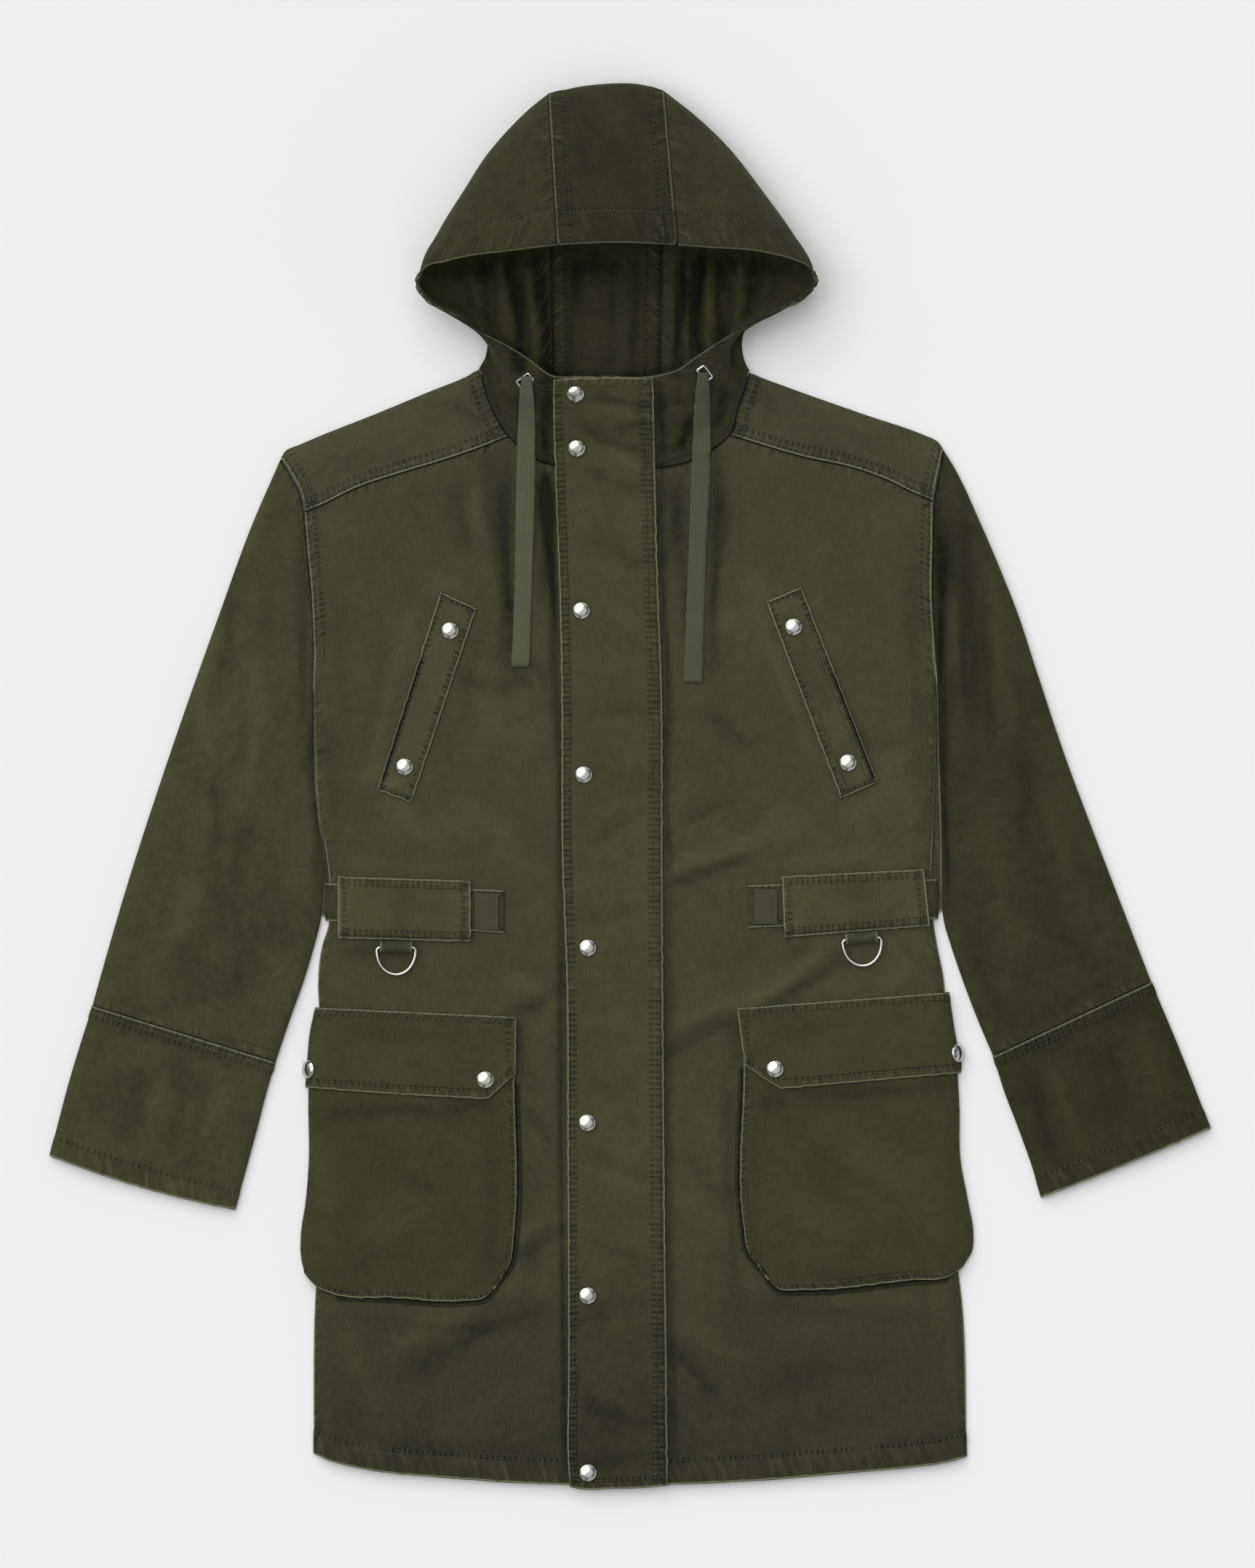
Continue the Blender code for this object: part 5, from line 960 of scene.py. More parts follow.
def coat_height(x, y):
    """What the placket and the drawstrings lie on: the fronts and the collar together."""
    x, y = np.broadcast_arrays(np.asarray(x, float), np.asarray(y, float))
    height = np.array(body_height(x, y))
    for spot in np.ndindex(x.shape):
        _, index, away = COLLAR_TREE.find((x[spot], y[spot], 0))
        if away < COLLAR_REACH:
            height[spot] = max(height[spot], COLLAR_POINTS[index][2] + COLLAR_SLACK)
    return height


def pocket_lift(share_x, share_y):
    """The pocket's outer face over the front, from its edges to its middle."""
    crown = np.sqrt(np.clip(4 * share_x * (1 - share_x), 0, 1)) * smooth_step(share_y * 4)
    return POCKET_LIFT + POCKET_PUFF * crown * smooth_step((1 - share_y) * 4)


def four_cornered(corners, across, down):
    """Grid of plan points between the straight sides of a four-cornered piece."""
    top_left, top_right, bottom_left, bottom_right = corners
    top, bottom = line_between(top_left, top_right), line_between(bottom_left, bottom_right)
    left, right = line_between(top_left, bottom_left), line_between(top_right, bottom_right)
    return patch(top, bottom, left, right, across, down)


def on_coat(grid, lift=0.0, overhang=0.0):
    """A plan grid on the fronts, lifted off them where it is given a lift."""
    return with_height(grid, body_height(grid[..., 0], grid[..., 1], lift, overhang))


def side_overhang(grid, side):
    """How far each row of a plan grid reaches over the body's side."""
    outer = grid[:, :1] if side == "left" else grid[:, -1:]
    return -side_distance(outer[..., 0], outer[..., 1])


def wrapped(grid, lift, side):
    """A plan grid on the fronts that wraps round the body's side at its own outer edge."""
    return on_coat(grid, lift, np.maximum(0.0, side_overhang(grid, side)))


def surface_seat(carrier, x, y, reach):
    """A place just clear of an object's top for a round piece of a given reach, and its turn."""
    data = CAD[carrier].data
    corners = [tuple(vertex.co) for vertex in data.vertices]
    tree = BVHTree.FromPolygons(corners, [tuple(face.vertices) for face in data.polygons])

    def hit(across, along):
        start = Vector((x + across, y + along, ABOVE_ALL)) * MM
        return tree.ray_cast(start, Vector((0, 0, -1)))[0] / MM

    middle = hit(0, 0)
    inner = reach * SEAT_INNER
    slope_x = (hit(inner, 0).z - hit(-inner, 0).z) / (2 * inner)
    slope_y = (hit(0, inner).z - hit(0, -inner).z) / (2 * inner)
    normal = Vector((-slope_x, -slope_y, 1)).normalized()
    rise = 0.0
    for step in range(SEAT_STEPS):
        angle = 2 * math.pi * step / SEAT_STEPS
        beside = hit(reach * math.cos(angle), reach * math.sin(angle))
        rise = max(rise, (beside - middle).dot(normal))
    return middle + normal * rise, normal, Vector((0, 0, 1)).rotation_difference(normal)


def rounded_loop(corners, radius, steps):
    """A closed run of points round a polygon with its corners rounded."""
    points = []
    count = len(corners)
    for index in range(count):
        corner = Vector(corners[index])
        before = (Vector(corners[index - 1]) - corner).normalized()
        after = (Vector(corners[(index + 1) % count]) - corner).normalized()
        half = before.angle(after) / 2
        reach = radius / math.tan(half)
        centre = corner + (before + after).normalized() * (radius / math.sin(half))
        start = corner + before * reach - centre
        end = corner + after * reach - centre
        for step in range(steps + 1):
            points.append(tuple(centre + start.slerp(end, step / steps)))
    return points


def d_ring_path():
    """The D's centre line: the straight bar along X through the origin, the bow towards -Y."""
    straight = RING_HALF - RING_CORNER
    corner = []
    for turn in np.radians(RING_TURNS):
        x = RING_HALF - RING_CORNER * (1 - math.sin(turn))
        corner.append((x, -RING_CORNER * (1 - math.cos(turn))))
    bow = []
    for step in range(RING_STEPS + 1):
        turn = math.pi * step / RING_STEPS
        y = -RING_CORNER - (RING_DEPTH - RING_CORNER) * math.sin(turn)
        bow.append((-RING_HALF * math.cos(turn), y))
    return [(straight, 0.0), (-straight, 0.0), *[(-x, y) for x, y in corner], *bow, *corner[::-1]]


# Cloth


def seam_spread(width, start=True, end=True, roll_start=False, roll_end=False, step=STEP):
    """Shares of a width with close ones beside its sewn ends and in its rolled ends."""
    sewn = np.array(SEAM_STEPS)
    sewn = sewn[sewn < SEAM_SHARE * width]
    rolled = ROLL * (1 - np.cos(np.radians(np.arange(0, 91, ROLL_STEP))))
    plain = np.array([0.0])
    first = rolled if roll_start else sewn if start else plain
    last = rolled if roll_end else sewn if end else plain
    count = max(2, round((width - first[-1] - last[-1]) / step))
    middle = np.linspace(first[-1], width - last[-1], count + 1)[1:-1]
    return np.concatenate([first, middle, width - last[::-1]]) / width


def rolls(side):
    """Which end of a piece's rows rolls over the body's side."""
    return {"roll_start": side == "left", "roll_end": side == "right"}


def distances(grid):
    """How far each point lies along its row and along its column."""
    across = np.zeros(grid.shape[:2])
    down = np.zeros(grid.shape[:2])
    across[:, 1:] = np.cumsum(np.linalg.norm(np.diff(grid, axis=1), axis=-1), axis=1)
    down[1:] = np.cumsum(np.linalg.norm(np.diff(grid, axis=0), axis=-1), axis=0)
    return across, down


def side_distances(grid):
    """For each side of a grid: the distance from it and the place along it."""
    across, down = distances(grid)
    return {
        "left": (across, down),
        "right": (across[:, -1:] - across, down),
        "top": (down, across),
        "bottom": (down[-1:] - down, across),
    }


def on_sides(letters, *values):
    """The same values for some sides of a piece."""
    return [(SIDES[letter], *values) for letter in letters]


def nearest(grid, sides):
    """Distance to the nearest of some sides, and the place along it."""
    measures = side_distances(grid)
    distance = np.full(grid.shape[:2], FAR)
    run = np.zeros(grid.shape[:2])
    for side in sides:
        away, along = measures[side]
        run = np.where(away < distance, along, run)
        distance = np.minimum(distance, away)
    return distance, run


def normals_of(grid, ring, flip):
    """Outward directions of the outer face at the grid's points."""
    if ring:
        around = np.roll(grid, -1, axis=1) - np.roll(grid, 1, axis=1)
    else:
        around = np.gradient(grid, axis=1)
    normal = np.cross(np.gradient(grid, axis=0), around)
    normal /= np.maximum(np.linalg.norm(normal, axis=-1, keepdims=True), 1e-9)
    return -normal if flip else normal


def new_object(name, data):
    """An object with its data, in the scene."""
    obj = bpy.data.objects.new(name, data)
    bpy.context.scene.collection.objects.link(obj)
    return obj


def mesh_object(name, points, faces):
    """A smooth mesh object from points in millimetres and a list or array of faces."""
    data = bpy.data.meshes.new(name)
    data.from_pydata([tuple(p) for p in np.asarray(points) * MM], [], [tuple(f) for f in faces])
    data.shade_smooth()
    return new_object(name, data)


def grid_faces(rows, columns, ring=False, flip=False):
    """Quads between a grid's points; a ring's last column joins its first one."""
    last = columns if ring else columns - 1
    row, column = np.meshgrid(np.arange(rows - 1), np.arange(last), indexing="ij")
    beside = (column + 1) % columns
    corners = [row * columns + column, (row + 1) * columns + column]
    corners += [(row + 1) * columns + beside, row * columns + beside]
    faces = np.stack([c.ravel() for c in corners], axis=1)
    return faces[:, ::-1] if flip else faces


def store(obj, name, values):
    """Keeps a value for each point of a mesh, for its material."""
    layer = obj.data.attributes.new(name, "FLOAT", "POINT")
    layer.data.foreach_set("value", np.asarray(values, np.float32).ravel())


def store_weave(obj, grid):
    """UV in metres along the piece's own grain."""
    across, down = distances(grid)
    across = across - across[:, -1:] / 2
    place = np.stack([across, down], axis=-1).reshape(-1, 2) * MM
    layer = obj.data.uv_layers.new(name="weave")
    loops = np.zeros(len(obj.data.loops), np.int32)
    obj.data.loops.foreach_get("vertex_index", loops)
    layer.data.foreach_set("uv", place[loops].astype(np.float32).ravel())


def sheet_size(grid, ring=False):
    """Flat width, length and area of a grid of cloth, in metres; a curved piece's are its middle ones."""
    closed = np.concatenate([grid, grid[:, :1]], axis=1) if ring else grid
    across, down = distances(closed)
    one, two = closed[1:, 1:] - closed[:-1, :-1], closed[1:, :-1] - closed[:-1, 1:]
    area = np.linalg.norm(np.cross(one, two), axis=-1).sum() / 2 * MM * MM
    width, length = across[:, -1].max() * MM, down[-1].max() * MM
    if area < SHEET_FILL * width * length:
        width, length = across[:, -1].mean() * MM, down[-1].mean() * MM
    width = max(width, SHEET_LEAST)
    return width, length, min(area, width * length)


STITCHES = {"points": [], "faces": []}  # of all the pieces together


def stitch(line, normal):
    """Stitches along a line of points, each a small raised grain of thread."""
    place = lengths_along(line)
    starts = np.arange(1.0, place[-1] - STITCH_LENGTH, STITCH_PITCH)
    if len(starts) == 0:
        return

    def at(values, table):
        return np.stack([np.interp(values, place, table[:, axis]) for axis in range(3)], axis=-1)

    first, last = at(starts, line), at(starts + STITCH_LENGTH, line)
    up = at(starts + STITCH_LENGTH / 2, normal)
    up /= np.linalg.norm(up, axis=1, keepdims=True)
    way = last - first
    side = np.cross(way, up)
    side /= np.maximum(np.linalg.norm(side, axis=1, keepdims=True), 1e-9)
    rings = []
    for share, size in STITCH_PROFILE:
        centre = first + way * share + up * (STITCH_RISE - STITCH_DIP * (2 * share - 1) ** 2)
        for corner in range(STITCH_SIDES):
            angle = 2 * math.pi * corner / STITCH_SIDES
            aside = side * (math.cos(angle) * STITCH_WIDTH / 2)
            above = up * (math.sin(angle) * STITCH_HEIGHT / 2)
            rings.append(centre + (aside + above) * size)
    points = np.stack(rings, axis=1)
    points[..., 2] = np.maximum(points[..., 2], 0)
    base = sum(len(p) for p in STITCHES["points"])
    pattern = grid_faces(len(STITCH_PROFILE), STITCH_SIDES, ring=True, flip=True)
    offsets = base + np.arange(len(starts)) * len(rings)
    STITCHES["points"].append(points.reshape(-1, 3))
    STITCHES["faces"].append((pattern[None] + offsets[:, None, None]).reshape(-1, 4))


def stitch_row(grid, normal, side, offset, limits):
    """A row of stitches at a distance from one side of a grid, between two places along it."""
    away, along = side_distances(grid)[side]
    if side in ("top", "bottom"):
        grid, normal, away, along = (np.swapaxes(v, 0, 1) for v in (grid, normal, away, along))
    if side in ("right", "bottom"):
        grid, normal, away = grid[:, ::-1], normal[:, ::-1], away[:, ::-1]
        along = along[:, ::-1]
    line, up = [], []
    for row in range(len(grid)):
        spot = np.interp(offset, away[row], np.arange(len(away[row])))
        low = min(int(spot), len(away[row]) - 2)
        part = spot - low
        if limits[0] <= along[row, low] <= limits[1]:
            line.append(grid[row, low] * (1 - part) + grid[row, low + 1] * part)
            up.append(normal[row, low] * (1 - part) + normal[row, low + 1] * part)
    if len(line) > 1:
        stitch(np.array(line), np.array(up))


def pucker_seams(lift, measures, sewn, seed):
    """Raises the puckers beside sewn sides. Returns their strength and the place along the seam."""
    strength = np.zeros(lift.shape)
    run = np.zeros(lift.shape)
    for number, (side, height, *reach) in enumerate(sewn):
        reach = reach[0] if reach else RIPPLE_REACH
        away, along = measures[side]
        near = smooth_step((reach - away) / (RIPPLE_FADE * reach)) * smooth_step(away / 1.5 + 0.3)
        leaning = along + HEM_SLANT * away
        lift += RIPPLE_RISE * height * ripple(leaning, seed + 3 * number) * near
        run = np.where(near > strength, leaning, run)
        strength = np.maximum(strength, near * min(1.0, RIPPLE_REACH / reach) ** PUCKER_FADE)
    return strength, run


def raise_laps(lift, measures, laps):
    """Raises the turned-in edges, in place."""
    for side, width, rise, *limits in laps:
        low, high = limits or ALL_ALONG
        away, along = measures[side]
        inside = smooth_step((along - low) / LAP_END + 1) * smooth_step((high - along) / LAP_END + 1)
        lift += rise * (1 - smooth_step((away - width) / LAP_FALL)) * inside


def sink_rows(lift, measures, rows):
    """Sinks the cloth under its rows of stitches. Returns the distance from a row and the place along it."""
    distance = np.full(lift.shape, FAR)
    run = np.zeros(lift.shape)
    for side, offset, *limits in rows:
        low, high = limits or ALL_ALONG
        away, along = measures[side]
        beside = np.where((along >= low) & (along <= high), np.abs(away - offset), FAR)
        lift -= ROW_SINK * np.exp(-((beside / ROW_WIDTH) ** 2))
        run = np.where(beside < distance, along, run)
        distance = np.minimum(distance, beside)
    return distance, run


def draw_in(grid, measures, sides, seed):
    """Draws in a piece's free sides unevenly."""
    for side in sides:
        away, along = measures[SIDES[side]]
        inward = np.gradient(grid, axis=1 if side in "lr" else 0) * (1 if side in "lt" else -1)
        inward /= np.maximum(np.linalg.norm(inward, axis=-1, keepdims=True), 1e-9)
        wander = EDGE_WAVER * (1 + ripple(along * 0.8, seed + ord(side)))
        grid += inward * (wander * np.exp(-((away / WAVER_REACH) ** 2)))[..., None]


def dark_lines(shape, measures, painted_shadows):
    """How dark each point is, from the painted shadow lines beside the edges."""
    dark = np.zeros(shape)
    for side, offset, half_width, darkness, *limits in painted_shadows:
        low, high = limits or ALL_ALONG
        away, along = measures[side]
        inside = smooth_step((along - low) / PAINTED_SHADOW_END) * smooth_step((high - along) / PAINTED_SHADOW_END)
        dark = np.maximum(dark, darkness * inside * np.exp(-(((away - offset) / half_width) ** 2)))
    return dark


def cloth(
    name, grid, colour, wall=CLOTH, ring=False, flip=False, edge_wear_and_light="", sewn=(), rows=(), laps=(),
    soft="", waver="", painted_shadows=(), material=None, declare=True,
    edge_wear_and_light_above=0.0,
):
    """A thin shell whose outer face is a grid of points, in place of the node that it is named after.

    edge_wear_and_light: its sides with a pale edge, partly rubbed wear and partly painted highlight,
    with a painted shadow at its very edge. sewn: (side, height of the puckers[, how far they reach]).
    rows: (side, distance) of each row of stitches. laps: (side, width, rise) of each turned-in
    edge. painted_shadows: (side, distance, half-width, darkness) of each painted shadow line beside an
    edge. Rows, laps and painted shadow lines may have limits along their side. soft: its sides whose
    edge is rounded. waver: its free sides, which aren't quite straight. edge_wear_and_light_above: its
    edges are pale only above this height.
    """
    grid = grid.copy()
    normal = normals_of(grid, ring, flip)
    seed = sum(ord(letter) for letter in name) % 17
    measures = side_distances(grid)
    lift = np.zeros(grid.shape[:2])
    pucker, run = pucker_seams(lift, measures, sewn, seed)
    raise_laps(lift, measures, laps)
    row_distance, row_run = sink_rows(lift, measures, rows)
    draw_in(grid, measures, waver, seed)
    width, fall = SOFT_EDGE
    for side in soft:
        lift -= fall * wall * (1 - quarter(measures[SIDES[side]][0] / width))
    size = sheet_size(grid, ring)
    grid += normal * lift[..., None]
    lowest = np.where(normal[..., 2] > SIDEWAYS, UNDERSIDE + wall, UNDERSIDE)
    grid[..., 2] = np.maximum(grid[..., 2], lowest)
    obj = mesh_object(name, grid.reshape(-1, 3), grid_faces(*grid.shape[:2], ring, flip))
    from_edge_wear_and_light = nearest(grid, [SIDES[side] for side in edge_wear_and_light])[0]
    marks = {
        # pale edges: partly rubbed wear and partly painted highlight, with a painted shadow at the very edge
        "edge_wear_and_light": np.where(grid[..., 2] < edge_wear_and_light_above, FAR, from_edge_wear_and_light),
        "sewn": nearest(grid, [side for side, *_ in sewn])[0],
        "pucker": pucker,
        "run": run + SEED_RUN * seed,
        "row": row_distance,
        "row_run": row_run + SEED_RUN * seed,
        # painted light and shade of the creases, and the tone table's painted shade, highlights and rubbed
        # patches
        "fold": fold_shade_and_wear(name, grid[..., 0], grid[..., 1]),
        # painted shadow lines beside the edges
        "painted_shadow": dark_lines(lift.shape, measures, painted_shadows),
    }
    for mark, values in marks.items():
        store(obj, mark, values)
    store_weave(obj, grid)
    solidify = obj.modifiers.new("wall", "SOLIDIFY")
    solidify.thickness = wall * MM
    solidify.offset = -1
    obj.data.materials.append(material or twill(colour))
    normal = normals_of(grid, ring, flip)
    for side, offset, *limits in rows:
        stitch_row(grid, normal, side, offset, limits or ALL_ALONG)
    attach(obj, COAT)
    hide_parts(name.removesuffix("_cloth").removesuffix("_tape"))
    if declare:
        width, length, area = size
    return obj


# Materials


def linear(colour):
    """An sRGB colour as linear shares of red, green and blue."""
    shares = [c / 255 for c in colour]
    return [c / 12.92 if c <= 0.04045 else ((c + 0.055) / 1.055) ** 2.4 for c in shares]


def add(tree, kind, inputs=None, **settings):
    """A shader node with its settings; its inputs are set, or linked where a socket is given."""
    made = tree.nodes.new(kind)
    for key, value in settings.items():
        setattr(made, key, value)
    for slot, value in (inputs or {}).items():
        if isinstance(value, bpy.types.NodeSocket):
            tree.links.new(value, made.inputs[slot])
        else:
            made.inputs[slot].default_value = value
    return made


def calc(tree, operation, first, second=0.0):
    """The socket of a sum on one or two values or sockets."""
    return add(tree, "ShaderNodeMath", {0: first, 1: second}, operation=operation).outputs[0]


def product(tree, first, *factors):
    """The product of its terms."""
    for factor in factors:
        first = calc(tree, "MULTIPLY", first, factor)
    return first


def inverse(tree, share):
    """What a share leaves of 1."""
    return calc(tree, "SUBTRACT", 1.0, share)


def wave(tree, value, turn):
    """A sine wave that advances by a turn, in radians, for each unit of a value."""
    return calc(tree, "SINE", calc(tree, "MULTIPLY", value, turn))


def band(tree, value, low, high):
    """A smooth step from 0 at low to 1 at high; high may be the lower one."""
    inputs = {"Value": value, "From Min": min(low, high), "From Max": max(low, high)}
    inputs["To Min"], inputs["To Max"] = (0.0, 1.0) if low < high else (1.0, 0.0)
    made = add(tree, "ShaderNodeMapRange", inputs, interpolation_type="SMOOTHSTEP")
    return made.outputs["Result"]


def noise(tree, vector, scale, stretch=(1, 1, 1), detail=2.0):
    """Soft noise from 0 to 1 at a place that is stretched first."""
    moved = add(tree, "ShaderNodeMapping", {"Vector": vector, "Scale": stretch}).outputs[0]
    inputs = {"Vector": moved, "Scale": scale, "Detail": detail}
    return add(tree, "ShaderNodeTexNoise", inputs).outputs[0]


def object_place(tree):
    """The place in the object, in metres."""
    return add(tree, "ShaderNodeTexCoord").outputs["Object"]


def weave_axes(tree):
    """The place in a piece's own weave in metres, and its parts across and along the piece."""
    grain = add(tree, "ShaderNodeUVMap", uv_map="weave").outputs[0]
    split = add(tree, "ShaderNodeSeparateXYZ", {0: grain})
    return grain, split.outputs[0], split.outputs[1]


def vector_of(tree, *parts):
    """A vector of up to three values or sockets."""
    return add(tree, "ShaderNodeCombineXYZ", dict(enumerate(parts))).outputs[0]


def scaled(tree, colour, value):
    """A colour multiplied by a value."""
    inputs = {0: colour, "Scale": value}
    return add(tree, "ShaderNodeVectorMath", inputs, operation="SCALE").outputs[0]


def total(tree, value, *terms):
    """A value, plus weight * (socket - middle) for each term."""
    for weight, socket, middle in terms:
        part = calc(tree, "MULTIPLY", calc(tree, "SUBTRACT", socket, middle), weight)
        value = calc(tree, "ADD", value, part)
    return value


def new_material(name):
    """An empty material and its node tree."""
    material = bpy.data.materials.new(name)
    material.use_nodes = True
    tree = material.node_tree
    tree.nodes.clear()
    return material, tree


def finish(tree, colour, height, roughness, **fixed):
    """The Principled shader, with a bump from a height in metres."""
    bump = add(tree, "ShaderNodeBump", {"Strength": 1.0, "Distance": 1.0, "Height": height})
    inputs = {"Base Color": colour, "Roughness": roughness, "Normal": bump.outputs[0]}
    inputs.update({key.replace("_", " "): value for key, value in fixed.items()})
    shader = add(tree, "ShaderNodeBsdfPrincipled", inputs)
    add(tree, "ShaderNodeOutputMaterial", {"Surface": shader.outputs[0]})


MATERIALS = {}


def twill(colour, wear_and_highlight=EDGE_WEAR_AND_HIGHLIGHT, patchy=1.0):
    """Garment-dyed twill: mottled dye, a fine diagonal weave, puckered sewing, pale edges that are partly
    rubbed wear and partly painted highlight, and painted shade in its creases, seams and towards the hem.
    """
    key = ("twill", colour, wear_and_highlight, patchy)
    if key in MATERIALS:
        return MATERIALS[key]
    material, tree = new_material("twill_%d_%d_%d" % colour)
    MATERIALS[key] = material
    place = object_place(tree)
    grain, across, down = weave_axes(tree)
    edge_wear_and_light, sewn, pucker, run, row, row_run, fold, painted_shadow = (
        add(tree, "ShaderNodeAttribute", attribute_name=name).outputs["Fac"]
        for name in ("edge_wear_and_light", "sewn", "pucker", "run", "row", "row_run", "fold", "painted_shadow")
    )

    # The dye and the weave, with painted shade: darker fine wrinkle lines, and darker towards the hem
    dye = noise(tree, place, 7.0, detail=4.0)
    blotch = noise(tree, place, 36.0, detail=3.0)
    mottle = noise(tree, place, 150.0, detail=4.0)
    slub = noise(tree, grain, 900.0, (1.0, 0.12, 1.0), 1.0)
    lines = wave(tree, calc(tree, "ADD", across, product(tree, down, 0.6)), 6800.0)
    # Fine wrinkle lines, painted darker as shade in them
    rumple = calc(tree, "ABSOLUTE", calc(tree, "SUBTRACT", noise(tree, place, 22.0, detail=3.0), 0.5))
    wrinkle = product(tree, band(tree, rumple, 0.075, 0.0), band(tree, dye, 0.44, 0.60))
    # Painted shade that darkens the cloth towards the hem
    start, end, hem_share = HEM_SHADE
    height_on_coat = add(tree, "ShaderNodeSeparateXYZ", {0: place}).outputs[1]
    lower = band(tree, height_on_coat, start * MM, end * MM)

    # Puckers beside the seams, painted paler on their ridges and darker between them as light and shade, and
    # a painted shadow beside the sewn edges
    beside = vector_of(tree, run, sewn)
    marks = noise(tree, beside, 1.0, (0.20, 0.03, 1.0), 1.5)
    ridge = band(tree, marks, 0.36, 0.62)
    fade = band(tree, noise(tree, beside, 1.0, (0.025, 0.0, 1.0), 1.0), 0.22, 0.5)
    pull = product(tree, pucker, fade, calc(tree, "SUBTRACT", ridge, 0.5))
    shadow = band(tree, sewn, 1.5, 0.3)

    # Grooves and uneven ticks of the stitches, painted darker as shade in these dips
    groove = band(tree, row, 1.3, 0.2)
    along_row = vector_of(tree, row_run)
    jitter = noise(tree, along_row, 1.0, (0.07, 1.0, 1.0), 2.0)
    phase = calc(tree, "ADD", product(tree, row_run, 1.30), product(tree, jitter, 6.0))
    ticks = band(tree, calc(tree, "SINE", phase), -0.1, 0.7)
    strength = band(tree, noise(tree, along_row, 1.0, (0.03, 1.0, 1.0), 1.0), 0.2, 0.55)
    tick = product(tree, band(tree, row, 2.6, 0.9), ticks, strength)

    # The value: the dye's random tone, with painted light and shade from the hem, wrinkles, creases, puckers,
    # stitch grooves, ticks and sewn edges, and the tone table's painted shade and rubbed patches
    value = total(
        tree, 1.0, (-hem_share, lower, 0.0), (0.36, dye, 0.5), (0.34 * patchy, blotch, 0.5),
        (0.40 * patchy, mottle, 0.5), (0.44, slub, 0.5), (0.05, lines, 0.0), (-0.08, wrinkle, 0.0),
        (1.0, fold, 0.0), (0.28, pull, 0.0), (-0.12, groove, 0.0), (-0.44, tick, 0.0),
        (-0.34, shadow, 0.0),
    )
    base = scaled(tree, linear(colour), calc(tree, "MAXIMUM", value, DARKEST))

    # Pale edges and pucker crests, partly rubbed wear and partly painted highlight, and a painted shadow
    # under the edges
    under = band(tree, edge_wear_and_light, 0.3, 0.05)
    rub = noise(tree, beside, 1.0, (0.12, 0.3, 1.0), 3.0)
    edge = product(tree, band(tree, edge_wear_and_light, 1.9, 1.1), band(tree, rub, 0.14, 0.42), inverse(tree, under))
    crest = product(tree, pucker, band(tree, marks, 0.57, 0.74))
    wear = calc(tree, "ADD", product(tree, edge, wear_and_highlight), product(tree, crest, 0.10))
    inputs = {"Factor": calc(tree, "MINIMUM", wear, 1.0), 6: base, 7: (*linear(WEAR_AND_HIGHLIGHT_GREEN), 1)}
    shade = add(tree, "ShaderNodeMix", inputs, data_type="RGBA").outputs[2]
    # Painted shadow under the edges and along the painted shadow lines
    keep = product(tree, inverse(tree, product(tree, under, 0.45)), inverse(tree, painted_shadow))

    height = total(
        tree, 0.0, (0.00003, lines, 0.0), (0.0011, pull, 0.0), (-0.00022, groove, 0.0),
        (-0.0005, tick, 0.0), (0.0009, noise(tree, place, 70.0, detail=2.0), 0.5),
        (-0.0003, wrinkle, 0.0), (0.00025, mottle, 0.5), (0.00006, slub, 0.5),
    )
    finish(
        tree, scaled(tree, shade, keep), height, total(tree, 0.84, (0.12, blotch, 0.5)),
        Specular_IOR_Level=0.14, Sheen_Weight=0.05, Sheen_Roughness=0.5,
        Sheen_Tint=(0.75, 0.76, 0.62, 1),
    )
    return material


def hook_and_loop(colour):
    """The tabs' cross-hatched fastening."""
    material, tree = new_material("hook_and_loop")
    grain, across, down = weave_axes(tree)
    one, two = (wave(tree, calc(tree, way, across, down), 3400.0) for way in ("ADD", "SUBTRACT"))
    hatch = product(tree, one, two)
    fuzz = noise(tree, grain, 1500.0, detail=2.0)
    base = scaled(tree, linear(colour), total(tree, 1.0, (0.24, hatch, 0.0), (0.9, fuzz, 0.5)))
    height = total(tree, 0.0, (0.00025, hatch, 0.0), (0.0002, fuzz, 0.5))
    finish(tree, base, height, 0.85, Specular_IOR_Level=0.25)
    return material


def woven_tape(colour):
    """The drawstrings' flat herringbone tape."""
    material, tree = new_material("woven_tape_%d_%d_%d" % colour)
    grain, across, down = weave_axes(tree)
    lines = wave(tree, calc(tree, "ADD", down, calc(tree, "PINGPONG", across, 0.002)), 4600.0)
    wale = wave(tree, across, 3141.6)
    dye = noise(tree, grain, 60.0, detail=3.0)
    slub = noise(tree, grain, 900.0, (0.4, 1.0, 1.0), 1.0)
    value = total(tree, 1.0, (0.10, lines, 0.0), (0.07, wale, 0.0), (0.25, dye, 0.5), (0.3, slub, 0.5))
    height = total(tree, 0.0, (0.00008, lines, 0.0), (0.00006, wale, 0.0), (0.0002, dye, 0.5))
    base = scaled(tree, linear(colour), value)
    finish(tree, base, height, 0.84, Specular_IOR_Level=0.22, Sheen_Weight=0.1)
    return material


def thread():
    """The sewing thread, a little uneven in its dye."""
    material, tree = new_material("thread")
    place = object_place(tree)
    tone = noise(tree, place, 60.0, detail=2.0)
    ply = noise(tree, place, 2600.0, detail=1.0)
    base = scaled(tree, linear(THREAD_GREEN), total(tree, 1.0, (0.5, tone, 0.5), (0.4, ply, 0.5)))
    finish(tree, base, total(tree, 0.0, (0.00005, ply, 0.5)), 0.75, Specular_IOR_Level=0.3)
    return material


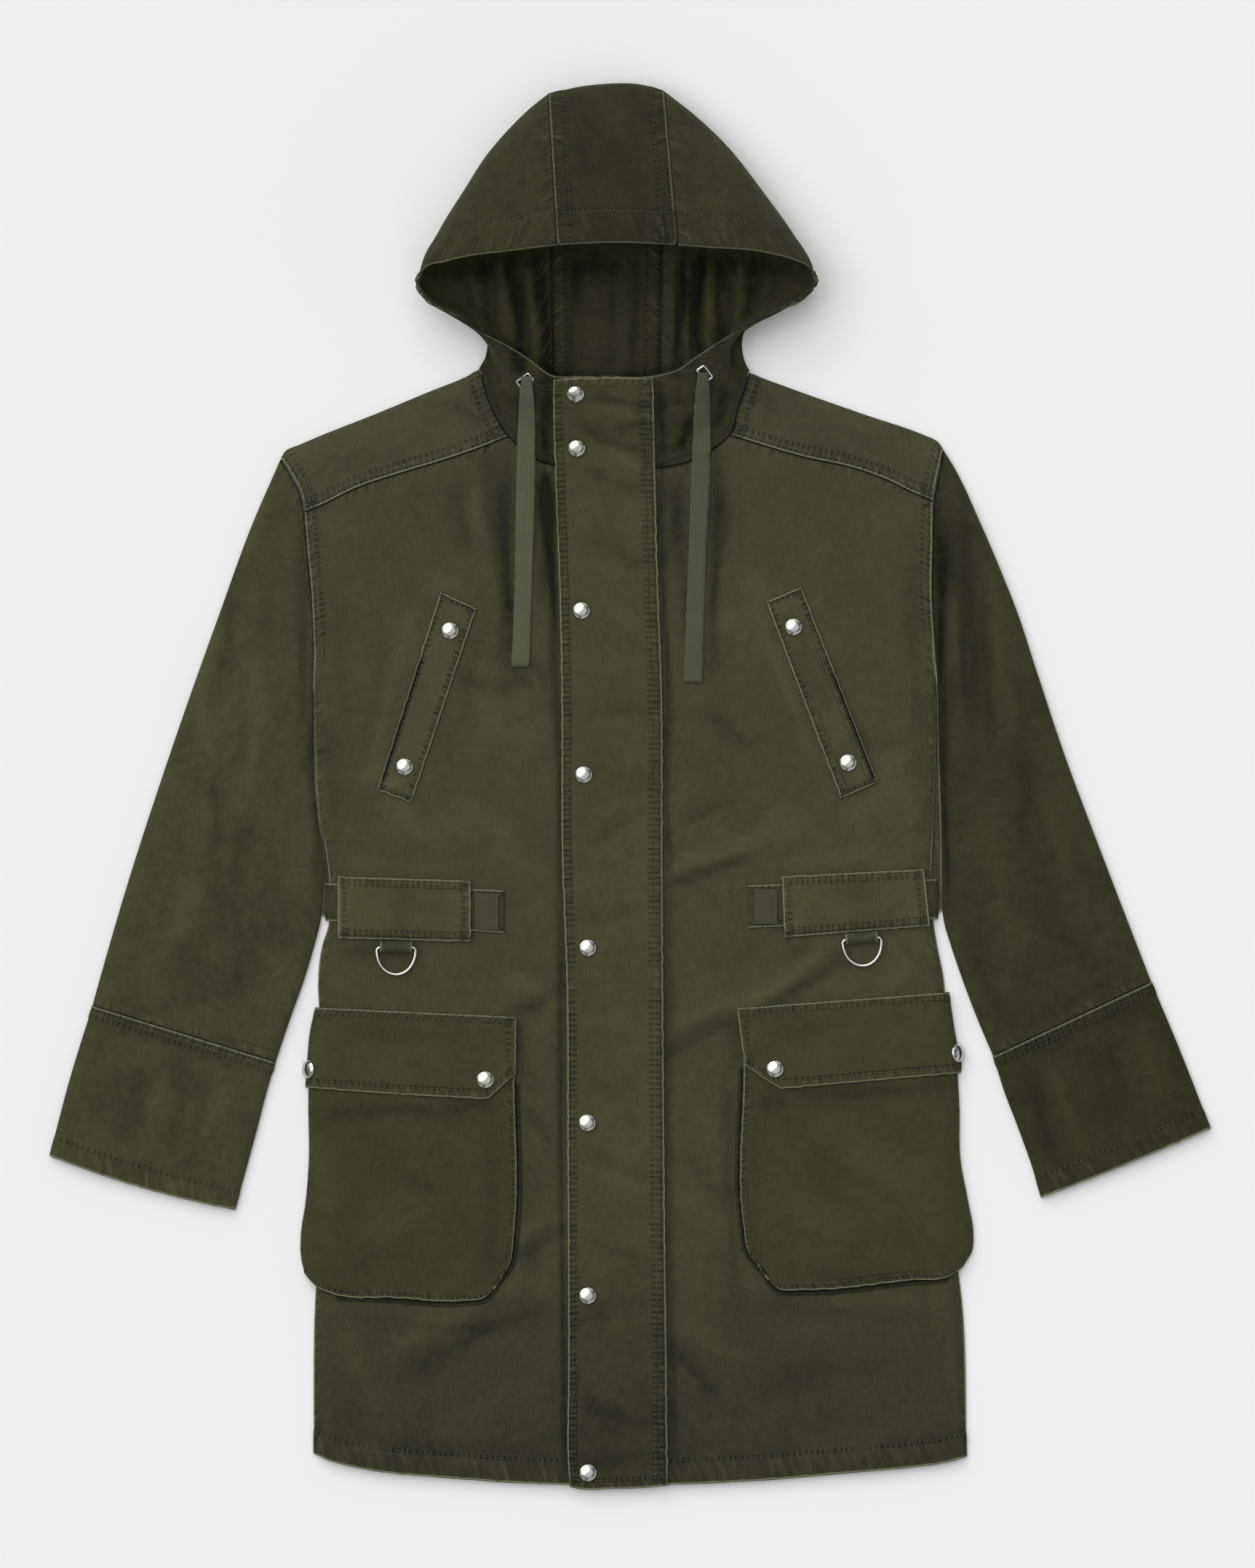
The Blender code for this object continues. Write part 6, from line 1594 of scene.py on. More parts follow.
def metal(name, colour, low, high, scratch):
    """Polished metal with small scratches and a little tarnish."""
    material, tree = new_material(name)
    place = object_place(tree)
    tarnish = noise(tree, place, 240.0, detail=4.0)
    scratches = noise(tree, place, 700.0, (1.0, 6.0, 1.0), 2.0)
    base = scaled(tree, linear(colour), total(tree, 1.0, (0.35, tarnish, 0.5)))
    rough = total(tree, (low + high) / 2, (high - low, tarnish, 0.5))
    height = total(tree, 0.0, (scratch, scratches, 0.5), (scratch * 2, noise(tree, place, 160.0), 0.5))
    finish(tree, base, height, rough, Metallic=1.0)
    return material


# Body


def back_side(upper, lower, side, sleeve, inward):
    """The back's edge from the shoulder down the armhole, beside the sleeve and down the side."""
    armhole = smooth_curve(upper)(spread(4))[1:-1]
    points = np.concatenate([armhole, joined(lower, side)(np.array(BODY_ROWS))])
    underarm = len(armhole) + UNDERARM_ROW
    free = len(armhole) + WAIST_ROW
    points[:underarm, 0] += 2 * SEAM * inward
    points[underarm, 0] += BACK_INSET * inward
    beside = points[underarm + 1 : free]
    beside[:, 0] = edge_x(sleeve, beside[:, 1]) - UNDER_SLEEVE * inward
    points[free:, 0] += BACK_INSET * inward
    return [tuple(point) for point in points]


def straight_run(points):
    """A function from 0..1 along straight lines between points."""
    knots = np.array(points, float)
    place = lengths_along(knots)
    place /= place[-1]

    def at(shares):
        return np.stack([np.interp(shares, place, knots[:, axis]) for axis in (0, 1)], axis=-1)

    return at


def back_panel():
    """The layer that rests on the surface, seen from below."""
    left = back_side(ARMHOLE_LEFT_UPPER, ARMHOLE_LEFT_LOWER, SIDE_LEFT, SLEEVE_LEFT_EDGES[1], 1)
    right = back_side(ARMHOLE_RIGHT_UPPER, ARMHOLE_RIGHT_LOWER, SIDE_RIGHT, SLEEVE_RIGHT_EDGES[0], -1)
    shoulder_left = [(x, y - BACK_INSET) for x, y in SHOULDER_LEFT[2:-1]]
    shoulder_right = [(x, y - BACK_INSET) for x, y in SHOULDER_RIGHT[1:-2]]
    neck = [(x, y - SEAM) for x, y in BACK_NECK]
    top = [left[0], *shoulder_left, *neck, *shoulder_right, right[0]]
    bottom = [left[-1], *HEM_LEFT[1:], *HEM_RIGHT[1:-1], right[-1]]
    edges = [straight_run(points) for points in (top, bottom, left, right)]
    grid = patch(*edges, *(seam_spread(span, step=BACK_STEP) for span in BACK_SPAN))
    cloth(
        "back_panel_cloth", with_height(grid, np.zeros(grid.shape[:2])), BODY_GREEN, flip=True,
        rows=(("bottom", HEM_ROW),), edge_wear_and_light="lrb", sewn=on_sides("lrtb", 0.0),
    )


def fronts():
    """Both fronts below the yokes, from the sides to the closed centre front."""
    width, length = FRONT_SPAN
    centre = smooth_curve(CENTRE_FRONT)
    for side, table, seam, hem, lower, edge in (
        ("left", HOOD_LEFT, YOKE_SEAM_LEFT, HEM_LEFT, ARMHOLE_LEFT_LOWER, SIDE_LEFT),
        ("right", HOOD_RIGHT, YOKE_SEAM_RIGHT, HEM_RIGHT, ARMHOLE_RIGHT_LOWER, SIDE_RIGHT),
    ):
        neck = neck_run(table, HOOD_YOKE, len(table) - 1)
        outer = joined(lower, edge)
        if side == "left":
            edges = (joined(seam, neck), smooth_curve(hem), outer, centre)
            across = seam_spread(width, roll_start=True, end=False)
        else:
            edges = (joined(neck[::-1], seam), smooth_curve(hem), centre, outer)
            across = seam_spread(width, start=False, roll_end=True)
        grid = patch(*edges, across, seam_spread(length))
        grid = cut_back(grid, top=SEAM, **{OTHER[side]: SEAM / 2})
        above = grid[:, 0 if side == "left" else -1, 1] > UNDERARM_Y
        grid[above] = cut_back(grid, **{side: SEAM})[above]
        cloth(
            f"front_{side}_cloth", on_coat(grid), BODY_GREEN,
            sewn=(("top", 0.35), (side, 0.3), ("bottom", 0.4, 27.0)), waver="b",
            painted_shadows=(("top", 0.0, 1.3, 0.55), ("bottom", HEM_ROW + 1.6, 0.8, 0.35)),
            rows=(("bottom", HEM_ROW), (side, 2.2, *ARMHOLE_RUN), (side, 8.6, *ARMHOLE_RUN)),
            laps=(("bottom", HEM_ROW + 0.5, 0.5), (side, 9.2, 0.6, *ARMHOLE_RUN)),
            edge_wear_and_light="b" + side[0],
        )


def yokes():
    """The front yokes, which roll over the shoulder line."""
    width, length = YOKE_SPAN
    for side, table, edges in (
        ("left", HOOD_LEFT, (SHOULDER_LEFT, YOKE_SEAM_LEFT, ARMHOLE_LEFT_UPPER, None)),
        ("right", HOOD_RIGHT, (SHOULDER_RIGHT, YOKE_SEAM_RIGHT, None, ARMHOLE_RIGHT_UPPER)),
    ):
        neck = neck_run(table, HOOD_SHOULDER, HOOD_YOKE)
        runs = [smooth_curve(edge or neck) for edge in edges]
        down = seam_spread(length, roll_start=True, step=YOKE_STEP)
        grid = patch(*runs, seam_spread(width, step=YOKE_STEP), down)
        grid = cut_back(grid, bottom=SEAM / 2, left=2 * SEAM, right=2 * SEAM)
        inner = OTHER[side]
        cloth(
            f"yoke_{side}_cloth", with_height(grid, shoulder_height(grid)), YOKE_GREEN,
            sewn=(("bottom", 0.35), (side, 0.3), (inner, 0.35)),
            rows=(
                ("bottom", 1.8), ("bottom", 8.0), (side, 2.2), (side, 8.6), (inner, 2.0), (inner, 8.0),
            ),
            laps=(("bottom", 8.6, 0.7), (side, 9.2, 0.6), (inner, 8.6, 0.5)),
            edge_wear_and_light="b" + side[0],
        )


def tube_ring(line, width):
    """One ring round a flattened tube, from a function of plan points across it."""
    upper, lower = TUBE_ROUND
    rise = np.radians(np.linspace(0, 90, upper))
    fall = np.radians(np.linspace(0, 90, lower)[1:])
    near = ROLL * (1 - np.cos(rise))
    below = SIDE_LOW * (1 - np.cos(fall))
    inner = np.linspace(ROLL, width - ROLL, TUBE_COLUMNS)[1:-1]
    under = np.linspace(SIDE_LOW, width - SIDE_LOW, TUBE_UNDER)[1:-1]
    places = np.concatenate([near, inner, width - near[::-1], width - below, under[::-1], below[::-1]])
    plan = line(places / width)
    flat = top_height(plan[:, 0], plan[:, 1])
    height = np.zeros(len(places))
    count = len(near) * 2 + len(inner)
    shares = np.concatenate([np.sin(rise), np.ones(len(inner)), np.sin(rise[::-1])])
    height[:count] = SIDE_MIDDLE + (flat[:count] - SIDE_MIDDLE) * shares
    height[count : count + len(below)] = SIDE_MIDDLE * (1 - np.sin(fall))
    height[-len(below) :] = SIDE_MIDDLE * (1 - np.sin(fall[::-1]))
    return np.column_stack([plan, height])


def tube(edges, rows, start_line=None, bow=0.0, cut_start=0.0, cut_end=0.0):
    """A flattened tube between a left and a right edge. start_line is its first cross line."""
    left, right = smooth_curve(edges[0]), smooth_curve(edges[1])
    rings = []
    for share in rows:
        a, b = left(share), right(share)

        def line(places, a=a, b=b, share=share):
            points = a + (b - a) * places[:, None]
            if start_line is not None:
                straight = left(0.0) + (right(0.0) - left(0.0)) * places[:, None]
                fade = max(0.0, 1 - share * ARMHOLE_FADE) ** 2
                points = points + (start_line(places) - straight) * fade
            points[:, 1] -= bow * share * 4 * places * (1 - places)
            return points

        rings.append(tube_ring(line, np.linalg.norm(b - a)))
    return cut_back(np.array(rings), top=cut_start, bottom=cut_end)


def sleeves():
    """The sleeves, from the armholes to the cuffs' seams."""
    armhole_left = joined(ARMHOLE_LEFT_UPPER, ARMHOLE_LEFT_LOWER)
    armhole_right = joined(ARMHOLE_RIGHT_LOWER[::-1], ARMHOLE_RIGHT_UPPER[::-1])
    # The last column is the half-width of the painted shadow line beside the armhole
    for side, edges, armhole, colour, painted_shadow in (
        ("left", SLEEVE_LEFT_EDGES, armhole_left, SLEEVE_LEFT_GREEN, 1.3),
        ("right", SLEEVE_RIGHT_EDGES, armhole_right, SLEEVE_RIGHT_GREEN, 2.6),
    ):
        cloth(
            f"sleeve_{side}_cloth",
            tube(edges, seam_spread(SLEEVE_LENGTH), armhole, cut_start=SEAM, cut_end=SEAM / 2),
            colour, ring=True, sewn=(("top", 0.45), ("bottom", 0.4)),
            material=twill(colour, EDGE_WEAR_AND_HIGHLIGHT, SLEEVE_PATCHY),
            painted_shadows=(("top", 0.4, painted_shadow, 0.7), ("bottom", 0.0, 1.0, 0.5)),
        )


def cuffs():
    """The cuff bands, whose hems bow out a little."""
    for side, edges, bow, colour in (
        ("left", CUFF_LEFT_EDGES, CUFF_BOWS[0], CUFF_LEFT_GREEN),
        ("right", CUFF_RIGHT_EDGES, CUFF_BOWS[1], CUFF_RIGHT_GREEN),
    ):
        cloth(
            f"cuff_{side}_cloth",
            tube(edges, seam_spread(CUFF_LENGTH, step=CUFF_STEP), bow=bow, cut_start=SEAM / 2),
            colour, ring=True, edge_wear_and_light="tb", waver="b", painted_shadows=(("top", 3.0, 0.8, 0.4),),
            material=twill(colour, EDGE_WEAR_AND_HIGHLIGHT, SLEEVE_PATCHY),
            sewn=(("top", 0.5), ("bottom", 0.35, 23.0)),
            rows=(("bottom", 17.0), ("top", 2.4), ("top", 8.4)),
            laps=(("bottom", 17.5, 0.4), ("top", 9.0, 0.7)),
        )


# Hood


def inner_folds(grid):
    """Rise of the hood's back layer, whose folds show through the hood's opening."""
    rise = np.zeros(grid.shape[:2])
    x, y = grid[..., 0], grid[..., 1]
    reach = HOOD_FOLD_END
    for x1, y1, x2, y2, half_width, height in HOOD_FOLDS:
        share = np.clip((y - y1) / (y2 - y1), 0, 1)
        away = x - (x1 + (x2 - x1) * share) - HOOD_FOLD_BEND * np.sin(y / 17 + x1)
        ends = smooth_step((y1 + reach - y) / (2 * reach)) * smooth_step((y - y2 + reach) / (2 * reach))
        rise += height * ends * np.exp(-((away / half_width) ** 2))
    return rise * smooth_step((HOOD_FOLD_TOP - grid[..., 2]) / HOOD_FOLD_FADE)


def hood():
    """The centre strip and the two sides; the sides carry the collar's front."""
    casing = ("left", HOOD_CASING)
    turned = ("left", HOOD_CASING + 0.5, 0.6)
    seams = [(side, place) for side in ("top", "bottom") for place in (2.0, HOOD_STRIP)]
    strips = on_sides("tb", HOOD_STRIP + 0.6, 0.5)
    for name, table, flip, colour, edge_wear_and_light, rows, laps in (
        ("hood_centre", HOOD_CENTRE, False, HOOD_TOP_SHADED_GREEN, "ltb", [casing, *seams], [turned, *strips]),
        ("hood_right", HOOD_RIGHT, False, HOOD_SHADED_GREEN, "l", [(*casing, 0.0, 160.0)], [turned]),
        ("hood_left", HOOD_LEFT, True, HOOD_SHADED_GREEN, "l", [(*casing, 0.0, 160.0)], [turned]),
    ):
        grid = hood_grid(table, OVER_STEPS, UNDER_STEPS, FLOOR_STEPS)
        grid = cut_back(grid, top=HOOD_SEAM, bottom=HOOD_SEAM, right=SEAM)
        grid[..., 2] += inner_folds(grid)
        cloth(
            f"{name}_cloth", grid, colour, flip=flip, edge_wear_and_light=edge_wear_and_light, rows=rows, laps=laps,
            sewn=[
                ("left", 0.35, 34.0), ("left", 0.3, 13.0), *on_sides("tb", 0.5, 14.0), ("right", 0.3),
            ],
            painted_shadows=on_sides("tb", 0.0, 1.3, 0.7, *HOOD_PAINTED_SHADOWS),
            edge_wear_and_light_above=HOOD_FOLD_TOP, material=twill(colour, HOOD_WEAR_AND_HIGHLIGHT, HOOD_PATCHY),
        )


# Pieces on the fronts


def placket():
    """The storm flap, from the collar's edge to the hem."""
    width, length = PLACKET_SPAN
    edges = [smooth_curve(e) for e in (PLACKET_TOP, PLACKET_HEM, PLACKET_LEFT, PLACKET_RIGHT)]
    grid = patch(*edges, seam_spread(width, step=TRIM_STEP), seam_spread(length))
    height = coat_height(grid[..., 0], grid[..., 1]) + LAY + TRIM + PLACKET_SLACK
    cloth(
        "placket_cloth", with_height(grid, height), PLACKET_GREEN, TRIM, edge_wear_and_light="lrtb", soft="lrt",
        waver="lrt", sewn=(("right", 0.55), ("left", 0.3), ("bottom", 0.35), ("top", 0.2)),
        rows=(("left", 3.6), ("left", 7.2), ("right", 4.8), ("right", 10.5), ("bottom", 7.5)),
        laps=(("left", 7.8, 0.4), ("right", 11.0, 0.5), ("right", 5.0, 0.4), ("bottom", 8.0, 0.4)),
        painted_shadows=(("right", 2.6, 0.8, 0.5), ("left", 2.7, 0.7, 0.3)),
    )


def welts():
    """The chest pockets' slanted welts, each with a painted shadow line along part of its outer edge where
    its opening is, and painted shadow lines beside its other edges.
    """
    width, length = WELT_SPAN
    for side, corners, opening in (
        ("left", WELT_LEFT, (52, 168)),
        ("right", WELT_RIGHT, (70, 176)),
    ):
        across, down = seam_spread(width, step=NARROW_STEP), seam_spread(length, step=TRIM_STEP)
        grid = on_coat(four_cornered(corners, across, down), LAY + TRIM)
        cloth(
            f"chest_welt_{side}_cloth", grid, WELT_GREEN, TRIM, edge_wear_and_light="lrtb", soft="lrtb", waver="lrtb",
            sewn=on_sides("lr", 0.08), rows=on_sides("tblr", 3.6),
            painted_shadows=(
                (side, 2.2, 0.7, 0.6), (side, 2.5, 1.7, 1.0, *opening), ("top", 2.2, 0.9, 0.6),
                ("bottom", 2.2, 0.9, 0.6), (OTHER[side], 2.2, 0.6, 0.45),
            ),
        )


def waist():
    """The waist straps, their hook-and-loop ends and the tunnels over them."""
    strap_lift = LAY + TRIM
    hatch = hook_and_loop(HATCH_GREEN)
    for side, strap, tab, tunnel in (
        ("left", STRAP_LEFT, TAB_LEFT, TUNNEL_LEFT),
        ("right", STRAP_RIGHT, TAB_RIGHT, TUNNEL_RIGHT),
    ):
        inner = OTHER[side]
        width, length = STRAP_SPAN
        across = seam_spread(width, step=TRIM_STEP, **rolls(side))
        grid = four_cornered(strap, across, seam_spread(length, step=NARROW_STEP))
        overhang = side_overhang(grid, side)
        cloth(
            f"strap_{side}_cloth", on_coat(grid, strap_lift, overhang), TRIM_GREEN, TRIM, edge_wear_and_light="tb",
            soft="tb" + inner[0], sewn=on_sides("tb", 0.1), rows=on_sides("tb", 3.0),
        )
        across, down = (seam_spread(span, step=step) for span, step in zip(TAB_SPAN, TAB_STEPS))
        grid = on_coat(four_cornered(tab, across, down), strap_lift + LAY + WEBBING)
        cloth(
            f"tab_{side}_cloth", grid, TRIM_GREEN, WEBBING, soft="lrtb", rows=on_sides("tblr", 1.8),
            material=hatch,
        )
        width = abs(tunnel[1][0] - tunnel[0][0])
        depth = tunnel[0][1] - tunnel[2][1]
        down = seam_spread(depth, step=NARROW_STEP)
        grid = four_cornered(tunnel, seam_spread(width, step=TRIM_STEP, **rolls(side)), down)
        rise = smooth_step(np.clip(np.minimum(down, 1 - down) * depth / TUNNEL_RAMP, 0, 1))[:, None]
        lift = LAY + TRIM + (strap_lift + TUNNEL_SLACK) * rise
        cloth(
            f"tunnel_{side}_cloth", on_coat(grid, lift, overhang.max() + LAY + TRIM), TUNNEL_GREEN,
            TRIM, edge_wear_and_light="lrtb", soft="tb" + inner[0], waver="tb" + inner[0],
            sewn=(("top", 0.3), ("bottom", 0.3), (inner, 0.15)),
            rows=(
                ("top", 2.0), ("top", 7.0), ("bottom", 2.0), ("bottom", 7.0), ("left", 6.0),
                ("right", 6.0),
            ),
            laps=[*on_sides("tb", 7.4, 0.4), *on_sides("lr", 6.4, 0.4)],
        )


def pockets():
    """The bellows pockets, which wrap round the sides."""
    width, length = POCKET_SPAN
    down = seam_spread(length)
    for side in ("left", "right"):
        inner = OTHER[side]
        across = seam_spread(width, **rolls(side))
        grid = patch(*[smooth_curve(edge) for edge in POCKET_EDGES[side]], across, down)
        lift = pocket_lift(across[None, :] * np.ones_like(down)[:, None], down[:, None])
        cloth(
            f"pocket_{side}_cloth", wrapped(grid, lift, side), POCKET_GREEN, TRIM,
            edge_wear_and_light="b" + inner[0] + side[0], soft="b" + inner[0] + side[0], waver="b" + inner[0],
            sewn=(("bottom", 0.2), (inner, 0.2), (side, 0.1)),
            rows=(("bottom", 3.0), (inner, 3.0)), laps=(("bottom", 3.4, 0.3), (inner, 3.4, 0.3)),
        )


def gussets():
    """The bellows folds, which show as a narrow step outside the pockets' inner and lower edges, with a
    painted shadow line along it.
    """
    for side, inner, hem, turn in (
        ("left", POCKET_LEFT_INNER, POCKET_LEFT_HEM[2:][::-1], 1),
        ("right", POCKET_RIGHT_INNER, POCKET_RIGHT_HEM[:-1], -1),
    ):
        path = smooth_curve((*inner[1:], *hem[1:]))(spread(GUSSET_ROWS))
        along = np.gradient(path, axis=0)
        along /= np.linalg.norm(along, axis=1, keepdims=True)
        out = np.column_stack([-along[:, 1], along[:, 0]]) * turn
        places = np.linspace(GUSSET_OUT, -GUSSET_IN, GUSSET_COLUMNS)
        grid = on_coat(np.stack([path + out * place for place in places], axis=1), LAY + TRIM)
        cloth(
            f"gusset_{side}_cloth", grid, GUSSET_SHADED_GREEN, TRIM, flip=side == "left", soft="l",
            sewn=(("left", 0.05),), painted_shadows=(("left", GUSSET_OUT - 0.8, 1.4, 0.85),),
        )


def flaps():
    """The pocket flaps, with their inner lower corner cut off."""
    width, length = FLAP_SPAN
    for side, top, hem, left, right in (
        ("left", FLAP_LEFT_TOP, (FLAP_LEFT_HEM, FLAP_LEFT_CUT), FLAP_LEFT_OUTER, FLAP_LEFT_INNER),
        ("right", FLAP_RIGHT_TOP, (FLAP_RIGHT_CUT, FLAP_RIGHT_HEM), FLAP_RIGHT_INNER, FLAP_RIGHT_OUTER),
    ):
        inner = OTHER[side]
        grid = patch(
            smooth_curve(top), joined(*hem), smooth_curve(left), smooth_curve(right),
            seam_spread(width, step=TRIM_STEP, **rolls(side)), seam_spread(length, step=TRIM_STEP),
        )
        below = np.linalg.norm(grid - grid[:1], axis=-1)
        full = POCKET_LIFT + POCKET_PUFF + LAY + TRIM
        lift = LAY + TRIM + (full - LAY - TRIM) * smooth_step(below / FLAP_SEAM)
        cloth(
            f"flap_{side}_cloth", wrapped(grid, lift, side), FLAP_GREEN, TRIM, edge_wear_and_light="lrtb",
            soft="lrb", waver="b" + inner[0], sewn=(("top", 0.3), ("bottom", 0.35), (inner, 0.3)),
            rows=(("top", 2.0), ("top", 7.0), ("bottom", 6.6), (inner, 6.6), (side, 6.6)),
            laps=(("top", 7.4, 0.4), ("bottom", 7.0, 0.3), (inner, 7.0, 0.3)),
        )


# Hard pieces and the ring loops


def snap_seat(name):
    """The middle of a cap's foot and the cap's axis, from its CAD node."""
    points = np.array([tuple(v.co) for v in CAD[name].data.vertices]) / MM
    middle = points.mean(axis=0)
    normal = np.linalg.svd(points - middle)[2][2]
    normal = normal if normal[2] > 0 else -normal
    level = (points - middle) @ normal
    outward = np.linalg.norm(points - middle - level[:, None] * normal, axis=1)
    rim = points[outward > SNAP_RIM * SNAP_RADIUS]
    centre = (rim.max(axis=0) + rim.min(axis=0)) / 2
    return centre + normal * (level.min() - (centre - middle) @ normal), normal


def snap(name, steel):
    """A domed cap, turned finely on its CAD node's own place and axis."""
    centre, normal = snap_seat(name)
    turn = Vector((0, 0, 1)).rotation_difference(Vector(normal)).to_matrix()
    verts = [centre + np.array(turn @ Vector((0, 0, SNAP_HEIGHT)))]
    profile = SNAP_PROFILE[1:-1]
    for radius, height in profile:
        for step in range(SNAP_STEPS):
            angle = 2 * math.pi * step / SNAP_STEPS
            point = Vector((radius * math.cos(angle), radius * math.sin(angle), 0)) * SNAP_RADIUS
            point.z = height * SNAP_HEIGHT
            verts.append(centre + np.array(turn @ point))
    verts.append(centre)
    faces = []
    last = 1 + (len(profile) - 1) * SNAP_STEPS
    for step in range(SNAP_STEPS):
        beside = (step + 1) % SNAP_STEPS
        faces.append((0, 1 + step, 1 + beside))
        for low in range(1, last, SNAP_STEPS):
            high = low + SNAP_STEPS
            faces.append((low + step, high + step, high + beside, low + beside))
        faces.append((last + step, len(verts) - 1, last + beside))
    obj = mesh_object(f"{name}_cap", verts, faces)
    obj.data.materials.append(steel)
    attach(obj, COAT)
    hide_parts(name)


def wire(node, path, radius, place, steel, body):
    """A closed round wire along a run of plan points, in a place given by a matrix."""
    name = f"{node}_wire"
    data = bpy.data.curves.new(name, "CURVE")
    data.dimensions = "3D"
    data.bevel_depth = radius * MM
    data.bevel_resolution = WIRE_BEVEL
    spline = data.splines.new("POLY")
    spline.points.add(len(path) - 1)
    for point, (x, y) in zip(spline.points, path):
        point.co = (x * MM, y * MM, 0.0, 1.0)
    spline.use_cyclic_u = True
    curve = new_object(f"{name}_curve", data)
    curve.matrix_world = place
    bpy.context.view_layer.update()
    shown = curve.evaluated_get(bpy.context.evaluated_depsgraph_get())
    mesh = bpy.data.meshes.new_from_object(shown)
    mesh.transform(place)
    mesh.shade_smooth()
    bpy.data.objects.remove(curve)
    obj = new_object(name, mesh)
    mesh.materials.clear()
    mesh.materials.append(steel)
    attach(obj, body)
    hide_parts(node)


def d_rings(steel):
    """The rings, with their straight bar through a folded loop of webbing."""
    drop = Matrix.Rotation(RING_DROP, 4, "X")
    for side, (x, y, degrees) in (("left", RING_LEFT), ("right", RING_RIGHT)):
        z = float(body_height(np.array(x), np.array(y))) + RING_LIFT
        spin = Matrix.Rotation(math.radians(degrees), 4, "Z")
        place = Matrix.Translation(Vector((x, y, z)) * MM) @ spin
        node = f"d_ring_{side}"
        wire(node, d_ring_path(), RING_WIRE, place @ drop, steel, node)
        ring_loop(side, place)


def ring_loop(side, place):
    """The fabric loop: a strip that goes round the ring's bar and back to the tunnel."""
    middle = LOOP_BORE + WEBBING
    turns = np.radians(np.arange(*LOOP_TURNS))
    bend = np.column_stack([middle * np.cos(turns), middle * np.sin(turns)])
    profile = np.array([(LOOP_REACH, -middle), *bend, (LOOP_REACH, middle * LOOP_END)])
    across = np.linspace(-LOOP_HALF, LOOP_HALF, LOOP_COLUMNS)
    grid = np.zeros((len(profile), len(across), 3))
    grid[..., 0] = across[None]
    grid[..., 1] = profile[:, :1]
    grid[..., 2] = profile[:, 1:]
    grid = grid @ np.array(place.to_3x3()).T + np.array(place.translation) / MM
    cloth(
        f"ring_loop_{side}_cloth", grid, LOOP_GREEN, WEBBING, edge_wear_and_light="lr",
        sewn=on_sides("lr", 0.0),
    )


def outlets(steel):
    """The angular wire rings at the hood's edge."""
    x, y = OUTLET_LONG / 2, OUTLET_SHORT / 2
    path = rounded_loop([(-x, -y), (x, -y), (x, y), (-x, y)], OUTLET_CORNER, CORNER_STEPS)
    for side, (x, y, degrees) in (("left", OUTLET_LEFT), ("right", OUTLET_RIGHT)):
        seat, normal, tilt = surface_seat(f"hood_{side}", x, y, OUTLET_SHORT / 2)
        spin = Matrix.Rotation(math.radians(degrees), 4, "Z")
        middle = Matrix.Translation((seat + normal * (OUTLET_WIRE + 2 * LAY)) * MM)
        place = middle @ tilt.to_matrix().to_4x4() @ spin
        wire(f"outlet_{side}", path, OUTLET_WIRE, place, steel, COAT)


def drawstrings():
    """Flat tapes with free ends, lying on the collar and the fronts."""
    across = np.linspace(-0.5, 0.5, TAPE_COLUMNS)[None]
    for side, table, (_, ring_y, _) in (
        ("left", TAPE_LEFT, OUTLET_LEFT),
        ("right", TAPE_RIGHT, OUTLET_RIGHT),
    ):
        rows = smooth_curve(table)(spread(TAPE_ROWS))
        x = rows[:, :1] + rows[:, 2:] * across
        y = rows[:, 1:2] + 0 * x
        end, fall = TAPE_HUMP_END
        hump = TAPE_HUMP * smooth_step((end - (ring_y - y)) / fall)
        height = coat_height(x, y) + LAY + WEBBING + hump
        begun = smooth_step((ring_y - y - TAPE_WAVE_START) / TAPE_WAVE_START)
        height += TAPE_WAVE * np.sin(y / 9.0 + 2 * across) * begun
        grid = with_height(np.dstack([x, y]), height)
        green = TAPE_GREENS[side]
        tape = cloth(
            f"drawstring_{side}_tape", grid, green, WEBBING, soft="lrb", waver="lr",
            laps=(("bottom", 11.0, 0.5),), material=woven_tape(green), declare=False,
        )


def sewing():
    """All the stitches, as one piece of thread."""
    points = np.concatenate(STITCHES["points"])
    faces = np.concatenate(STITCHES["faces"])
    obj = mesh_object("sewing_thread", points, faces)
    obj.data.materials.append(thread())
    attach(obj, COAT)


# Floor, light and camera


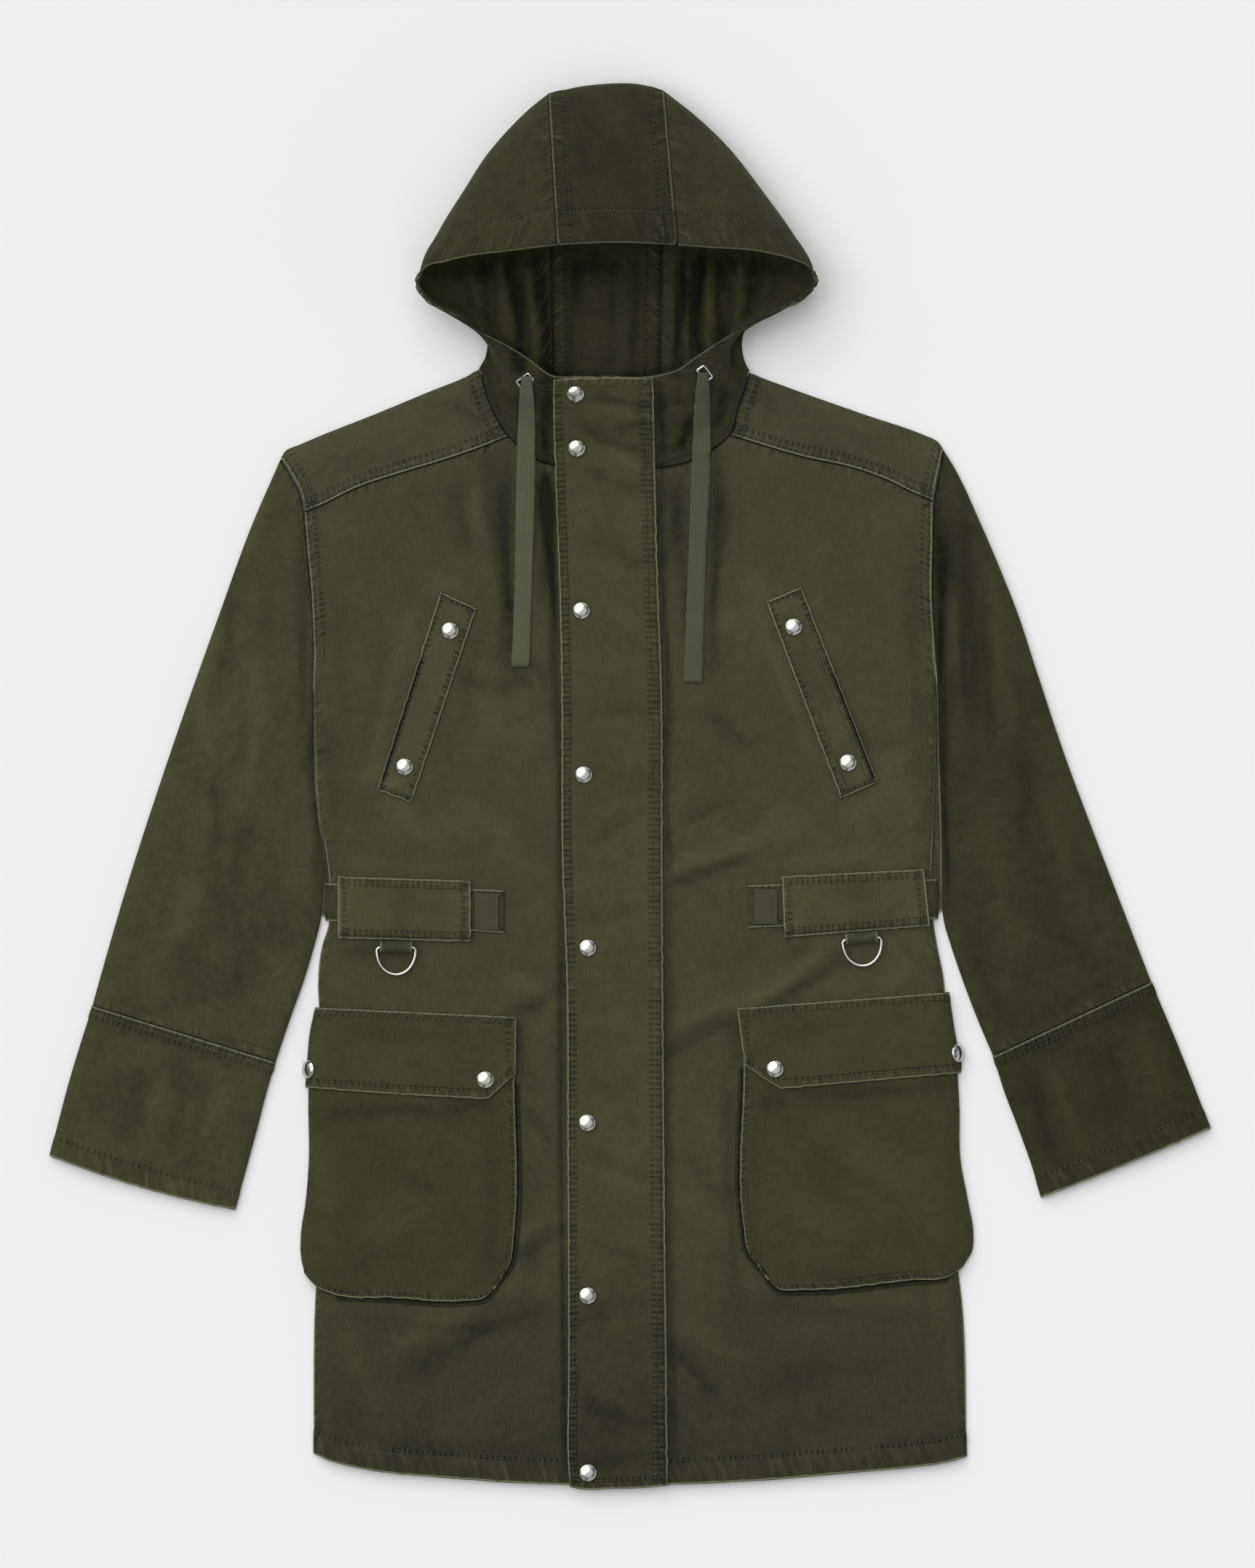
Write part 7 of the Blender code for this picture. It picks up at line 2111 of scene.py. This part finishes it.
def stage():
    """The pale floor under the coat."""
    half = FLOOR_SIZE / 2
    corners = [(-half, -half), (half, -half), (half, half), (-half, half)]
    floor = mesh_object("floor", [(x, y, -FLOOR_DROP) for x, y in corners], [(0, 1, 2, 3)])
    material, tree = new_material("pale_floor")
    grain = noise(tree, object_place(tree), 3.0)
    shade = total(tree, FLOOR_WHITE, (0.01, grain, 0.5))
    base = add(tree, "ShaderNodeCombineColor", {0: shade, 1: shade, 2: shade}).outputs[0]
    inputs = {"Base Color": base, "Roughness": 0.95, "Specular IOR Level": 0.1}
    shader = add(tree, "ShaderNodeBsdfPrincipled", inputs)
    add(tree, "ShaderNodeOutputMaterial", {"Surface": shader.outputs[0]})
    floor.data.materials.append(material)


def lights():
    """A wide soft sun and a white sky that is brighter in its middle and in some panels."""
    sun = bpy.data.lights.new("sun", "SUN")
    sun.energy = SUN_STRENGTH
    sun.angle = math.radians(SUN_ANGLE)
    new_object("sun", sun).rotation_euler = [math.radians(degrees) for degrees in SUN_TURN]
    world = bpy.data.worlds.new("studio")
    bpy.context.scene.world = world
    world.use_nodes = True
    tree = world.node_tree
    tree.nodes.clear()
    way = add(tree, "ShaderNodeTexCoord").outputs["Generated"]
    panels = band(tree, noise(tree, way, 1.7, detail=1.0), 0.42, 0.58)
    middle = band(tree, add(tree, "ShaderNodeSeparateXYZ", {0: way}).outputs[2], 0.75, 0.97)
    strength = total(
        tree, SKY_STRENGTH, (SKY_STRENGTH * SKY_PANELS, panels, 0.5), (SKY_STRENGTH * SKY_MIDDLE, middle, 0.0)
    )
    sky = add(tree, "ShaderNodeBackground", {"Color": (1.0, 1.0, 1.0, 1), "Strength": strength})
    add(tree, "ShaderNodeOutputWorld", {"Surface": sky.outputs[0]})


def add_camera():
    """The camera, straight above the coat, and true colours with no film curve."""
    bpy.context.scene.view_settings.view_transform = "Standard"
    data = bpy.data.cameras.new("camera")
    data.sensor_width = SENSOR
    data.lens = SENSOR * CAMERA_DISTANCE / VIEW_HEIGHT
    data.clip_end = CAMERA_REACH
    camera = new_object("camera", data)
    camera.location = Vector((*VIEW_CENTRE, CAMERA_DISTANCE)) * MM
    bpy.context.scene.camera = camera


def main():
    """Everything, in its order."""
    add_camera()
    lights()
    stage()
    for build in (
        drawstrings, back_panel, fronts, yokes, sleeves, cuffs, hood, placket, welts, waist,
        gussets, pockets, flaps,
    ):
        build()
    caps = metal(*SNAP_STEEL)
    for node in sorted(CAD):
        if node.startswith("snap_"):
            snap(node, caps)
    rings = metal(*RING_STEEL)
    d_rings(rings)
    outlets(rings)
    sewing()


main()
